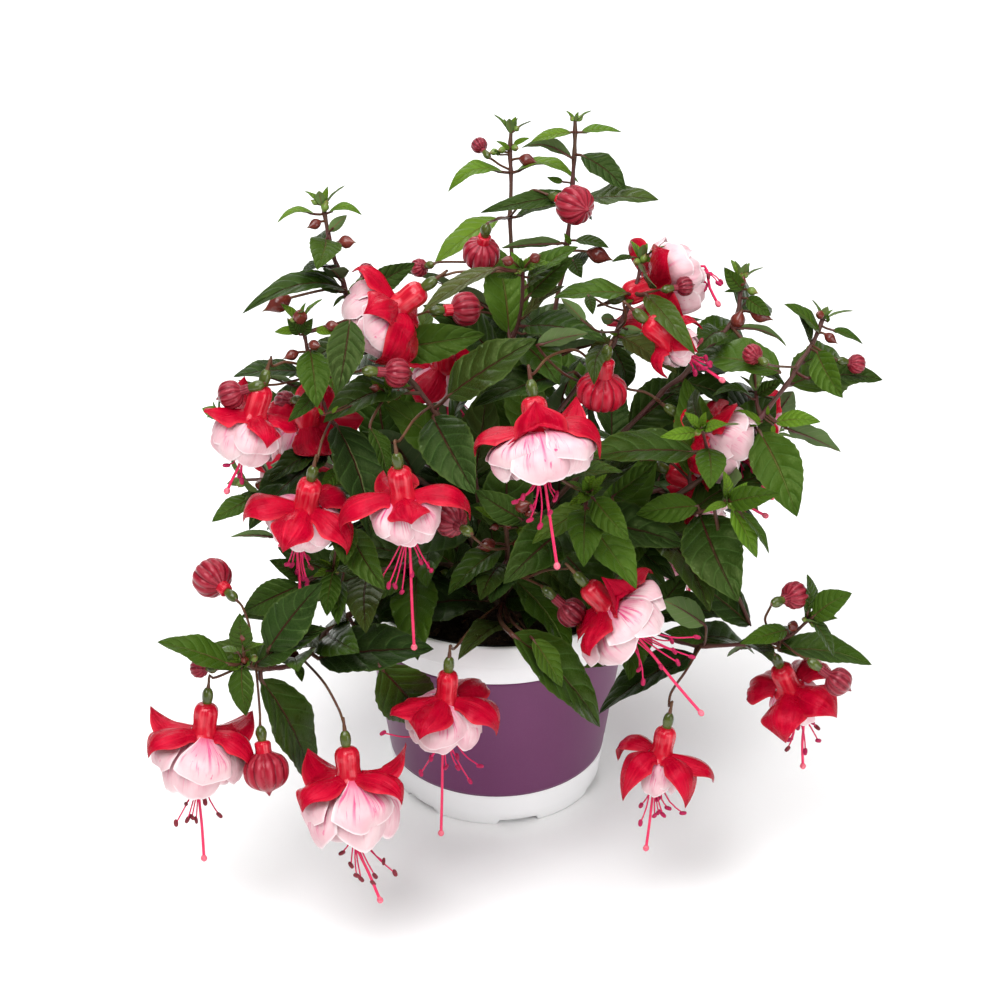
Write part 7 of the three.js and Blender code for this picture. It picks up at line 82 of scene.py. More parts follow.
 ["branch_back_9",[[[[28.5,103.2,108.0],[28.3,90.7,110.4],[26.5,77.2,112.8],[21.5,63.8,114.6],[15.5,50.8,115.2],[8.7,38.6,114.1],[4.2,27.4,110.5],[2.4,17.8,104.0],[1.5,10.9,94.0]],0.7,1.3]],[[[27.1,102.8,110.5],[21.3,112.0,117.7],[0.59,-0.34,0.73],5.3,0.12,[28.4,100.7,108.5],"y"],[[30.8,102.6,107.7],[41.5,111.0,102.4],[0.09,0.29,0.95],5.3,0.12,[28.4,100.7,108.5],"g"],[[25.3,87.6,110.9],[7.9,104.8,103.7],[0.06,0.29,0.96],12.5,0.12,[27.6,85.3,111.4],"g"],[[29.8,87.0,112.9],[47.3,100.0,122.0],[-0.52,-0.08,0.85],12.5,0.12,[27.6,85.3,111.4],"g"],[[23.8,74.2,115.6],[14.1,104.1,137.2],[0.44,-0.51,0.74],20.6,0.12,[24.5,71.9,113.6],"g"],[[27.3,73.2,112.7],[63.2,90.4,97.3],[0.13,0.31,0.94],20.6,0.12,[24.5,71.9,113.6],"g"],[[17.8,61.2,113.5],[8.1,77.6,63.1],[0.03,0.95,0.31],25.5,0.12,[19.1,58.6,114.9],"m"],[[2.6,29.0,108.7],[-12.7,72.0,101.8],[-0.04,0.14,0.99],23.6,0.08,[3.8,25.5,109.2],"g"],[[21.7,66.6,111.8],[17.5,85.6,75.7],[0.1,0.88,0.45],20.5,0.08,[22.0,65.2,114.5],"m"],[[29.7,98.8,107.0],[43.3,116.5,84.9],[0.26,0.67,0.7],15.4,0.09,[28.4,97.0,109.2],"g"],[[24.3,80.4,114.9],[3.3,110.6,134.4],[0.37,-0.31,0.88],21.0,0.09,[26.5,77.2,112.8],"m"],[[13.3,47.3,116.9],[25.6,72.6,137.9],[-0.53,-0.38,0.76],17.2,0.07,[12.1,44.7,114.7],"m"],[[18.9,55.9,117.7],[37.3,76.8,138.8],[-0.6,-0.25,0.76],17.9,0.11,[16.7,53.4,115.1],"m"],[[26.8,93.9,107.4],[13.0,111.6,82.2],[0.0,0.82,0.57],15.0,0.06,[28.3,92.0,110.2],"m"],[[5.6,17.1,103.0],[33.5,22.7,110.8],[-0.33,0.49,0.81],13.5,0.11,[2.2,16.4,102.0],"m"]],[]],
 ["branch_back_10",[[[[-44.1,98.7,110.0],[-42.0,86.3,112.3],[-38.2,73.1,114.5],[-31.1,60.5,116.0],[-23.0,48.3,116.2],[-14.2,37.2,114.7],[-8.0,26.7,110.8],[-4.6,17.4,104.1],[-2.8,10.6,94.0]],0.7,1.3]],[[[-46.6,97.4,110.4],[-58.9,102.8,108.4],[0.05,0.2,0.98],5.1,0.12,[-43.7,96.2,110.5],"y"],[[-41.4,98.5,110.8],[-32.1,108.0,110.4],[-0.26,0.12,0.96],5.1,0.12,[-43.7,96.2,110.5],"y"],[[-41.1,83.8,111.7],[-45.9,109.0,94.9],[-0.14,0.44,0.89],14.4,0.12,[-40.5,81.0,113.2],"g"],[[-41.3,82.9,115.7],[-48.5,99.9,134.5],[0.31,-0.71,0.64],14.4,0.12,[-40.5,81.0,113.2],"g"],[[-34.0,70.9,115.5],[-17.7,103.8,115.5],[-0.25,-0.0,0.97],18.5,0.12,[-35.4,68.1,115.1],"g"],[[-29.1,58.4,115.0],[-48.0,102.4,90.4],[-0.14,0.33,0.93],25.7,0.12,[-27.9,55.6,116.1],"m"],[[-21.8,42.7,115.7],[-75.6,41.3,113.6],[0.07,0.28,0.96],27.0,0.12,[-18.6,42.8,115.5],"m"],[[-11.8,33.8,111.7],[-30.4,75.4,96.4],[-0.08,0.19,0.98],23.3,0.12,[-10.5,30.9,112.4],"m"],[[-24.9,47.2,118.2],[-55.3,47.3,141.8],[0.58,0.31,0.75],18.4,0.11,[-22.1,47.2,116.1],"m"],[[-39.9,92.5,110.8],[-20.2,110.0,104.6],[-0.06,0.4,0.92],13.7,0.09,[-42.7,90.0,111.6],"m"],[[-41.0,88.4,114.6],[-35.0,118.2,132.0],[-0.36,-0.42,0.84],15.8,0.08,[-41.7,85.0,112.6],"g"],[[-16.0,35.7,115.0],[-49.2,29.7,124.9],[0.12,0.6,0.79],16.2,0.1,[-13.6,36.2,114.3],"m"],[[-29.8,62.3,113.0],[-25.7,84.4,90.7],[-0.26,0.71,0.65],14.2,0.07,[-30.3,59.3,116.0],"g"],[[-41.9,73.7,114.2],[-85.9,80.4,109.7],[-0.08,0.14,0.99],22.5,0.06,[-38.2,73.1,114.5],"m"],[[-40.4,78.8,116.2],[-52.9,100.1,145.9],[0.46,-0.62,0.64],17.2,0.12,[-39.4,77.1,113.9],"g"]],[]],
 ["branch_back_11",[[[[-107.5,51.7,112.0],[-94.8,48.6,114.3],[-80.4,43.9,116.2],[-66.3,36.2,117.4],[-52.3,27.6,117.2],[-39.4,18.5,115.3],[-27.2,11.8,111.2],[-16.6,8.0,104.2],[-9.5,5.6,94.0]],0.7,1.3]],[[[-61.1,35.8,116.4],[-63.9,65.3,79.9],[-0.48,0.66,0.57],22.5,0.12,[-60.7,32.8,117.3],"m"],[[-34.1,18.2,112.7],[-46.5,66.4,98.1],[-0.25,0.11,0.96],25.3,0.12,[-33.3,15.1,113.2],"m"],[[-49.5,26.2,112.7],[-58.6,37.0,79.8],[-0.65,0.65,0.39],15.8,0.12,[-48.4,24.9,116.7],"m"],[[-54.0,29.4,115.8],[-70.0,46.6,101.7],[-0.41,0.31,0.85],12.4,0.11,[-52.3,27.6,117.2],"g"],[[-33.3,13.4,110.5],[-69.4,16.1,95.4],[-0.35,0.28,0.89],18.8,0.11,[-29.7,13.2,112.0],"m"],[[-96.3,48.3,116.5],[-118.5,49.0,132.7],[0.56,0.32,0.76],14.0,0.14,[-93.4,48.2,114.5],"m"],[[-20.8,6.5,104.7],[-59.4,-16.0,102.0],[-0.17,0.18,0.97],22.2,0.06,[-17.7,8.4,104.9],"m"],[[-39.4,21.3,114.7],[-50.6,52.6,112.9],[-0.27,-0.04,0.96],17.3,0.06,[-38.2,17.8,114.9],"g"],[[-69.1,37.2,114.3],[-85.4,39.6,80.4],[-0.89,0.14,0.44],19.1,0.11,[-67.7,37.0,117.3],"m"],[[-58.3,31.8,114.3],[-75.9,46.5,85.8],[-0.61,0.48,0.63],16.4,0.11,[-56.5,30.2,117.3],"m"]],[]],
]
FLOWERS = [
 ["flower_01",[13.0,-98.0,243.2],[0.14,-0.42,-0.9],[[38.7,-29.5,212.7],[30.3,-52.1,232.4],[20.0,-68.8,238.6],[13.8,-83.9,239.6],[12.0,-95.1,249.5],[12.4,-96.2,247.0]],[22.8,-126.0,180.7],18.5,37,25,[[-0.77,0.47,-0.42],[0.94,-0.33,0.13],[0.56,0.82,0.11],[-0.46,-0.87,0.18]],[[7.0,-116.7,203.1],[10.0,-115.9,204.8],[13.4,-117.4,200.9],[12.6,-119.3,196.8],[16.4,-120.1,194.6],[20.1,-118.1,199.1],[22.0,-116.0,204.0],[22.7,-115.3,205.7]],1],
 ["flower_02",[-24.5,-35.0,253.4],[-0.78,-0.05,-0.62],[[10.3,-28.0,254.5],[1.8,-31.4,255.8],[-15.2,-32.7,256.1],[-21.0,-33.9,255.0],[-19.0,-34.6,257.7],[-21.2,-34.8,256.0]],[-58.6,-37.0,228.5],16,37,22,[[-0.78,0.26,0.57],[-0.53,-0.43,-0.73],[0.21,0.78,-0.59],[-0.54,-0.79,0.31]],[],2],
 ["flower_03",[-21.4,-2.0,209.4],[0.03,0.44,-0.89],[[6.0,15.9,209.7],[-8.6,5.6,218.0],[-18.6,1.7,215.6],[-21.6,-5.1,215.6],[-21.5,-3.9,213.1]],[-19.3,27.4,146.3],13,34,20,[[0.54,0.73,0.42],[0.83,-0.43,-0.34],[-0.53,-0.67,-0.52],[-0.82,0.57,0.06]],[],3],
 ["flower_04",[45.8,-18.0,236.0],[0.91,0.38,0.19],[[53.3,-17.8,237.4],[49.3,-18.0,236.0],[39.4,-20.6,234.7],[42.0,-19.6,235.2]],[87.6,-10.0,230.0],14,38,24,[[0.19,-0.48,0.86],[-0.77,-0.29,-0.57],[-0.37,0.88,0.31],[0.55,-0.79,-0.27]],[],5],
 ["flower_05",[54.1,-46.0,245.3],[0.75,-0.08,-0.66],[[47.7,-23.1,225.4],[50.2,-39.7,239.7],[48.9,-45.4,249.9],[51.0,-45.6,248.1]],[87.5,-50.0,218.0],7.5,28,14,[[0.68,-0.73,0.08],[-0.11,-0.55,-0.83],[0.09,0.64,-0.76],[0.87,0.46,0.15]],[[79.1,-45.3,232.6]],6],
 ["flower_06",[-88.1,-66.0,229.6],[-0.29,-0.24,-0.93],[[-71.1,-48.7,222.5],[-81.1,-58.6,230.8],[-85.9,-62.4,231.1],[-86.0,-64.4,236.1],[-86.9,-65.0,233.5]],[-104.0,-78.0,184.6],13,36,20,[[-0.2,0.91,0.35],[0.81,0.28,-0.52],[0.31,-0.94,-0.11],[-0.88,-0.34,0.33]],[[-100.2,-70.7,203.1],[-94.9,-68.8,205.6],[-95.6,-70.8,202.3],[-89.9,-71.3,200.8],[-86.1,-71.7,199.7]],7],
 ["flower_07",[-71.9,-52.0,212.9],[-0.13,0.44,-0.89],[[-67.1,-49.3,207.0],[-69.2,-51.2,213.3],[-71.0,-55.1,219.1],[-71.4,-53.9,216.6]],[-80.6,-22.9,150.3],13,36,21,[[-0.77,0.55,-0.33],[0.24,-0.96,-0.14],[1.0,0.04,0.0],[0.2,0.92,0.33]],[],8],
 ["flower_08",[-70.0,-86.0,198.8],[-0.2,0.06,-0.98],[[-64.5,-49.5,200.0],[-67.1,-70.5,203.0],[-68.8,-78.5,198.8],[-68.6,-86.4,205.6],[-69.2,-86.2,202.9]],[-76.9,-82.0,137.2],13.5,34,24,[[-0.98,-0.17,-0.14],[-0.31,-0.92,-0.24],[0.67,-0.49,-0.57],[0.49,0.74,-0.45]],[[-79.5,-83.4,154.2],[-77.7,-83.0,150.8],[-75.4,-82.6,147.8],[-74.0,-82.3,144.3]],9],
 ["flower_09",[-37.5,-97.0,211.0],[0.11,0.01,-0.99],[[-25.8,-41.5,201.5],[-31.9,-73.4,213.1],[-36.6,-85.6,211.8],[-38.3,-97.1,218.0],[-38.0,-97.0,215.2]],[-32.1,-97.0,125.0],12.5,36,25,[[-0.84,-0.5,-0.22],[0.98,-0.09,-0.16],[0.28,-0.9,0.32],[-0.21,0.98,-0.04]],[[-44.1,-97.4,157.6],[-39.1,-97.1,153.3],[-36.5,-97.0,150.5],[-32.5,-96.7,158.6],[-29.0,-96.5,163.9],[-26.3,-96.5,162.5]],10],
 ["flower_11",[67.6,-36.1,197.5],[0.81,-0.08,-0.58],[[38.7,-29.5,212.7],[51.1,-34.0,205.3],[58.6,-35.2,204.1],[64.3,-37.5,201.4],[61.7,-39.7,204.0],[64.2,-35.8,200.0]],[109.4,-42.1,160.2],15,37,21,[[0.34,0.93,0.14],[0.55,-0.32,0.78],[-0.01,-0.93,-0.37],[-0.29,0.28,-0.92]],[],13],
 ["flower_12",[31.6,-90.0,153.4],[0.68,-0.16,-0.72],[[4.2,-41.9,123.4],[12.5,-65.0,137.1],[19.8,-73.9,145.9],[28.3,-82.1,152.1],[26.9,-88.9,158.4],[28.8,-89.3,156.4]],[80.2,-104.0,98.7],18,36,24,[[0.71,0.66,0.25],[-0.33,-0.89,-0.32],[-0.47,0.57,-0.68],[0.53,-0.58,0.62]],[[78.3,-93.1,127.1],[76.4,-96.1,119.8],[69.4,-96.0,122.5],[64.3,-98.9,116.9],[57.3,-101.9,111.9]],14],
 ["flower_13",[100.7,-2.8,183.1],[0.12,0.59,-0.8],[[110.3,-29.4,197.7],[104.6,-10.9,189.6],[102.5,-7.9,189.3],[100.2,-5.3,186.5]],[108.4,35.8,126.1],12,33,16,[[0.66,-0.53,-0.53],[-0.72,-0.36,-0.59],[-0.64,0.68,0.35],[0.75,0.48,0.45]],[],15],
 ["flower_14",[63.9,-35.1,170.4],[0.9,0.01,-0.43],[[77.7,-51.2,171.6],[68.6,-44.2,177.6],[65.3,-41.0,176.6],[57.1,-39.3,175.8],[60.1,-35.2,172.2]],[107.9,-35.1,147.2],12,34,18,[[-0.62,0.62,-0.48],[0.41,0.74,0.53],[0.34,-0.67,0.66],[-0.22,-0.74,-0.63]],[],16],
 ["flower_15",[111.3,-74.0,104.6],[0.36,0.13,-0.93],[[113.6,-69.1,110.3],[112.0,-72.7,108.4],[108.8,-74.9,111.0],[109.8,-74.5,108.4]],[124.9,-68.0,47.7],9,33,23,[[-0.11,-0.84,-0.53],[0.76,-0.64,-0.14],[-0.52,0.59,-0.62],[0.69,0.7,-0.2]],[[122.0,-69.2,67.9],[127.5,-69.7,70.7]],17],
 ["flower_16",[68.5,-90.0,87.1],[-0.16,-0.1,-0.98],[[82.4,-57.2,99.2],[75.3,-73.0,97.1],[69.6,-79.0,91.1],[68.7,-84.6,88.7],[69.6,-89.3,94.0],[69.2,-89.6,91.2]],[60.4,-96.0,27.0],9.5,34,23,[[-0.65,-0.43,-0.63],[0.4,-0.72,-0.57],[0.89,-0.3,-0.33],[-0.71,0.53,-0.46]],[[64.8,-94.0,49.9],[68.9,-94.9,46.1],[74.9,-95.8,44.3]],18],
 ["flower_17",[-18.7,-86.0,111.1],[-0.07,-0.06,-1.0],[[2.6,-32.0,104.0],[-8.6,-63.0,113.5],[-16.5,-74.9,109.9],[-18.2,-85.6,118.1],[-18.4,-85.8,115.3]],[-22.5,-90.0,30.1],15.5,37,24,[[-0.9,-0.44,0.02],[-0.42,-0.9,-0.14],[0.82,-0.33,-0.47],[0.59,0.75,-0.31]],[[-45.3,-87.0,77.3],[-30.3,-88.9,59.1],[-26.2,-88.6,66.2],[-20.2,-88.7,61.9],[-15.8,-88.5,66.7],[-10.7,-89.1,55.3],[-6.6,-88.9,62.5]],19],
 ["flower_18",[-59.1,-113.0,94.4],[0.08,-0.29,-0.95],[[-77.1,-72.3,102.7],[-67.6,-91.8,104.1],[-61.9,-99.3,96.9],[-59.8,-106.3,95.0],[-59.7,-111.0,101.1],[-59.5,-111.8,98.5]],[-46.0,-133.0,29.1],19.5,43,25,[[-0.65,0.76,0.01],[0.84,0.33,0.43],[-0.69,-0.71,-0.1],[0.83,-0.56,-0.08]],[[-60.8,-128.2,48.6],[-57.3,-129.5,43.6],[-53.4,-131.0,37.9],[-47.9,-129.8,38.5],[-48.7,-130.9,35.9],[-40.1,-128.4,38.9]],20],
 ["flower_19",[-112.8,-103.0,107.9],[-0.11,-0.22,-0.97],[[-98.1,-100.0,119.1],[-104.3,-101.7,116.5],[-110.6,-102.4,114.1],[-112.0,-101.4,114.7],[-112.3,-102.1,112.0]],[-116.1,-119.0,39.2],17,40,24,[[-0.86,0.47,0.21],[0.71,0.7,-0.04],[-0.86,-0.5,-0.1],[0.74,-0.35,-0.58]],[[-126.7,-116.5,54.5],[-122.6,-114.1,62.1],[-120.4,-115.2,56.5],[-118.8,-115.4,55.2],[-115.1,-113.2,62.4]],21],
 ["flower_20",[78.2,67.8,125.7],[0.14,0.15,-0.98],[[67.5,55.9,141.7],[71.4,60.2,142.7],[74.2,63.4,141.2],[76.2,65.6,136.9],[77.6,67.2,129.8]],[87.4,78.0,61.1],15,36,23,[[-0.96,0.1,-0.26],[0.09,0.99,-0.08],[1.0,-0.06,-0.02],[-0.03,-0.94,-0.35]],[],31],
 ["flower_21",[-5.2,84.6,133.5],[-0.0,0.07,-1.0],[[-4.7,68.6,149.5],[-4.9,74.8,150.6],[-5.0,79.5,149.1],[-5.2,82.8,144.9],[-5.2,84.3,137.7]],[-5.4,89.3,67.6],15,36,23,[[-0.94,0.29,-0.17],[0.28,0.96,-0.07],[0.96,-0.27,-0.11],[-0.27,-0.9,-0.35]],[],32],
 ["flower_22",[-81.4,58.5,131.1],[-0.2,0.18,-0.96],[[-69.5,47.8,147.1],[-73.8,51.6,148.1],[-76.7,54.3,146.5],[-78.8,56.2,142.3],[-80.6,57.8,135.2]],[-94.5,70.3,67.5],15,36,23,[[0.87,-0.16,-0.46],[-0.28,-0.9,-0.33],[-0.96,0.22,0.14],[0.23,0.97,0.06]],[],33],
 ["flower_24",[31.1,107.8,94.2],[0.02,0.09,-1.0],[[28.3,92.0,110.2],[29.3,98.0,111.3],[30.1,102.6,109.8],[30.7,105.7,105.6],[31.0,107.4,98.4]],[32.1,113.9,28.5],15,36,23,[[-0.87,-0.37,-0.33],[-0.4,0.9,-0.17],[0.91,0.41,0.05],[0.41,-0.9,-0.14]],[],35],
 ["flower_25",[76.4,23.8,116.3],[0.13,0.03,-0.99],[[82.2,13.7,136.4],[77.4,18.3,135.4],[77.3,20.7,133.1],[77.0,22.4,128.2],[75.9,23.7,120.5]],[84.9,25.6,50.9],15,36,23,[[0.97,0.25,-0.01],[0.28,-0.92,-0.27],[-0.94,-0.25,-0.25],[-0.25,0.97,-0.03]],[],36],
]
BUDS = [
 ["bud_01",[22.7,10.0,267.1],[0.62,-0.78,0.12],[[5.4,31.7,247.4],[10.9,19.2,261.2],[14.5,14.5,268.0],[20.6,12.6,266.7]],7.5,1.7,13.5],
 ["bud_02",[-4.1,-4.0,259.7],[-0.15,0.27,-0.95],[[5.4,31.7,247.4],[1.0,11.2,256.8],[-2.5,3.3,259.5],[-3.6,-4.9,262.9]],7.1,1.6,13.1],
 ["bud_03",[-23.7,-22.0,233.3],[0.94,0.32,-0.1],[[-57.5,-23.4,234.6],[-43.7,-22.7,230.6],[-33.9,-22.5,230.9],[-27.6,-22.2,233.0],[-26.9,-23.1,233.6]],6.5,1.35,12.5],
 ["bud_04",[-91.4,-70.0,226.6],[-0.93,0.05,-0.37],[[-70.3,-48.8,219.5],[-83.2,-61.0,222.4],[-88.6,-65.6,224.6],[-88.5,-70.1,227.8]],5.3,1.2,11.3],
 ["bud_05",[-103.0,-88.0,142.9],[-0.63,0.76,0.15],[[-97.3,-98.9,118.0],[-96.2,-92.7,130.1],[-99.1,-90.2,139.7],[-100.9,-90.6,142.4]],7.6,1.7,13.6],
 ["bud_06",[-48.7,-66.0,230.9],[0.95,0.23,-0.2],[[-69.6,-48.9,216.5],[-58.2,-58.7,226.0],[-52.3,-62.5,228.9],[-51.8,-66.7,231.6]],5.5,1.25,11.5],
 ["bud_07",[-11.2,-97.0,178.2],[-0.54,0.84,-0.11],[[4.2,-51.6,141.9],[-3.3,-77.7,158.5],[-9.0,-87.7,169.7],[-9.4,-99.8,178.6]],6.3,1.4,12.3],
 ["bud_08",[20.2,-82.0,140.9],[0.74,-0.2,-0.64],[[4.2,-41.9,123.4],[10.9,-65.0,136.5],[17.1,-73.8,138.9],[17.7,-81.3,143.1]],5.7,1.3,12.7],
 ["bud_09",[109.8,-84.0,137.5],[0.71,0.69,-0.14],[[111.1,-68.1,109.0],[106.0,-77.2,124.7],[107.4,-80.7,132.6],[107.7,-86.0,137.9]],5.3,1.1,10.8],
 ["bud_10",[125.1,-88.0,111.0],[0.81,-0.2,-0.56],[[113.0,-68.9,109.8],[119.0,-79.9,110.4],[122.3,-84.1,110.8],[122.7,-87.4,112.7]],5.5,1.15,12.4],
 ["bud_11",[-92.1,-110.0,93.3],[0.12,-0.39,-0.91],[[-94.3,-94.7,113.6],[-93.1,-103.5,109.2],[-92.5,-106.8,99.7],[-92.5,-108.7,96.4]],8.6,1.8,15.7],
 ["bud_12",[135.7,-30.0,215.3],[0.82,0.41,-0.4],[[124.7,-17.4,215.6],[129.9,-24.6,215.5],[133.2,-27.4,214.8],[134.0,-30.9,216.1]],3.7,0.8,7.7],
 ["bud_13",[-110.7,-104.0,119.4],[-0.71,0.61,-0.35],[[-98.1,-100.0,119.1],[-104.2,-102.3,118.7],[-107.6,-103.2,118.9],[-109.2,-105.3,120.1]],3.7,0.8,7.7],
 ["bud_14",[-54.0,-14.0,241.4],[0.46,0.75,0.47],[[-58.7,-21.6,239.1],[-56.3,-16.1,239.5],[-54.8,-15.4,240.6]],3.1,0.7,6.6],
 ["bud_15",[-3.8,38.0,271.9],[-0.48,0.84,0.26],[[5.8,39.0,264.7],[1.4,38.4,267.3],[-1.4,38.2,269.6],[-2.9,36.5,271.5]],3.2,0.7,6.7],
 ["bud_16",[66.5,-26.0,245.1],[0.93,0.37,-0.03],[[53.6,-17.5,238.0],[60.0,-22.4,241.9],[63.4,-24.3,243.8],[64.5,-26.8,245.2]],3.7,0.8,7.7],
 ["bud_17",[-26.4,2.0,241.1],[-0.61,0.61,-0.5],[[6.2,24.6,230.5],[-10.6,11.6,237.4],[-22.5,6.6,240.0],[-25.2,0.8,242.0]],3.6,0.75,7.3],
 ["bud_18",[-78.0,-44.0,205.6],[-0.58,0.66,-0.48],[[-68.1,-49.1,210.5],[-74.7,-45.4,207.8],[-76.6,-45.5,206.8]],4.3,0.9,8.8],
 ["bud_19",[126.8,-76.0,127.7],[0.68,0.73,-0.07],[[122.8,-73.7,121.9],[125.0,-75.4,124.9],[125.8,-77.1,127.8]],2.8,0.6,5.8],
 ["bud_20",[104.0,-44.0,222.6],[-0.54,0.84,-0.01],[[118.8,-22.3,208.2],[108.8,-38.0,217.5],[105.1,-45.7,222.7]],3.9,0.8,7.9],
 ["bud_21",[42.9,-44.0,227.1],[-0.1,0.0,-0.99],[[40.6,-28.4,214.7],[43.4,-38.0,226.0],[44.6,-44.0,231.5],[43.0,-44.0,228.2]],9.2,1.7,19.5],
]


POT_RIM_R, POT_H, POT_WALL, BASE_R = 60.0, 100.0, 1.4, 43.4
BAND_Z, BAND_STEP, FLOOR_Z, NOTCH_H, NOTCHES = 88.0, 1.4, 4.0, 2.6, 6
NOTCH_TURN = math.radians(-108.0)
LABEL_Z0, LABEL_Z1, SOIL_Z, CROWN_R = 16.0, 79.0, 91.0, 14.0


# ---------------------------------------------------------------- small vector helpers
def vec(a):
    return np.array(a, float)


def unit(a):
    n = np.linalg.norm(a)
    return a / n if n > 1e-9 else a


def perp(a, ref=None):
    """A unit vector square to a, near ref where one is given."""
    if ref is None:
        ref = np.array([0, 0, 1.0]) if abs(a[2]) < 0.8 else np.array([1.0, 0, 0])
    return unit(ref - a * (ref @ a))


def smooth_path(points, step):
    """A smooth line through the points (Catmull-Rom, centripetal enough for these), one point about every step."""
    P = [vec(p) for p in points]
    keep = [P[0]]
    for p in P[1:]:
        if np.linalg.norm(p - keep[-1]) > 0.4:
            keep.append(p)
    P = keep
    if len(P) < 3:
        n = max(2, int(np.linalg.norm(P[-1] - P[0]) / step) + 1)
        return np.array([P[0] + (P[-1] - P[0]) * t for t in np.linspace(0, 1, n)])
    Q = [2 * P[0] - P[1]] + P + [2 * P[-1] - P[-2]]
    out = []
    for i in range(1, len(Q) - 2):
        a, b, c, d = Q[i - 1], Q[i], Q[i + 1], Q[i + 2]
        L = np.linalg.norm(c - b)
        m1 = (c - a) / max(np.linalg.norm(c - b) + np.linalg.norm(b - a), 1e-6) * L
        m2 = (d - b) / max(np.linalg.norm(d - c) + np.linalg.norm(c - b), 1e-6) * L
        n = max(1, int(round(L / step)))
        for k in range(n):
            t = k / n
            h = [2 * t**3 - 3 * t**2 + 1, t**3 - 2 * t**2 + t, -2 * t**3 + 3 * t**2, t**3 - t**2]
            out.append(b * h[0] + m1 * h[1] + c * h[2] + m2 * h[3])
    out.append(P[-1])
    return np.array(out)


# ---------------------------------------------------------------- mesh gathering
class Gather:
    """Collects grids into one mesh with two point attributes: spot (across, along, random) and tone (three numbers)."""

    def __init__(self):
        self.v, self.f, self.m, self.spot, self.tone, self.n = [], [], [], [], [], 0

    def grid(self, P, spot, tone, mat, wrap=False, flip=False):
        nr, nc = P.shape[:2]
        idx = self.n + np.arange(nr * nc).reshape(nr, nc)
        self.v.append(P.reshape(-1, 3))
        self.spot.append(np.broadcast_to(spot, (nr, nc, 3)).reshape(-1, 3))
        self.tone.append(np.broadcast_to(np.asarray(tone, float), (nr, nc, 3)).reshape(-1, 3))
        a = idx[:-1, :-1].ravel(); b = idx[:-1, 1:].ravel(); c = idx[1:, 1:].ravel(); d = idx[1:, :-1].ravel()
        q = np.stack([a, b, c, d], 1)
        if wrap:
            q = np.concatenate([q, np.stack([idx[:-1, -1], idx[:-1, 0], idx[1:, 0], idx[1:, -1]], 1)])
        if flip:
            q = q[:, ::-1]
        self.f.append(q)
        self.m.append(np.full(len(q), mat))
        self.n += nr * nc

    def fan(self, ring, centre, spot, tone, mat, flip=False):
        k = len(ring)
        self.v.append(np.vstack([ring, centre]))
        self.spot.append(np.broadcast_to(spot, (k + 1, 3)))
        self.tone.append(np.broadcast_to(np.asarray(tone, float), (k + 1, 3)))
        i = np.arange(k)
        q = np.stack([self.n + i, self.n + (i + 1) % k, np.full(k, self.n + k), np.full(k, self.n + k)], 1)
        if flip:
            q = q[:, [1, 0, 2, 3]]
        self.f.append(q)
        self.m.append(np.full(k, mat))
        self.n += k + 1

    def piece(self, name, materials, slot, nodes=(), smooth=True):
        V = np.vstack(self.v) * MM
        Q = np.vstack(self.f)
        mi = np.concatenate(self.m)
        tri = Q[:, 2] == Q[:, 3]
        sizes = np.where(tri, 3, 4)
        starts = np.concatenate([[0], np.cumsum(sizes)[:-1]])
        flat = Q[np.ones_like(Q, bool) & ~np.stack([tri * 0 > 1, tri * 0 > 1, tri * 0 > 1, tri], 1)]
        me = bpy.data.meshes.new(name)
        me.vertices.add(len(V)); me.vertices.foreach_set("co", V.astype(np.float32).ravel())
        me.loops.add(len(flat)); me.loops.foreach_set("vertex_index", flat.astype(np.int32))
        me.polygons.add(len(Q)); me.polygons.foreach_set("loop_start", starts.astype(np.int32))
        me.polygons.foreach_set("material_index", mi.astype(np.int32))
        me.polygons.foreach_set("use_smooth", np.full(len(Q), smooth))
        for key, rows in (("spot", self.spot), ("tone", self.tone)):
            at = me.attributes.new(key, "FLOAT_VECTOR", "POINT")
            at.data.foreach_set("vector", np.vstack(rows).astype(np.float32).ravel())
        me.update(); me.validate()
        for m in materials:
            me.materials.append(m)
        o = bpy.data.objects.new(name, me)
        bpy.context.scene.collection.objects.link(o)
        PIECES.append((o, slot, nodes))
        return o


PIECES = []


def frames(path, ref=None):
    """Tangent and two square directions along a path, without twist."""
    n = len(path)
    T = np.gradient(path, axis=0)
    T = T / np.maximum(np.linalg.norm(T, axis=1, keepdims=True), 1e-9)
    U = np.zeros_like(T)
    u = perp(T[0], ref)
    for i in range(n):
        u = unit(u - T[i] * (u @ T[i]))
        U[i] = u
    return T, U, np.cross(T, U)


def tube(g, path, radii, sides, mat, tone=(0, 0, 0), rnd=0.0, ref=None, caps=True, ribs=0, rib=0.0):
    path = np.asarray(path, float)
    n = len(path)
    T, U, W = frames(path, ref)
    r = np.broadcast_to(np.asarray(radii, float), (n,))[:, None]
    a = np.linspace(0, 2 * math.pi, sides, endpoint=False)[None, :]
    rr = r * (1 + rib * np.cos(ribs * a)) if ribs else r * np.ones_like(a)
    P = path[:, None] + U[:, None] * (rr * np.cos(a))[..., None] + W[:, None] * (rr * np.sin(a))[..., None]
    spot = np.zeros((n, sides, 3))
    spot[..., 0] = a / (2 * math.pi); spot[..., 1] = np.linspace(0, 1, n)[:, None]; spot[..., 2] = rnd
    g.grid(P, spot, tone, mat, wrap=True)
    if caps:
        g.fan(P[0], path[0] - T[0] * r[0] * 0.4, spot[0, 0], tone, mat, flip=True)
        g.fan(P[-1], path[-1] + T[-1] * r[-1] * 0.4, spot[-1, 0], tone, mat)


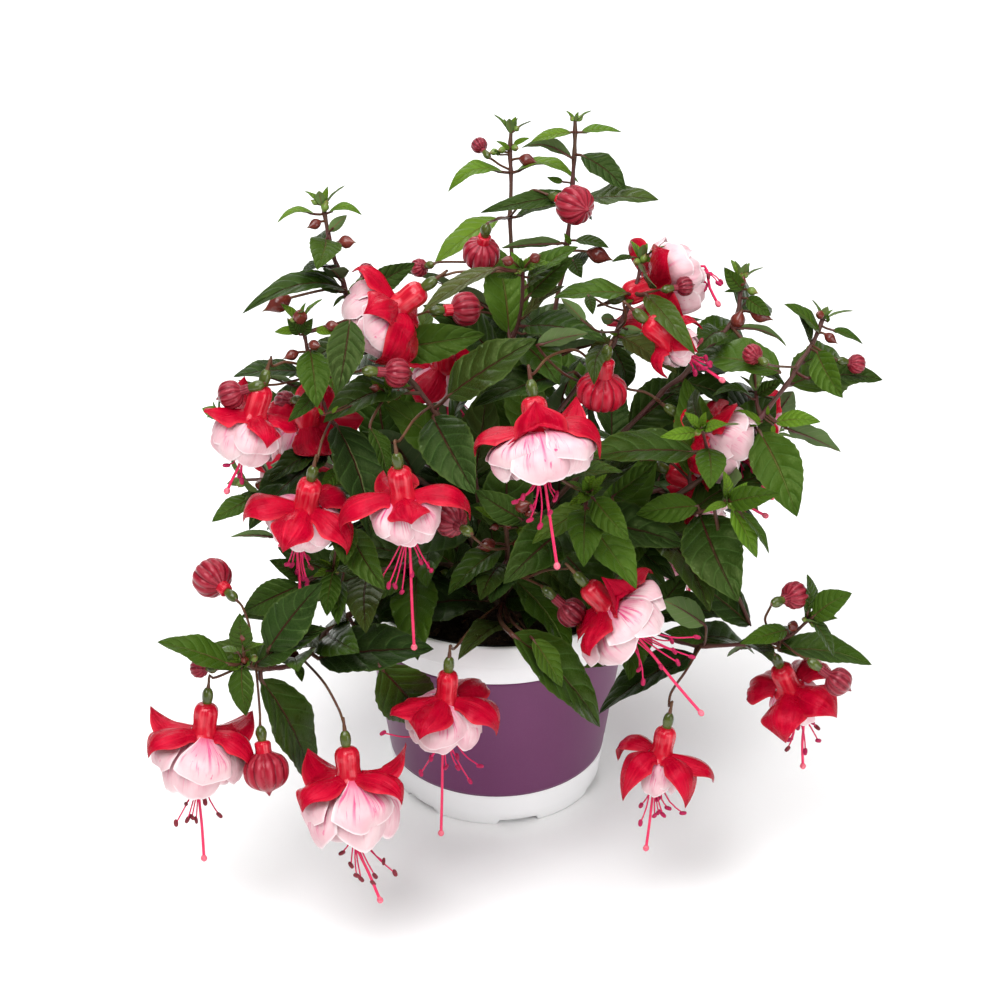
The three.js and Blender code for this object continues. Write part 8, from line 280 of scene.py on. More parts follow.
def lathe(g, O, ax, u, profile, sides, mat, tone=(0, 0, 0), rnd=0.0, shape=None):
    """A turned form about ax through O; profile rows are (distance along, radius), shape(angle, along01) scales the radius."""
    prof = np.asarray(profile, float)
    w = np.cross(ax, u)
    a = np.linspace(0, 2 * math.pi, sides, endpoint=False)[None, :]
    t = np.linspace(0, 1, len(prof))[:, None]
    r = prof[:, 1][:, None] * np.ones_like(a)
    z = prof[:, 0][:, None] * np.ones_like(a)
    if shape is not None:
        r = r * shape(a, t)
    P = O + ax * z[..., None] + u * (r * np.cos(a))[..., None] + w * (r * np.sin(a))[..., None]
    spot = np.zeros(P.shape)
    spot[..., 0] = a / (2 * math.pi); spot[..., 1] = t; spot[..., 2] = rnd
    g.grid(P, spot, tone, mat, wrap=True)
    return P


def dense(profile, n):
    """A smooth profile through the rows, n rows long."""
    p = np.asarray(profile, float)
    s = np.concatenate([[0], np.cumsum(np.linalg.norm(np.diff(p, axis=0), axis=1))])
    q = smooth_path([[a, b, 0] for a, b in p], s[-1] / (n * 2))[:, :2]
    d = np.concatenate([[0], np.cumsum(np.linalg.norm(np.diff(q, axis=0), axis=1))])
    x = np.linspace(0, d[-1], n)
    return np.stack([np.interp(x, d, q[:, 0]), np.maximum(np.interp(x, d, q[:, 1]), 0.0)], 1)


def sheet(g, P, spot, tone, mats, thick):
    """A thin two-sided sheet: P is the upper face; the under face lies thick below it and meets it at the rim."""
    du = np.gradient(P, axis=1); dv = np.gradient(P, axis=0)
    N = np.cross(du, dv)
    N = N / np.maximum(np.linalg.norm(N, axis=2, keepdims=True), 1e-9)
    nr, nc = P.shape[:2]
    e = np.ones((nr, nc, 1)) * thick
    e[:, 0] = e[:, -1] = thick * 0.12
    e[0] = e[-1] = thick * 0.12
    g.grid(P, spot, tone, mats[0])
    g.grid(P - N * e, spot, tone, mats[1], flip=True)


# ---------------------------------------------------------------- materials
class Mat:
    """A material with a Principled shader and short calls for its nodes."""

    def __init__(self, name, rough=0.5, spec=0.5, coat=0.0, coat_rough=0.2, sheen=0.0, sss=0.0, sss_radius=(1, 0.3, 0.2), ior=1.45, tint=None):
        self.m = bpy.data.materials.new(name)
        self.m.use_nodes = True
        self.t = self.m.node_tree
        self.p = next(n for n in self.t.nodes if n.type == "BSDF_PRINCIPLED")
        i = self.p.inputs
        i["Roughness"].default_value = rough
        i["IOR"].default_value = ior
        i["Specular IOR Level"].default_value = spec
        i["Coat Weight"].default_value = coat
        i["Coat Roughness"].default_value = coat_rough
        i["Sheen Weight"].default_value = sheen
        if tint:
            i["Specular Tint"].default_value = (*tint, 1.0)
        if sss:
            i["Subsurface Weight"].default_value = sss
            i["Subsurface Radius"].default_value = sss_radius
            i["Subsurface Scale"].default_value = 0.0015

    def node(self, kind, **props):
        n = self.t.nodes.new(kind)
        for k, v in props.items():
            setattr(n, k, v)
        return n

    def link(self, a, b):
        self.t.links.new(a, b)
        return b

    def put(self, sock, value):
        if hasattr(value, "links") or hasattr(value, "is_linked"):
            self.t.links.new(value, sock)
        elif value is not None:
            sock.default_value = value

    def attr(self, name):
        n = self.node("ShaderNodeAttribute", attribute_name=name)
        s = self.node("ShaderNodeSeparateXYZ")
        self.t.links.new(n.outputs["Vector"], s.inputs[0])
        return s.outputs[0], s.outputs[1], s.outputs[2]

    def math(self, op, a, b=None, c=None, clamp=False):
        n = self.node("ShaderNodeMath", operation=op, use_clamp=clamp)
        self.put(n.inputs[0], a)
        if b is not None:
            self.put(n.inputs[1], b)
        if c is not None:
            self.put(n.inputs[2], c)
        return n.outputs[0]

    def mix(self, fac, a, b, blend="MIX"):
        n = self.node("ShaderNodeMix", data_type="RGBA", blend_type=blend)
        self.put(n.inputs[0], fac)
        for sock, v in ((n.inputs[6], a), (n.inputs[7], b)):
            if isinstance(v, (tuple, list)):
                sock.default_value = (*v, 1.0) if len(v) == 3 else v
            else:
                self.t.links.new(v, sock)
        return n.outputs[2]

    def ramp(self, fac, stops, interp="LINEAR"):
        n = self.node("ShaderNodeValToRGB")
        r = n.color_ramp
        r.interpolation = interp
        while len(r.elements) < len(stops):
            r.elements.new(0.5)
        for e, (pos, col) in zip(r.elements, stops):
            e.position = pos
            e.color = (*col, 1.0) if len(col) == 3 else col
        self.t.links.new(fac, n.inputs[0])
        return n.outputs[0]

    def vector(self, x, y, z):
        n = self.node("ShaderNodeCombineXYZ")
        for s, v in zip(n.inputs, (x, y, z)):
            self.put(s, v)
        return n.outputs[0]

    def where(self):
        return self.node("ShaderNodeTexCoord").outputs["Object"]

    def noise(self, scale, detail=3.0, rough=0.5, vector=None, distortion=0.0):
        n = self.node("ShaderNodeTexNoise")
        n.inputs["Scale"].default_value = scale
        n.inputs["Detail"].default_value = detail
        n.inputs["Roughness"].default_value = rough
        n.inputs["Distortion"].default_value = distortion
        self.t.links.new(vector if vector is not None else self.where(), n.inputs["Vector"])
        return n.outputs["Fac"]

    def range(self, v, a, b, c, d):
        n = self.node("ShaderNodeMapRange", clamp=True)
        self.t.links.new(v, n.inputs[0])
        for i, x in zip((1, 2, 3, 4), (a, b, c, d)):
            n.inputs[i].default_value = x
        return n.outputs[0]

    def bump(self, height, strength, distance, normal=None):
        n = self.node("ShaderNodeBump")
        n.inputs["Strength"].default_value = strength
        n.inputs["Distance"].default_value = distance
        self.t.links.new(height, n.inputs["Height"])
        if normal is not None:
            self.t.links.new(normal, n.inputs["Normal"])
        return n.outputs["Normal"]

    def out(self, color=None, rough=None, normal=None):
        if color is not None:
            self.t.links.new(color, self.p.inputs["Base Color"])
        if rough is not None:
            self.t.links.new(rough, self.p.inputs["Roughness"])
        if normal is not None:
            self.t.links.new(normal, self.p.inputs["Normal"])
        return self.m


def leaf_material(name, under):
    m = Mat(name, rough=0.34, spec=0.24 if not under else 0.12, tint=(0.74, 1.0, 0.34))
    u, v, rnd = m.attr("spot")
    tone, painted_sheen, brown = m.attr("tone")
    au = m.math("ABSOLUTE", u)
    # lateral veins: they leave the midrib and curve forward to the margin
    bend = m.math("MULTIPLY", m.math("POWER", au, 1.25), 0.21)
    wob = m.math("MULTIPLY", m.math("SUBTRACT", m.noise(160.0, 2.0), 0.5), 0.035)
    side = m.math("MULTIPLY", m.math("SIGN", u), 0.022)
    phase = m.math("ADD", m.math("SUBTRACT", v, bend), m.math("ADD", wob, side))
    cell = m.math("FRACT", m.math("MULTIPLY", phase, 6.6))
    tri = m.math("ABSOLUTE", m.math("SUBTRACT", cell, 0.5))      # 0 half way between veins, 0.5 on a vein
    vein = m.range(tri, 0.415, 0.49, 0.0, 1.0)
    fade = m.range(au, 0.72, 0.98, 1.0, 0.15)
    vein = m.math("MULTIPLY", vein, fade)
    rib = m.range(au, 0.020, 0.060, 1.0, 0.0)
    net = m.node("ShaderNodeTexVoronoi", feature="DISTANCE_TO_EDGE")
    net.inputs["Scale"].default_value = 26.0
    m.t.links.new(m.vector(m.math("MULTIPLY", u, 0.32), v, rnd), net.inputs["Vector"])
    mesh = m.range(net.outputs["Distance"], 0.0, 0.07, 1.0, 0.0)
    mottle = m.noise(95.0, 4.0, 0.6)
    patch = m.noise(28.0, 2.0, 0.5)
    if not under:
        dark = m.mix(rnd, (0.0065, 0.0155, 0.0010), (0.0165, 0.033, 0.0024))
        mid = m.mix(rnd, (0.024, 0.052, 0.0032), (0.042, 0.086, 0.0054))
        young = m.mix(rnd, (0.125, 0.215, 0.012), (0.085, 0.170, 0.010))
        base = m.mix(m.range(tone, 0.0, 0.5, 0.0, 1.0), dark, mid)
        base = m.mix(m.range(tone, 0.5, 1.0, 0.0, 1.0), base, young)
        # painted sheen: leaves of kind "b", and some mature ones, get a bluish-grey cast painted into their colour for
        # light glancing off them
        base = m.mix(m.math("MULTIPLY", painted_sheen, 0.6), base, (0.013, 0.027, 0.009))
        base = m.mix(brown, base, (0.055, 0.042, 0.012))
        base = m.mix(m.range(mottle, 0.35, 0.75, 0.0, 0.40), base, m.mix(0.5, base, (0.040, 0.095, 0.018)))
        base = m.mix(m.range(patch, 0.45, 0.8, 0.0, 0.30), base, (0.028, 0.034, 0.010))
        edge = m.range(au, 0.90, 1.0, 0.0, 0.5)
        base = m.mix(edge, base, (0.070, 0.110, 0.022))
        base = m.mix(m.math("MULTIPLY", mesh, 0.14), base, (0.050, 0.110, 0.022))
        base = m.mix(m.math("MULTIPLY", vein, 0.34), base, (0.060, 0.125, 0.028))
        young_rib = m.mix(m.range(v, 0.05, 0.6, 0.0, 1.0), (0.120, 0.030, 0.018), (0.120, 0.190, 0.030))
        old_rib = m.mix(m.range(v, 0.15, 0.9, 0.0, 1.0), (0.052, 0.004, 0.010), (0.020, 0.010, 0.006))
        ribc = m.mix(m.range(tone, 0.25, 0.75, 0.0, 1.0), old_rib, young_rib)
        base = m.mix(m.math("MULTIPLY", rib, 0.85), base, ribc)
        rough = m.range(mottle, 0.3, 0.8, 0.25, 0.40)
    else:
        base = m.mix(tone, (0.070, 0.112, 0.045), (0.140, 0.225, 0.055))
        base = m.mix(m.range(mottle, 0.3, 0.75, 0.0, 0.5), base, (0.095, 0.135, 0.062))
        base = m.mix(m.math("MULTIPLY", mesh, 0.25), base, (0.130, 0.170, 0.085))
        base = m.mix(m.math("MULTIPLY", vein, 0.60), base, (0.150, 0.170, 0.085))
        base = m.mix(m.math("MULTIPLY", rib, 0.90), base, (0.200, 0.055, 0.045))
        rough = m.range(mottle, 0.3, 0.8, 0.48, 0.62)
    # the blade swells between its veins and sinks along them
    swell = m.math("SUBTRACT", 1.0, m.math("POWER", m.math("MULTIPLY", tri, 2.0), 2.2))
    h = m.math("MULTIPLY", swell, 0.75)
    h = m.math("SUBTRACT", h, m.math("MULTIPLY", rib, 1.1))
    h = m.math("SUBTRACT", h, m.math("MULTIPLY", mesh, 0.10))
    h = m.math("ADD", h, m.math("MULTIPLY", m.noise(600.0, 2.0), 0.10))
    nrm = m.bump(h, -0.6 if under else 0.66, 0.00070)
    return m.out(base, rough, nrm)


def stem_material(name, woody):
    m = Mat(name, rough=0.5, spec=0.3)
    u, v, rnd = m.attr("spot")
    tone, k, s = m.attr("tone")
    fine = m.noise(420.0, 3.0, 0.6)
    broad = m.noise(60.0, 2.0)
    young = m.mix(m.range(broad, 0.35, 0.7, 0.0, 1.0), (0.095, 0.028, 0.028), (0.080, 0.045, 0.024))
    old = m.mix(m.range(broad, 0.3, 0.7, 0.0, 1.0), (0.085, 0.040, 0.026), (0.150, 0.095, 0.060))
    base = m.mix(tone, young, old)
    base = m.mix(m.range(fine, 0.45, 0.8, 0.0, 0.35), base, (0.100, 0.048, 0.036))
    if woody:
        base = m.mix(m.range(m.noise(150.0, 4.0, 0.7), 0.4, 0.7, 0.0, 1.0), base, (0.055, 0.030, 0.020))
    nrm = m.bump(m.noise(350.0 if not woody else 180.0, 4.0, 0.65), 0.6 if woody else 0.35, 0.0006 if woody else 0.0003)
    return m.out(base, m.range(fine, 0.3, 0.8, 0.40, 0.62), nrm)


def calyx_material(name, inner):
    m = Mat(name, rough=0.36, spec=0.35 if inner else 0.42, tint=(1.0, 0.18, 0.26))
    u, v, rnd = m.attr("spot")
    tone, k, s = m.attr("tone")
    au = m.math("ABSOLUTE", m.math("SUBTRACT", u, 0.0))
    streak = m.noise(1.0, 3.0, 0.6, vector=m.vector(m.math("MULTIPLY", u, 9.0), m.math("MULTIPLY", v, 1.3), m.math("MULTIPLY", rnd, 20.0)))
    cloud = m.noise(130.0, 3.0, 0.55)
    if inner:
        base = m.mix(m.range(cloud, 0.3, 0.7, 0.0, 1.0), (0.30, 0.0005, 0.014), (0.42, 0.001, 0.022))
        base = m.mix(m.range(streak, 0.5, 0.8, 0.0, 0.5), base, (0.54, 0.005, 0.028))
    else:
        base = m.mix(m.range(cloud, 0.3, 0.7, 0.0, 1.0), (0.29, 0.0003, 0.012), (0.45, 0.0008, 0.020))
        base = m.mix(m.range(streak, 0.50, 0.80, 0.0, 0.55), base, (0.66, 0.012, 0.036))
        # painted highlight: the sepal margins are lightened to a pink sheen where light catches them
        base = m.mix(m.range(au, 0.84, 1.0, 0.0, 0.35), base, (0.80, 0.070, 0.085))
        # painted shade: darker along the midline, where the crease runs
        base = m.mix(m.range(au, 0.03, 0.10, 0.35, 0.0), base, (0.33, 0.001, 0.006))
    h = m.math("ADD", m.math("MULTIPLY", streak, 1.0), m.math("MULTIPLY", m.noise(700.0, 2.0), 0.25))
    nrm = m.bump(h, 0.8, 0.0006)
    return m.out(base, m.range(cloud, 0.3, 0.8, 0.22 if not inner else 0.34, 0.36 if not inner else 0.5), nrm)


def tube_material():
    m = Mat("calyx_tube", rough=0.24, spec=0.5, coat=0.25, coat_rough=0.10, tint=(1.0, 0.45, 0.5))
    u, v, rnd = m.attr("spot")
    ribs = m.math("COSINE", m.math("MULTIPLY", u, 2 * math.pi * 8))
    cloud = m.noise(150.0, 3.0)
    base = m.mix(m.range(cloud, 0.3, 0.7, 0.0, 1.0), (0.42, 0.002, 0.016), (0.56, 0.006, 0.024))
    # pale lengthwise streaks on the shoulders and middle: partly the tube's own streaking, partly painted highlight
    pale = m.noise(1.0, 2.0, 0.5, vector=m.vector(m.math("MULTIPLY", u, 26.0), m.math("MULTIPLY", v, 0.7), m.math("MULTIPLY", rnd, 9.0)))
    band = m.math("MULTIPLY", m.range(v, 0.12, 0.30, 0.0, 1.0), m.range(v, 0.55, 0.85, 1.0, 0.0))
    base = m.mix(m.math("MULTIPLY", m.range(pale, 0.48, 0.72, 0.0, 0.70), band), base, (0.78, 0.100, 0.120))
    # painted shade: darker in the grooves between the eight ribs
    base = m.mix(m.range(ribs, -1.0, -0.3, 0.30, 0.0), base, (0.30, 0.001, 0.010))
    base = m.mix(m.range(v, 0.0, 0.10, 0.55, 0.0), base, (0.26, 0.010, 0.008))
    h = m.math("ADD", m.math("MULTIPLY", ribs, 0.4), m.math("MULTIPLY", m.noise(300.0, 2.0), 0.12))
    return m.out(base, m.range(cloud, 0.3, 0.8, 0.20, 0.32), m.bump(h, 0.30, 0.0004))


def petal_material():
    m = Mat("corolla_petal", rough=0.50, spec=0.20, sheen=0.0, sss=0.05, sss_radius=(1.0, 0.45, 0.5), tint=(1.0, 0.80, 0.85))
    u, v, rnd = m.attr("spot")
    tone, k, s = m.attr("tone")
    au = m.math("ABSOLUTE", u)
    seed = m.math("MULTIPLY", rnd, 37.0)
    fan = m.noise(1.0, 3.0, 0.55, vector=m.vector(m.math("MULTIPLY", u, 3.2), m.math("MULTIPLY", v, 1.4), seed), distortion=0.5)
    soft = m.noise(1.0, 2.0, 0.5, vector=m.vector(m.math("MULTIPLY", u, 1.3), m.math("MULTIPLY", v, 1.8), seed))
    stroke = m.noise(1.0, 3.0, 0.62, vector=m.vector(m.math("MULTIPLY", u, 11.0), m.math("MULTIPLY", v, 1.1), seed), distortion=0.7)
    blot = m.noise(1.0, 2.0, 0.5, vector=m.vector(m.math("MULTIPLY", u, 4.5), m.math("MULTIPLY", v, 3.2), m.math("ADD", seed, 11.0)))
    base = m.mix(m.range(soft, 0.35, 0.65, 0.0, 1.0), (0.64, 0.375, 0.415), (0.720, 0.530, 0.545))
    # painted shade: the inner tiers, tucked under the outer petals, are painted a deeper pink
    base = m.mix(m.math("MULTIPLY", tone, 0.35), base, (0.72, 0.370, 0.420))
    base = m.mix(m.math("MULTIPLY", m.range(fan, 0.45, 0.70, 0.0, 1.0), m.range(v, 0.25, 0.90, 0.75, 0.0)), base, (0.72, 0.280, 0.370))
    base = m.mix(m.range(v, 0.12, 0.42, 0.70, 0.0), base, (0.74, 0.200, 0.330))
    mid = m.math("MULTIPLY", m.range(au, 0.015, 0.075, 1.0, 0.0), m.range(v, 0.30, 0.74, 1.0, 0.0))
    lines = m.math("MULTIPLY", m.range(stroke, 0.555, 0.63, 0.0, 1.0), m.range(v, 0.32, 0.86, 1.0, 0.0))
    mark = m.math("MAXIMUM", m.math("MULTIPLY", mid, 0.75), m.math("MULTIPLY", lines, 0.85))
    mark = m.math("MAXIMUM", mark, m.math("MULTIPLY", m.range(blot, 0.70, 0.76, 0.0, 0.85), m.range(v, 0.80, 0.95, 1.0, 0.0)))
    base = m.mix(mark, base, (0.62, 0.012, 0.165))
    base = m.mix(m.range(v, 0.0, 0.16, 0.9, 0.0), base, (0.60, 0.010, 0.100))
    rim = m.math("MAXIMUM", m.range(au, 0.90, 1.0, 0.0, 0.7), m.range(v, 0.94, 1.0, 0.0, 0.7))
    base = m.mix(rim, base, (0.86, 0.79, 0.79))
    h = m.math("ADD", m.math("MULTIPLY", fan, 1.2), m.math("ADD", m.math("MULTIPLY", stroke, 0.35), m.math("MULTIPLY", m.noise(500.0, 2.0), 0.12)))
    return m.out(base, m.range(fan, 0.3, 0.8, 0.42, 0.58), m.bump(h, 0.75, 0.0007))


def plain_plant(name, a, b, rough, coat=0.0, scale=220.0, bump=0.25, dist=0.0003, tip=None, sss=0.0):
    m = Mat(name, rough=rough, spec=0.35, coat=coat, coat_rough=0.14, sss=sss)
    u, v, rnd = m.attr("spot")
    n = m.noise(scale, 3.0, 0.55)
    base = m.mix(m.range(n, 0.3, 0.7, 0.0, 1.0), a, b)
    if tip is not None:
        base = m.mix(m.range(v, tip[1], tip[2], 0.0, 1.0), base, tip[0])
    return m.out(base, m.range(n, 0.3, 0.8, max(rough - 0.07, 0.05), rough + 0.08), m.bump(m.noise(scale * 3, 3.0), bump, dist))


def bud_material():
    m = Mat("bud_ball", rough=0.32, spec=0.50, coat=0.10, coat_rough=0.12, tint=(1.0, 0.42, 0.48))
    u, v, rnd = m.attr("spot")
    tone, k, s = m.attr("tone")
    seam = m.math("ABSOLUTE", m.math("SINE", m.math("MULTIPLY", u, 2 * math.pi * 2)))   # 0 on the four seams
    rib = m.math("ABSOLUTE", m.math("SINE", m.math("MULTIPLY", u, 2 * math.pi * 6)))
    cloud = m.noise(170.0, 3.0, 0.6)
    base = m.mix(m.range(cloud, 0.3, 0.7, 0.0, 1.0), (0.110, 0.006, 0.014), (0.175, 0.012, 0.022))
    base = m.mix(tone, base, (0.50, 0.003, 0.022))
    base = m.mix(m.range(rib, 0.80, 1.0, 0.0, 0.40), base, (0.42, 0.060, 0.085))
    # painted shade: darker in the grooves between the pleats
    base = m.mix(m.range(rib, 0.0, 0.30, 0.80, 0.0), base, (0.045, 0.001, 0.006))
    base = m.mix(m.range(seam, 0.0, 0.16, 0.35, 0.0), base, (0.48, 0.050, 0.065))
    h = m.math("ADD", m.math("MULTIPLY", rib, 0.6), m.math("MULTIPLY", m.noise(650.0, 2.0), 0.25))
    return m.out(base, m.range(cloud, 0.3, 0.8, 0.24, 0.40), m.bump(h, 0.5, 0.0005))


def pot_material():
    m = Mat("white_polypropylene", rough=0.36, spec=0.45)
    grain = m.noise(900.0, 3.0, 0.55)
    broad = m.noise(14.0, 2.0)
    scuff = m.noise(1.0, 4.0, 0.7, vector=scaled(m, (70.0, 70.0, 900.0)))
    base = m.mix(m.range(broad, 0.3, 0.7, 0.0, 1.0), (0.86, 0.865, 0.875), (0.90, 0.90, 0.905))
    base = m.mix(m.range(scuff, 0.62, 0.78, 0.0, 0.10), base, (0.62, 0.61, 0.60))
    z = m.node("ShaderNodeSeparateXYZ")
    m.t.links.new(m.where(), z.inputs[0])
    base = m.mix(m.range(z.outputs[2], 0.0, 0.007, 0.16, 0.0), base, (0.60, 0.58, 0.55))
    h = m.math("ADD", m.math("MULTIPLY", grain, 0.5), m.math("MULTIPLY", scuff, 0.5))
    return m.out(base, m.range(broad, 0.3, 0.7, 0.32, 0.42), m.bump(h, 0.10, 0.0002))


def scaled(m, s):
    n = m.node("ShaderNodeMapping")
    n.inputs["Scale"].default_value = s
    m.t.links.new(m.where(), n.inputs["Vector"])
    return n.outputs[0]


def inside_material():
    m = Mat("black_pot_inside", rough=0.55, spec=0.4)
    n = m.noise(240.0, 4.0, 0.6)
    base = m.mix(m.range(n, 0.5, 0.75, 0.0, 0.7), (0.012, 0.012, 0.013), (0.060, 0.045, 0.034))
    return m.out(base, m.range(n, 0.3, 0.8, 0.42, 0.7), m.bump(n, 0.2, 0.0003))


def label_material():
    m = Mat("purple_label_film", rough=0.42, spec=0.3, coat=0.06, coat_rough=0.35)
    broad = m.noise(16.0, 2.0)
    fibre = m.noise(1400.0, 3.0, 0.6)
    fleck = m.noise(2600.0, 1.0)
    base = m.mix(m.range(broad, 0.3, 0.7, 0.0, 1.0), (0.124, 0.027, 0.094), (0.140, 0.032, 0.106))
    base = m.mix(m.range(fibre, 0.45, 0.75, 0.0, 0.25), base, (0.158, 0.046, 0.124))
    base = m.mix(m.range(fleck, 0.68, 0.8, 0.0, 0.20), base, (0.30, 0.16, 0.28))
    u, v, rnd = m.attr("spot")
    edge = m.math("MAXIMUM", m.range(v, 0.0, 0.012, 1.0, 0.0), m.range(v, 0.988, 1.0, 0.0, 1.0))
    base = m.mix(m.math("MULTIPLY", edge, 0.5), base, (0.40, 0.28, 0.40))
    return m.out(base, m.range(broad, 0.3, 0.7, 0.36, 0.46), m.bump(fibre, 0.08, 0.00015))


def soil_material(name, chip):
    m = Mat(name, rough=0.9, spec=0.2)
    a = m.noise(240.0, 5.0, 0.7)
    b = m.noise(900.0, 4.0, 0.7)
    vor = m.node("ShaderNodeTexVoronoi")
    vor.inputs["Scale"].default_value = 420.0
    m.t.links.new(m.where(), vor.inputs["Vector"])
    if chip:
        base = m.mix(m.range(a, 0.35, 0.65, 0.0, 1.0), (0.070, 0.038, 0.020), (0.170, 0.100, 0.055))
    else:
        base = m.mix(m.range(a, 0.35, 0.65, 0.0, 1.0), (0.014, 0.009, 0.006), (0.052, 0.031, 0.018))
        base = m.mix(m.range(b, 0.62, 0.75, 0.0, 0.8), base, (0.130, 0.080, 0.045))
    h = m.math("ADD", m.math("MULTIPLY", b, 0.6), m.math("MULTIPLY", vor.outputs["Distance"], 0.8))
    return m.out(base, m.range(b, 0.3, 0.8, 0.80, 0.97), m.bump(h, 0.9, 0.0012))


M_LEAF = leaf_material("leaf_upper", False)
M_UNDER = leaf_material("leaf_under", True)
M_STEM = stem_material("stem_bark", False)
M_WOOD = stem_material("crown_bark", True)
M_RIB = plain_plant("leaf_stalk", (0.070, 0.012, 0.014), (0.085, 0.045, 0.020), 0.42)
M_PED = plain_plant("pedicel", (0.075, 0.020, 0.014), (0.110, 0.052, 0.020), 0.42)
M_OVARY = plain_plant("ovary", (0.034, 0.050, 0.008), (0.080, 0.105, 0.014), 0.26, coat=0.30)
M_TUBE = tube_material()
M_SEP_OUT = calyx_material("sepal_outer", False)
M_SEP_IN = calyx_material("sepal_inner", True)
M_PETAL = petal_material()
M_FIL = plain_plant("filament", (0.56, 0.004, 0.075), (0.68, 0.010, 0.110), 0.38)
M_ANTHER = plain_plant("anther", (0.320, 0.002, 0.050), (0.460, 0.010, 0.085), 0.62, scale=900.0, bump=0.6)
M_DRYANTHER = plain_plant("ripe_anther", (0.130, 0.010, 0.022), (0.260, 0.030, 0.040), 0.70, scale=900.0, bump=0.6)
M_STYLE = plain_plant("style", (0.66, 0.010, 0.085), (0.76, 0.030, 0.120), 0.34)
M_STIGMA = plain_plant("stigma", (0.66, 0.050, 0.120), (0.80, 0.210, 0.260), 0.45, scale=900.0, bump=0.4)
M_BUD = bud_material()
M_SMALLBUD = plain_plant("young_bud", (0.085, 0.012, 0.010), (0.165, 0.028, 0.018), 0.26, coat=0.25, tip=((0.10, 0.07, 0.02), 0.80, 1.0))
M_GREENBUD = plain_plant("green_bud", (0.090, 0.150, 0.020), (0.150, 0.230, 0.035), 0.36, coat=0.1, tip=((0.20, 0.08, 0.04), 0.6, 1.0))
M_POT = pot_material()
M_INSIDE = inside_material()
M_LABEL = label_material()
M_SOIL = soil_material("peat_compost", False)
M_CHIP = soil_material("bark_chip", True)


# ---------------------------------------------------------------- leaves and stems
# tone per leaf kind: age (dark mature to young), amount of painted sheen cast, brown
TONES = {"m": (0.05, 0.0, 0.0), "b": (0.06, 0.9, 0.0), "g": (0.42, 0.0, 0.0), "y": (0.86, 0.0, 0.0), "u": (0.35, 0.0, 0.0), "o": (0.30, 0.0, 0.75)}


def leaf(g, row, rng):
    B, T, N, W, droop, att, kind = vec(row[0]), vec(row[1]), vec(row[2]), row[3], row[4], vec(row[5]), row[6]
    a = T - B
    L = np.linalg.norm(a)
    a = a / L
    n = perp(a, N)
    w = np.cross(n, a)
    nr, nc = (23, 9) if L > 24 else (15, 7) if L > 12 else (9, 5)
    v = np.linspace(0, 1, nr)[:, None]
    u = np.linspace(-1, 1, nc)[None, :]
    u = np.sign(u) * np.abs(u) ** 0.9
    half = W / 2 * (np.sin(math.pi * v**0.78) ** 0.85 * (1 - 0.10 * v) + 0.012)
    half[0] = half[-1] = 0.02
    if L > 14:  # small forward teeth on the margin
        teeth = (np.arange(nr) % 2)[:, None] * np.where(v > 0.12, 1.0, 0.0) * np.where(v < 0.93, 1.0, 0.0)
        half_edge = half * (1 + 0.045 * teeth)
    else:
        half_edge = half
    hw = np.where(np.abs(u) > 0.99, half_edge, half)
    ph, tw, sway = rng.uniform(0, 6.28), rng.uniform(-0.22, 0.22), rng.uniform(-0.035, 0.035)
    wav = (0.10 if L > 20 else 0.05) * rng.uniform(0.5, 1.3)
    z = half * (0.34 * np.abs(u) - 0.16 * u**2) + half * wav * u**2 * np.sin(2 * math.pi * 2.3 * v + ph + 1.5 * np.sign(u))
    z = z + L * 0.0045 * np.sin(2 * math.pi * 6.6 * (v - 0.21 * np.abs(u) ** 1.25)) * (1 - np.abs(u) ** 3) * np.sin(math.pi * v)
    z = z - L * 0.010 * np.exp(-(u / 0.16) ** 2) * np.sin(math.pi * np.clip(v, 0, 1)) ** 0.5
    x = u * hw + L * sway * np.sin(math.pi * v)
    ang = tw * (v - 0.2)
    x, z = x * np.cos(ang) - z * np.sin(ang), x * np.sin(ang) + z * np.cos(ang)
    arch = 4 * v * (1 - v) * droop * L
    P = B + a * (L * v)[..., None] + w * x[..., None] + n * (z + arch)[..., None]
    tone = list(TONES.get(kind, TONES["m"]))
    tone[0] = min(1.0, max(0.0, tone[0] + rng.uniform(-0.05, 0.13)))
    if kind in "mg" and rng.random() < 0.14:
        tone[2] = rng.uniform(0.1, 0.35)
    # some mature leaves also get the painted sheen cast
    if kind == "m" and rng.random() < 0.35:
        tone[1] = rng.uniform(0.2, 0.9)
    spot = np.zeros((nr, nc, 3))
    spot[..., 0] = u; spot[..., 1] = v; spot[..., 2] = rng.random()
    if kind == "u" and False:
        pass
    sheet(g, P[:, ::-1], spot[:, ::-1], tone, (0, 1), 0.28)
    # stalk, and the raised rib below the blade
    d = np.linalg.norm(B - att)
    mid = P[:, nc // 2]
    r = 0.35 + 0.012 * L
    if d > 0.8:
        sag = (att + B) / 2 - n * 0.06 * d
        tube(g, smooth_path([att, sag, B - n * 0.1, mid[2] - n * (r * 0.8 + 0.2)], 1.8), r, 5, 2, rnd=rng.random())
    if L > 14:
        rib = mid[1:-2:2]
        rr = np.linspace(r * 0.80, 0.14, len(rib))
        tube(g, rib - n * (rr[:, None] + 0.16), rr, 4, 2, rnd=rng.random(), caps=False)


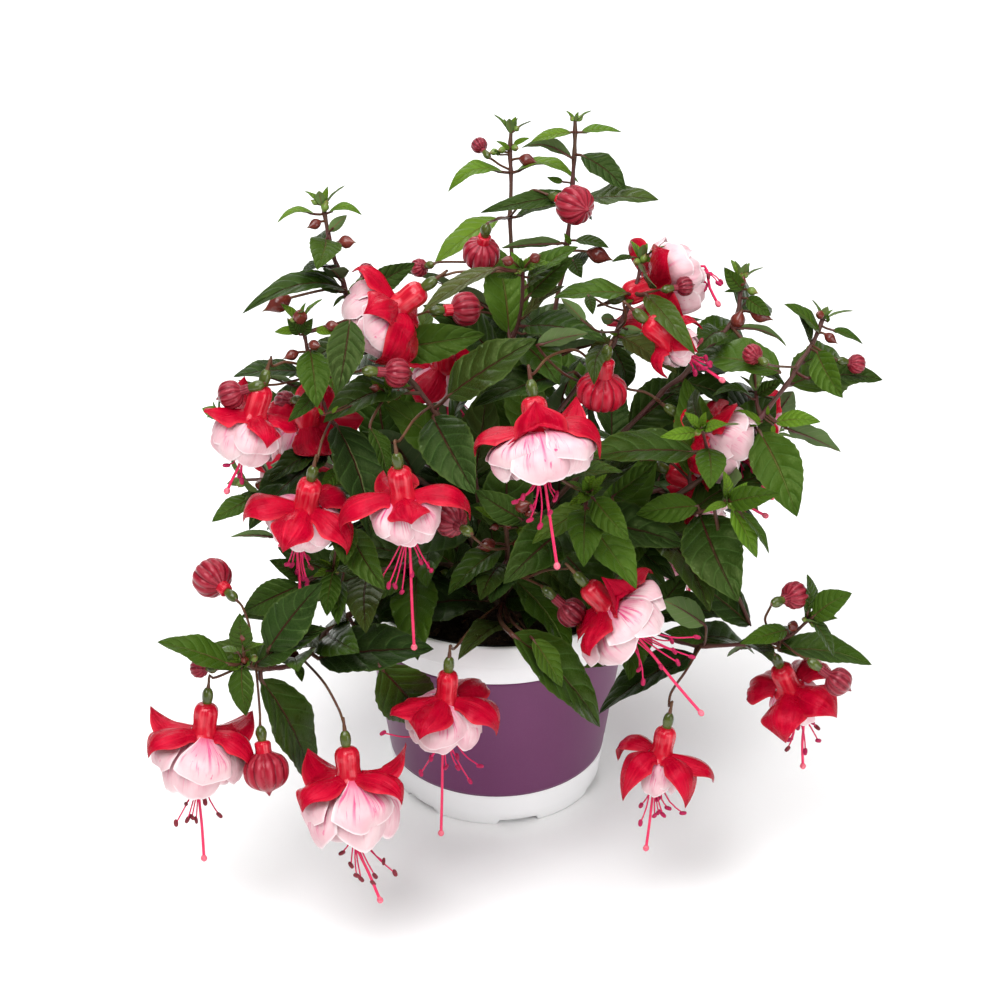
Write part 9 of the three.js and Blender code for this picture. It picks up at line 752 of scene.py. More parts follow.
def small_bud(g, row, rng):
    c, ax, d, att, kind = vec(row[0]), unit(vec(row[1])), row[2], vec(row[3]), row[4]
    u = perp(ax)
    r = d / 2
    mat = 1 if kind in ("p", "r", "b") or d > 4.2 else 2
    base = c - ax * r * 1.15
    if np.linalg.norm(base - att) > 0.7:
        tube(g, smooth_path([att, (att + base) / 2 + np.array([0, 0, 0.05 * d]), base], 0.9), 0.42 + 0.02 * d, 7, 0, rnd=rng.random())
    prof = dense([[-1.25 * r, 0.25 * r], [-0.95 * r, 0.52 * r], [-0.45 * r, 0.86 * r], [0.1 * r, 0.97 * r], [0.60 * r, 0.74 * r], [1.10 * r, 0.36 * r], [1.45 * r, 0.13 * r], [1.85 * r, 0.03 * r]], 11)
    lathe(g, c, ax, u, prof, 14, mat, rnd=rng.random(), shape=lambda a, t: 1 + 0.05 * np.cos(4 * a) * np.sin(math.pi * t))


def young_tip(g, gb, P0, D, rng):
    """A rosette of folded young leaves round the growing point, with one or two green buds in it."""
    u = perp(D)
    w = np.cross(D, u)
    room = min(CAD_BOX[1][k] * 1000 + 6 - P0[k] for k in range(3))
    reach = 1.0 if room > 9 else 0.6
    n = rng.randint(4, 6)
    for i in range(n):
        az = i * 2.4 + rng.uniform(-0.3, 0.3)
        out = u * math.cos(az) + w * math.sin(az)
        L = reach * (5.2 + 6.0 * (1 - i / n)) * rng.uniform(0.85, 1.15)
        up = unit(D * (0.55 + 0.12 * i) + out * (0.95 - 0.10 * i) + np.array([0, 0, 0.15]))
        B = P0 - D * 0.6 + out * 0.5
        leaf(g, [B, B + up * L, unit(D - out * 0.8), L * 0.46, 0.08, B - D * 0.5, "y"], rng)
    for i in range(rng.randint(1, 3)):
        az = rng.uniform(0, 6.28)
        out = u * math.cos(az) + w * math.sin(az)
        c = P0 + (D * rng.uniform(0.5, 2.0) + out * rng.uniform(1.6, 3.2)) * reach
        small_bud(gb, [c, unit(D * 0.8 + out), rng.uniform(1.8, 2.8), P0 - D * 0.3, "g"], rng)


def branch(row, seed):
    name, stems, leaves, buds = row
    rng = random.Random(seed)
    g = Gather()
    joints = [vec(l[5]) for l in leaves]
    for pts, r0, r1 in stems:
        path = smooth_path(pts, 2.2)
        n = len(path)
        t = np.linspace(0, 1, n)
        rad = r0 + (r1 - r0) * t
        for j in joints:  # a stem is thicker where its leaves join
            d = np.linalg.norm(path - j, axis=1)
            if d.min() < 4.0:
                rad = np.maximum(rad, (r0 + (r1 - r0) * t) * (1 + 0.38 * np.exp(-((d - d.min()) / 2.0) ** 2)))
        woody = np.clip((t - 0.55) * 2.2, 0, 1)
        tone = np.zeros((n, 10, 3))
        tone[..., 0] = woody[:, None]
        tube(g, path, rad, 10, 0, tone=tone, rnd=rng.random(), caps=False)
        T0, T1 = unit(path[0] - path[1]), unit(path[-1] - path[-2])
        tube(g, np.array([path[0], path[0] + T0 * 0.6]), [rad[0], rad[0] * 0.3], 10, 0, rnd=0.3)
    g.piece(name + "_stem", [M_STEM], "bark")
    g = Gather()
    for l in leaves:
        leaf(g, l, rng)
    g.piece(name + "_leaves", [M_LEAF, M_UNDER, M_RIB], "foliage", (name,))
    g = Gather()
    for b in buds:
        small_bud(g, b, rng)
    shoots = Gather()
    for pts, r0, r1 in stems:
        young_tip(shoots, g, vec(pts[0]), unit(vec(pts[0]) - vec(pts[1])), rng)
    shoots.piece(name + "_shoots", [M_LEAF, M_UNDER, M_RIB], "foliage")
    g.piece(name + "_tips", [M_PED, M_SMALLBUD, M_GREENBUD], "bud")


# ---------------------------------------------------------------- open flowers
TUBE_SLIM = (18, 19)
SEPAL_WIDE = {18: 0.66, 17: 0.86}
SEPAL_TURN = {(1, 3): (0.02, -0.62, 0.78), (1, 1): (0.95, -0.30, -0.30), (1, 0): (-0.92, -0.10, -0.35),
              (10, 0): (-0.83, -0.12, -0.52), (10, 1): (0.93, -0.02, -0.36), (10, 2): (0.20, -0.90, -0.12)}
COROLLA_TUCK = {1: 0.12, 20: 0.05, 21: 0.03, 14: 0.0, 19: 0.10, 18: 0.10, 17: 0.05}   # how far the petals close in at their ends
SEPAL_BACK = {(14, 3): (0.62, 0.78), (1, 3): (0.42, 0.90)}
SEPAL_SIZE = {(1, 3): (0.52, 2.1), (10, 0): (1.10, 0.82), (10, 1): (1.08, 0.82), (10, 2): (0.64, 1.42), (14, 3): (0.72, 1.1)}


def flower(row):
    name, O, ax, ped, tip, rc, lc, sl, seps, anthers, num = row
    O, ax, tip = vec(O), unit(vec(ax)), vec(tip)
    rng = random.Random(1000 + num)
    e0 = vec(seps[0])
    u = perp(ax, e0 if np.linalg.norm(np.cross(e0, ax)) > 0.1 else None)
    g = Gather()
    # pedicel, swollen a little where it meets the ovary
    path = smooth_path(list(ped) + [O - ax * 3.6, O - ax * 1.5], 1.6)
    t = np.linspace(0, 1, len(path))
    tube(g, path, 0.55 + 0.35 * np.clip((t - 0.93) / 0.07, 0, 1) + 0.25 * np.clip((0.05 - t) / 0.05, 0, 1), 8, 0, rnd=rng.random())
    # ovary
    prof = dense([[-1.9, 0.75], [-1.5, 1.25], [-0.2, 2.0], [1.6, 2.25], [3.4, 2.05], [4.6, 1.75], [5.0, 1.5]], 13)
    lathe(g, O, ax, u, prof, 20, 1, rnd=rng.random(), shape=lambda a, t: 1 + 0.04 * np.cos(4 * a))
    # calyx tube: round shoulders below the ovary, eight soft ribs, flaring into the sepals
    wide = 1.0 if num in TUBE_SLIM else 1.12
    prof = dense([[4.6, 1.5], [4.9, 2.4], [5.7, 3.5], [7.4, 4.25], [10.0, 4.35], [13.0, 4.15], [15.6, 4.45], [17.4, 5.2], [18.4, 6.2]], 20)
    prof[:, 1] *= wide
    lathe(g, O, ax, u, prof, 36, 2, rnd=rng.random(), shape=lambda a, t: 1 + 0.026 * np.cos(8 * a) * np.sin(math.pi * np.clip(t * 1.1, 0, 1)))
    # corolla: round cupped petals wrapped one over the next, a shorter flared tier over them and a folded heart inside
    gc = Gather()
    w = np.cross(ax, u)
    depth = lc - 16.8
    turn = rng.uniform(0, 6.28)
    # count, radius, length, flare, turn in at the end, share of the circle that each petal spans
    tuck0 = COROLLA_TUCK.get(num, 0.20)
    tiers = [(5, 0.86, 1.02, 0.00, tuck0, 1.20), (4, 0.93, 0.70, 0.12, 0.0, 1.02), (4, 0.62, 1.00, 0.02, 0.05, 1.15), (3, 0.34, 0.88, 0.08, 0.00, 1.2)]
    for ri, (cnt, rs, zs, flare, tuck, cover) in enumerate(tiers):
        for k in range(cnt):
            nr, nc = (15, 13) if ri < 2 else (12, 10) if ri < 3 else (9, 8)
            v = np.linspace(0, 1, nr)[:, None]
            s = np.linspace(-1, 1, nc)[None, :]
            span = math.pi / cnt * cover * rng.uniform(0.94, 1.05)
            az0 = turn + 2 * math.pi * (k + 0.5 * (ri % 2)) / cnt + rng.uniform(-0.20, 0.20)
            az = az0 + s * span * (0.50 + 0.50 * np.sin(np.clip(v * 1.7, 0, 1) * math.pi / 2))
            R = rc * rs * rng.uniform(0.92, 1.07)
            ve = v * (1 - 0.34 * np.abs(s) ** 2.2) * (1 - 0.035 * np.exp(-(s / 0.10) ** 2))
            bell = 3.4 + (R - 3.4) * np.sin(np.clip(ve * 1.65, 0, 1) * math.pi / 2) ** 0.80
            bell = bell - R * tuck * np.clip((ve - 0.72) / 0.28, 0, 1) ** 1.6 + R * flare * ve**2.5
            p1, p2, p3 = rng.uniform(0, 6.28), rng.uniform(0, 6.28), rng.uniform(0, 6.28)
            hand = 1.0 if (k + ri) % 2 == 0 else -1.0
            ruff = R * (0.060 + 0.25 * flare) * ve**1.6 * np.sin(s * 3.6 + p1) + R * 0.042 * ve**2.5 * np.sin(s * 8 + p2)
            cupped = R * 0.20 * (1 - s**2) * np.sin(np.clip(ve * 1.0, 0, 1) * math.pi) ** 0.8 - R * 0.06 + R * 0.07 * np.abs(s) ** 5 * v
            lap = (0.13 * R * s * hand + 0.35) * (0.3 + 0.7 * v)
            rad = np.maximum(bell + ruff + cupped + lap, 1.0)
            zz = 16.4 + depth * zs * rng.uniform(0.88, 1.03) * ve + R * (0.035 + 0.10 * flare) * ve**2 * np.cos(s * 5 + p3)
            P = O + ax * zz[..., None] + u * (rad * np.cos(az))[..., None] + w * (rad * np.sin(az))[..., None]
            spot = np.zeros((nr, nc, 3))
            spot[..., 0] = s; spot[..., 1] = v; spot[..., 2] = rng.random()
            # the tier number goes in tone, which the petal material uses for painted shade on the inner tiers
            sheet(gc, P, spot, (ri / 3, 0, 0), (0, 0), 0.32)
    gc.piece(name + "_corolla", [M_PETAL], "flower")
    # how far the corolla reaches from the axis at each distance along it
    Q = np.vstack(gc.v) - O
    qz = Q @ ax
    qr = np.linalg.norm(Q - qz[:, None] * ax, axis=1)
    bins = np.arange(16.0, lc + 3.0, 1.0)
    reach_r = np.array([np.percentile(qr[np.abs(qz - b) < 1.2], 99.3) if (np.abs(qz - b) < 1.2).any() else 0 for b in bins])
    reach_r = np.convolve(np.pad(reach_r, 1, mode="edge"), [0.25, 0.5, 0.25], "valid")

    # four sepals
    S0 = O + ax * 18.0
    full = sl
    knots = np.array([[0, 0.46], [0.08, 0.62], [0.18, 0.85], [0.30, 0.99], [0.42, 1.0], [0.56, 0.90], [0.70, 0.66], [0.81, 0.40], [0.90, 0.19], [0.96, 0.08], [1.0, 0.01]])
    for k, d in enumerate(seps):
        d = unit(vec(SEPAL_TURN.get((num, k), d)))
        e = d - ax * (d @ ax)
        e = unit(e) if np.linalg.norm(e) > 0.12 else perp(ax, np.cross(ax, u))
        if (num, k) in SEPAL_BACK:
            d = unit(e * SEPAL_BACK[num, k][0] - ax * SEPAL_BACK[num, k][1])
        W = SEPAL_WIDE.get(num, 0.72) * full * rng.uniform(0.95, 1.06)
        sl, more = full * SEPAL_SIZE.get((num, k), (1, 1))[0], SEPAL_SIZE.get((num, k), (1, 1))[1]
        W *= SEPAL_SIZE.get((num, k), (1, 1))[0] * more
        tipP = S0 + d * sl
        base = O + ax * 15.8 + e * 4.2 * wide
        rise = d @ ax
        c1 = base + (ax * (0.42 + 0.30 * rise) + e * 0.92) * sl * 0.38
        c2 = S0 + d * sl * 0.64 + e * sl * (0.27 - 0.10 * max(rise, 0)) - ax * sl * 0.10 * np.sign(rise) * min(1, abs(rise) * 3)
        arch = min(1.0, max(0.0, rise * 2.5 + 0.15))
        c1 = c1 * (1 - arch) + (base + (e * 0.50 - ax * 0.16) * sl) * arch
        c2 = c2 * (1 - arch) + (tipP + (e * 0.12 - ax * (0.30 + 0.28 * max(rise, 0))) * sl) * arch
        curl = (unit(tipP - c2) * 0.3 + (e if rise < 0 else e * 0.45) * 0.5) * sl * 0.08
        nr, nc = 23, 11
        v = np.linspace(0, 1, nr)
        bz = [(1 - v) ** 3, 3 * (1 - v) ** 2 * v, 3 * (1 - v) * v**2, v**3]
        C = sum(b[:, None] * p for b, p in zip(bz, (base, c1, c2, tipP + curl)))
        T = np.gradient(C, axis=0); T /= np.linalg.norm(T, axis=1, keepdims=True)
        s0 = unit(np.cross(ax, e))
        S = s0 - T * (T @ s0)[:, None]; S /= np.linalg.norm(S, axis=1, keepdims=True)
        Nn = np.cross(S, T)                       # towards the corolla
        if Nn[2] @ (ax - e * 0.6) < 0:
            Nn = -Nn
        tw = rng.uniform(-0.25, 0.25)
        half = np.interp(v, knots[:, 0], knots[:, 1])
        half = np.convolve(np.pad(half, 1, mode="edge"), [0.25, 0.5, 0.25], "valid")
        half[-1] = 0.006
        half = W / 2 * half
        half = np.maximum(half, np.where(v < 0.3, 4.7 * wide, 0.02) * np.clip(1 - v * 1.2, 0, 1))
        uu = np.linspace(-1, 1, nc)
        ang = tw * v**2
        Sr = S * np.cos(ang)[:, None] + Nn * np.sin(ang)[:, None]
        Nr = -S * np.sin(ang)[:, None] + Nn * np.cos(ang)[:, None]
        cup = 0.62 - 0.34 * v                      # margins turn towards the corolla near the base
        ph = rng.uniform(0, 6.28)
        wavy = 0.10 * v * np.sin(2 * math.pi * 1.3 * v + ph)
        keel = 0.12 * np.exp(-(uu / 0.10) ** 2)
        fold = 0.06 * np.cos(uu * 9.0 + ph)[None, :] * np.sin(math.pi * v)[:, None]
        P = C[:, None] + Sr[:, None] * (half[:, None] * uu)[..., None] + Nr[:, None] * (half[:, None] * (cup[:, None] * uu**2 + wavy[:, None] * uu - keel[None, :] + fold) * (1 - 0.5 * v[:, None] ** 3))[..., None]
        # a sepal lies over the petals, never through them
        for _ in range(2):
            D = P - O
            dz = D @ ax
            rv = D - dz[..., None] * ax
            rr = np.linalg.norm(rv, axis=2)
            need = np.interp(dz, bins, reach_r, left=0, right=0) + 0.9
            need = np.where((dz > 17.0) & (dz < lc), need, 0)
            push = np.clip(need - rr, 0, None) * np.clip((v[:, None] - 0.03) / 0.12, 0, 1)
            top = push.max(axis=1)
            top = np.convolve(np.pad(top, 2, mode="edge"), [0.1, 0.2, 0.4, 0.2, 0.1], "valid")
            push = np.maximum(push, top[:, None] * 0.55)
            P = P + rv / np.maximum(rr, 1e-6)[..., None] * push[..., None]
        spot = np.zeros((nr, nc, 3))
        spot[..., 0] = uu[None, :]; spot[..., 1] = v[:, None]; spot[..., 2] = rng.random()
        # the face whose normal points away from the corolla is the outer one
        du = P[7, 6] - P[7, 4]; dv = P[8, 5] - P[6, 5]
        if np.cross(du, dv) @ Nn[7] > 0:
            P, spot = P[:, ::-1], spot[:, ::-1]
        sheet(g, P, spot, (0, 0, 0), (3, 4), 0.6)
    # the pistil's and stamens' foot closes the tube
    lathe(g, O, ax, u, [[18.2, 5.6 * wide], [16.6, 4.2], [15.4, 2.4], [15.0, 0.02]], 28, 4, rnd=0.5)
    g.piece(name + "_calyx", [M_PED, M_OVARY, M_TUBE, M_SEP_OUT, M_SEP_IN], "flower", (name,))

    # stamens and pistil
    g = Gather()
    throat = O + ax * (lc - 9.0)
    foot = O + ax * 15.6
    out = tip - (O + ax * lc)
    reach = np.linalg.norm(out)
    od = unit(out)
    pistil = smooth_path([foot, throat, O + ax * (lc + 2.0) + od * 0.5, (O + ax * lc) * 0.45 + tip * 0.55 + np.array([0, 0, -0.01 * reach]), tip], 3.0)
    tube(g, pistil, np.linspace(0.50, 0.62, len(pistil)), 7, 2, rnd=rng.random())
    td = unit(pistil[-1] - pistil[-3])
    tu = perp(td)
    prof = dense([[-1.5, 0.5], [-1.1, 0.85], [-0.3, 1.2], [0.6, 1.15], [1.2, 0.7], [1.5, 0.05]], 9)
    lathe(g, tip, td, tu, prof, 12, 3, rnd=rng.random(), shape=lambda a, t: 1 + 0.10 * np.cos(4 * a) * t)
    ends = [vec(p) for p in anthers]
    q = perp(od)
    q2 = np.cross(od, q)
    k = 0
    while len(ends) < 8:
        an = 2 * math.pi * (k * 0.382 + rng.random() * 0.1)
        far = rng.uniform(0.22, 0.56) * reach
        wide = rng.uniform(0.10, 0.22) * reach + 1.5
        ends.append(O + ax * lc + od * far + (q * math.cos(an) + q2 * math.sin(an)) * wide)
        k += 1
    for i, E in enumerate(ends):
        an = 2 * math.pi * i / 8
        c = foot + (q * math.cos(an) + q2 * math.sin(an)) * 1.4
        m1 = throat + (q * math.cos(an) + q2 * math.sin(an)) * 2.0
        m2 = (O + ax * lc) * 0.5 + E * 0.5 + (E - throat - od * ((E - throat) @ od)) * 0.05
        p = smooth_path([c, m1, m2, E], 3.0)
        tube(g, p, np.linspace(0.42, 0.30, len(p)), 5, 0, rnd=rng.random())
        ad = unit(unit(p[-1] - p[-3]) + 0.8 * vec([rng.uniform(-1, 1) for _ in range(3)]))
        prof = dense([[-1.6, 0.1], [-1.3, 0.62], [0.0, 0.86], [1.3, 0.60], [1.6, 0.05]], 7)
        lathe(g, E, ad, perp(ad), prof, 8, 4 if num in (20, 21) or rng.random() < 0.12 else 1, rnd=rng.random(), shape=lambda a, t: 0.78 + 0.32 * np.abs(np.cos(a)))
    g.piece(name + "_stamens", [M_FIL, M_ANTHER, M_STYLE, M_STIGMA, M_DRYANTHER], "flower")


# ---------------------------------------------------------------- large closed buds
def big_bud(row, own_node):
    name, O, ax, ped, r, s, Lr = row
    O, ax = vec(O), unit(vec(ax))
    rng = random.Random(3000 + int(name[-2:]))
    u = perp(ax)
    k = min(1.0, s)
    deep = 1.35 if r > 9 else 1.0
    g = Gather()
    path = smooth_path(list(ped) + [O - ax * 2.6 * k], 1.5)
    t = np.linspace(0, 1, len(path))
    tube(g, path, 0.50 + 0.30 * np.clip((t - 0.92) / 0.08, 0, 1), 9, 0, rnd=rng.random())
    prof = dense([[-3.1 * k, 0.35 * k], [-2.7 * k, 1.1 * k], [-1.2 * k, 2.0 * k], [0.2 * k, 2.2 * k], [2.2 * k, 1.8 * k], [3.3 * k, 1.5 * k]], 10)
    lathe(g, O, ax, u, prof, 18, 1, rnd=rng.random(), shape=lambda a, t: 1 + 0.03 * np.cos(4 * a))
    if r > 9:
        Lr, r = Lr * 0.93, r * 1.04
    flat = 0.84 if r > 9 else 1.0
    neck = max(Lr - r * 0.86 * flat, 3.6 * k)
    rt = r * 0.36
    prof = dense([[3.1 * k, 1.5 * k], [3.4 * k, min(2.6 * k, rt)], [4.1 * k, min(3.5 * k, rt * 1.02)], [(4.6 * k + neck) / 2, rt * 1.0], [neck, rt * 1.05]], 10)
    lathe(g, O, ax, u, prof, 24, 2 if r >= 6.4 else 3, rnd=rng.random(), shape=lambda a, t: 1 + 0.03 * np.cos(8 * a))
    # the ball: twelve soft pleats, four of them the seams of the sepals, drawn to a point
    prof = [[neck - 0.06 * r, rt * 1.05]] + [[Lr + r * flat * q, r * w] for q, w in ((-0.80, 0.60), (-0.66, 0.84), (-0.36, 1.02), (0.0, 1.06), (0.34, 0.99), (0.62, 0.76), (0.80, 0.43), (0.91, 0.17), (1.12, 0.03))]
    prof = dense(prof, 26 if r >= 6.4 else 20)

    def pleats(a, t):
        rib = np.abs(np.sin(6 * a))
        seam = np.exp(-(np.abs(np.sin(2 * a)) / 0.10) ** 2)
        mid = np.sin(math.pi * np.clip(t, 0.02, 0.98)) ** 0.7
        return 1 - mid * (0.105 * deep * (1 - rib) ** 1.4) + mid * 0.022 * seam

    lathe(g, O, ax, u, prof, 84 if r >= 6.4 else 60, 3, tone=(rng.uniform(0.0, 0.12) if r < 6.4 else 0.25 if r < 8 else 0.35 if r < 9 else 0.75, 0, 0), rnd=rng.random(), shape=pleats)
    g.piece(name + "_bud", [M_PED, M_OVARY, M_TUBE, M_BUD], "bud", (name,) if own_node else ())


# ---------------------------------------------------------------- pot, label, compost and crown
def wall_r(z):
    return BASE_R + (POT_RIM_R - BAND_STEP - BASE_R) * (z / POT_H)


def pot():
    n = 240
    a = np.linspace(0, 2 * math.pi, n, endpoint=False)
    notch = np.zeros(n)
    for i in range(NOTCHES):
        c = 2 * math.pi * (i + 0.5) / NOTCHES + NOTCH_TURN
        d = np.abs((a - c + math.pi) % (2 * math.pi) - math.pi) * BASE_R
        notch = np.maximum(notch, np.clip((8.6 - d) / 0.7, 0, 1))
    lift = notch * NOTCH_H

    def rows(prof, mat, flip=False, smooth_floor=True):
        prof = np.asarray(prof, float)
        P = np.zeros((len(prof), n, 3))
        for i, (r, z) in enumerate(prof):
            zz = np.maximum(z, lift) if z < NOTCH_H + 0.01 else np.full(n, z)
            P[i] = np.stack([r * np.cos(a), r * np.sin(a), zz], 1)
        spot = np.zeros(P.shape)
        spot[..., 0] = a / (2 * math.pi)
        spot[..., 1] = np.linspace(0, 1, len(prof))[:, None]
        g.grid(P, spot, (0, 0, 0), mat, wrap=True, flip=flip)

    g = Gather()
    w = wall_r
    # underside, foot and outer wall with a label recess, then the banded rim with its rounded lip
    rows([[0.05, 1.6], [34.0, 1.6], [36.4, 1.2], [37.0, 0.25], [37.6, 0.0]], 0)
    rows([[37.6, 0.0], [BASE_R - 1.0, 0.0]], 0)
    rows([[BASE_R - 1.0, 0.0], [BASE_R - 0.35, 0.18], [w(0.9), 0.9], [w(2.8), 2.8], [w(6), 6], [w(LABEL_Z0 - 0.5), LABEL_Z0 - 0.5]], 0)
    rows([[w(LABEL_Z0 - 0.5), LABEL_Z0 - 0.5], [w(LABEL_Z0) - 0.35, LABEL_Z0 - 0.25], [w(LABEL_Z0) - 0.5, LABEL_Z0 + 0.3], [w(LABEL_Z1) - 0.5, LABEL_Z1 - 0.3], [w(LABEL_Z1) - 0.35, LABEL_Z1 + 0.25], [w(LABEL_Z1 + 0.5), LABEL_Z1 + 0.5]], 0)
    rows([[w(LABEL_Z1 + 0.5), LABEL_Z1 + 0.5], [w(BAND_Z) - 0.05, BAND_Z - 0.3], [w(BAND_Z) + 0.12, BAND_Z + 0.1], [w(BAND_Z) + 0.9, BAND_Z + 0.55], [POT_RIM_R - 0.75, BAND_Z + 1.0], [POT_RIM_R - 0.45, BAND_Z + 1.6],
          [POT_RIM_R - 0.1, POT_H - 2.0], [POT_RIM_R, POT_H - 1.0], [POT_RIM_R - 0.15, POT_H - 0.4], [POT_RIM_R - 0.5, POT_H - 0.08], [POT_RIM_R - 0.85, POT_H]], 0)
    ir = lambda z: w(z) - POT_WALL
    rows([[POT_RIM_R - 0.85, POT_H], [ir(POT_H) + 0.35, POT_H - 0.08], [ir(POT_H), POT_H - 0.6], [ir(SOIL_Z), SOIL_Z], [ir(60), 60], [ir(FLOOR_Z + 2), FLOOR_Z + 2], [ir(FLOOR_Z) - 1.5, FLOOR_Z], [0.05, FLOOR_Z]], 1)
    # four drain holes under the base read as dark recessed wells
    g.piece("pot_shell", [M_POT, M_INSIDE], "pot_white", ("pot",))
    g = Gather()
    for i in range(4):
        b = 2 * math.pi * i / 4 + 0.4
        c = np.array([27 * math.cos(b), 27 * math.sin(b), 0])
        lathe(g, c, np.array([0, 0, 1.0]), np.array([1.0, 0, 0]), [[1.45, 4.5], [1.40, 4.15], [1.75, 4.0], [3.6, 3.95], [3.7, 0.02]], 28, 0)
    g.piece("pot_drain_wells", [M_INSIDE], "pot_white")

    g = Gather()
    z = np.linspace(LABEL_Z0, LABEL_Z1, 40)
    wob = 0.03
    prof = [[w(z0) - 0.35, z0] for z0 in z]
    prof = [[prof[0][0] - 0.15, LABEL_Z0]] + prof + [[prof[-1][0] - 0.15, LABEL_Z1]]
    P = np.zeros((len(prof), n, 3))
    for i, (r, zz) in enumerate(prof):
        lapped = 0.16 * np.clip(1 - np.abs((a - 1.62 + math.pi) % (2 * math.pi) - math.pi) / 0.10, 0, 1) ** 0.25
        rr = r + wob * np.sin(3 * a + 0.05 * zz) + lapped * (0.0 if i in (0, len(prof) - 1) else 1.0)
        P[i] = np.stack([rr * np.cos(a), rr * np.sin(a), np.full(n, zz)], 1)
    spot = np.zeros(P.shape); spot[..., 0] = a / (2 * math.pi); spot[..., 1] = np.linspace(0, 1, len(prof))[:, None]
    g.grid(P, spot, (0, 0, 0), 0, wrap=True)
    g.piece("pot_label_film", [M_LABEL], "label_purple", ("pot_label",))


def compost():
    rng = np.random.default_rng(11)
    g = Gather()
    n, nr = 180, 60
    a = np.linspace(0, 2 * math.pi, n, endpoint=False)[None, :]
    ir = wall_r(SOIL_Z) - POT_WALL - 0.35
    rr = np.concatenate([np.linspace(0.05, ir, nr)])[:, None]
    x, y = rr * np.cos(a), rr * np.sin(a)
    h = np.zeros_like(x)
    for i in range(60):
        th = rng.uniform(0, 2 * math.pi); f = rng.uniform(0.15, 1.7)
        h += (0.42 / (0.45 + f)) * np.sin(f * (x * math.cos(th) + y * math.sin(th)) + rng.uniform(0, 6.28)) * 0.42
    lumps = rng.uniform(-50, 50, (420, 2)); size = rng.uniform(1.0, 3.2, 420)
    for (cx, cy), sz in zip(lumps, size):
        d2 = (x - cx) ** 2 + (y - cy) ** 2
        h = np.maximum(h, -0.4 + sz * 0.62 * np.exp(-d2 / (sz * sz * 0.55)))
    edge = np.clip((rr / ir - 0.90) / 0.10, 0, 1)
    z = SOIL_Z - 1.6 + np.clip(h, -1.4, 1.9) * (1 - 0.5 * edge) + 0.6 * edge - 0.9
    P = np.stack([x, y, z], 2)
    g.grid(P, 0.5, (0, 0, 0), 0, wrap=True)
    zs = np.array([SOIL_Z - 2.0, 60.0, FLOOR_Z + 0.4])
    side = np.stack([np.stack([(wall_r(q) - POT_WALL - 0.35) * np.cos(a[0]), (wall_r(q) - POT_WALL - 0.35) * np.sin(a[0]), np.full(n, q)], 1) for q in zs])
    side[0] = P[-1]
    g.grid(side, 0.5, (0, 0, 0), 0, wrap=True)
    g.fan(side[-1], np.array([0, 0, FLOOR_Z + 0.4]), 0.5, (0, 0, 0), 0)
    # loose bark chips and peat crumbs pressed into the surface
    for i in range(130):
        th, q = rng.uniform(0, 2 * math.pi), ir * 0.94 * math.sqrt(rng.uniform(0.06, 1))
        c = np.array([q * math.cos(th), q * math.sin(th), SOIL_Z - 1.9 + rng.uniform(-0.2, 0.7)])
        ax = unit(np.array([rng.uniform(-1, 1), rng.uniform(-1, 1), rng.uniform(-0.25, 0.35)]))
        s = rng.uniform(0.8, 2.1)
        prof = [[-1.4 * s, 0.05], [-1.2 * s, 0.55 * s], [-0.2 * s, 0.75 * s], [0.8 * s, 0.6 * s], [1.3 * s, 0.05]]
        ph = rng.uniform(0, 6.28, 3)
        lathe(g, c, ax, perp(ax), prof, 9, 1, rnd=float(rng.random()), shape=lambda aa, t: 0.72 + 0.22 * np.sin(3 * aa + ph[0]) + 0.16 * np.sin(5 * t * 3 + ph[1]))
    g.piece("compost_bed", [M_SOIL, M_CHIP], "compost", ("soil",))

    g = Gather()
    n, nr = 96, 30
    a = np.linspace(0, 2 * math.pi, n, endpoint=False)[None, :]
    t = np.linspace(0, 1, nr)[:, None]
    prof = np.array([[14.0, -2.2], [13.8, 0.2], [12.6, 1.9], [10.4, 4.2], [7.6, 5.9], [4.0, 6.8], [0.02, 7.2]])
    pr = smooth_path([[p[0], p[1], 0] for p in prof], 0.9)
    d = np.linspace(0, len(pr) - 1, nr)
    R = np.interp(d, np.arange(len(pr)), pr[:, 0])[:, None]
    Z = np.interp(d, np.arange(len(pr)), pr[:, 1])[:, None]
    ph = rng.uniform(0, 6.28, 6)
    lump = 0.86 + 0.10 * np.sin(5 * a + ph[0] + 2 * t) + 0.05 * np.sin(11 * a + ph[1]) + 0.03 * np.sin(19 * a + 9 * t + ph[2])
    P = np.stack([R * lump * np.cos(a), R * lump * np.sin(a), SOIL_Z - 0.4 + Z * (0.93 + 0.06 * np.sin(7 * a + ph[3]))], 2)
    g.grid(P, 0.5, (1.0, 0, 0), 0, wrap=True)
    g.piece("crown_wood", [M_WOOD], "bark", ("crown",))


# ---------------------------------------------------------------- build
for i, row in enumerate(BRANCHES):
    branch(row, 100 + i)
for row in FLOWERS:
    flower(row)
OWN = set(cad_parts)
for row in BUDS:
    big_bud(row, row[0] in OWN)
pot()
compost()

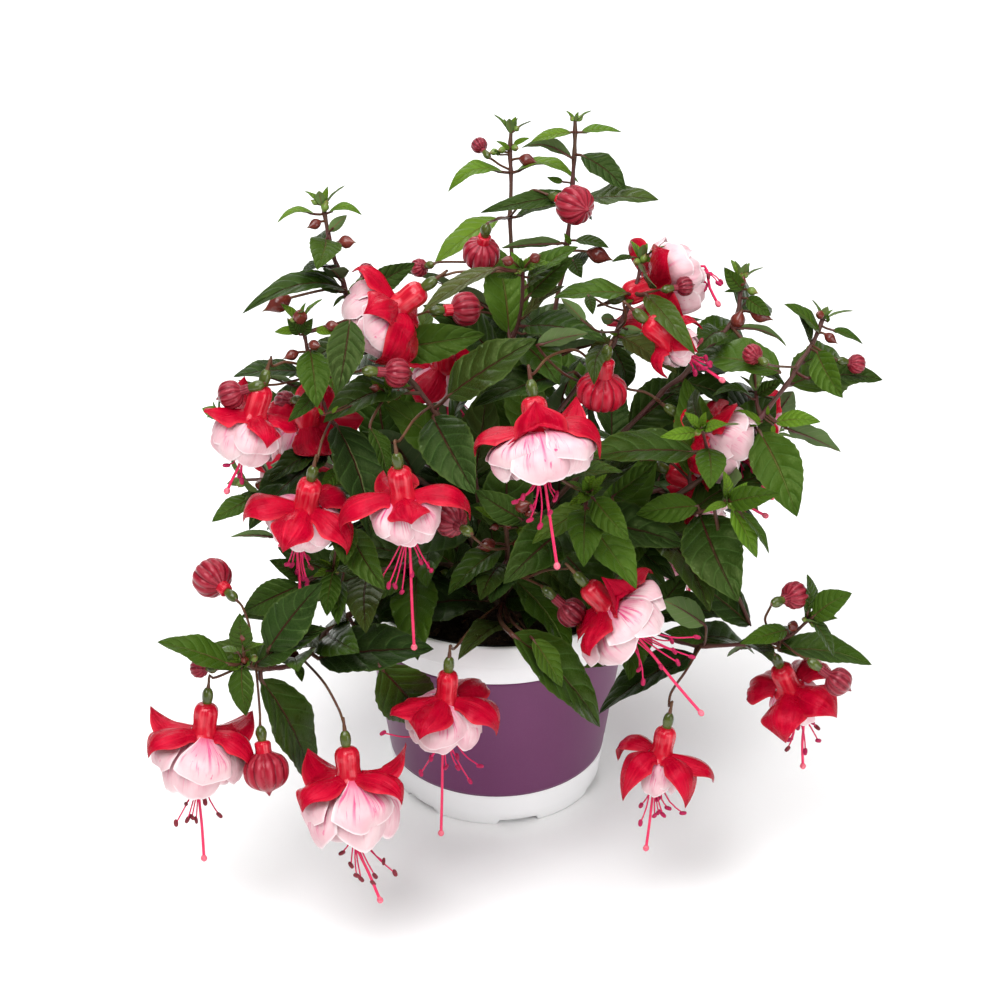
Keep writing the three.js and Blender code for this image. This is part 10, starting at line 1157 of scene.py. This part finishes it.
for o, slot, nodes in PIECES:
    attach(o, "root")
    if nodes:
        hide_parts(*nodes)

# ---------------------------------------------------------------- floor, light and camera
def sky_and_floor():
    me = bpy.data.meshes.new("floor")
    s = 6.0
    me.from_pydata([(-s, -s, 0), (s, -s, 0), (s, s, 0), (-s, s, 0)], [], [(0, 1, 2, 3)])
    o = bpy.data.objects.new("floor", me)
    bpy.context.scene.collection.objects.link(o)
    m = Mat("pale_floor", rough=0.75, spec=0.2)
    n = m.noise(3.0, 2.0)
    m.out(m.mix(n, (0.93, 0.93, 0.93), (0.95, 0.95, 0.95)))
    me.materials.append(m.m)
    w = bpy.data.worlds.new("studio")
    bpy.context.scene.world = w
    w.use_nodes = True
    bg = next(n for n in w.node_tree.nodes if n.type == "BACKGROUND")
    bg.inputs["Color"].default_value = (1.0, 1.0, 1.0, 1.0)
    bg.inputs["Strength"].default_value = 0.24


def area(name, loc, size, power, target=(0, 0, 0.13)):
    li = bpy.data.lights.new(name, "AREA")
    li.shape = "RECTANGLE"
    li.size, li.size_y = size
    li.energy = power
    o = bpy.data.objects.new(name, li)
    bpy.context.scene.collection.objects.link(o)
    o.location = loc
    o.rotation_euler = (Vector(target) - Vector(loc)).to_track_quat("-Z", "Y").to_euler()


sky_and_floor()
area("key", (-0.50, -0.85, 1.50), (1.0, 1.0), 23.0)
area("over", (0.15, 0.10, 2.00), (2.2, 2.2), 42.0)
area("fill", (0.9, -1.15, 0.55), (0.9, 0.9), 9.0)
area("back", (-0.3, 1.2, 0.9), (1.0, 0.6), 6.0)

bpy.context.scene.view_settings.view_transform = "Standard"
cam = bpy.data.cameras.new("camera")
cam.sensor_width = 36.0
cam.sensor_fit = "HORIZONTAL"
cam.lens = 131.22
cam.clip_start, cam.clip_end = 0.05, 20.0
co = bpy.data.objects.new("camera", cam)
bpy.context.scene.collection.objects.link(co)
co.location = (0.0014, -1.28304, 0.91034)
co.rotation_euler = (Vector((0.0014, 0.0, 0.1333)) - Vector(co.location)).to_track_quat("-Z", "Y").to_euler()
bpy.context.scene.camera = co
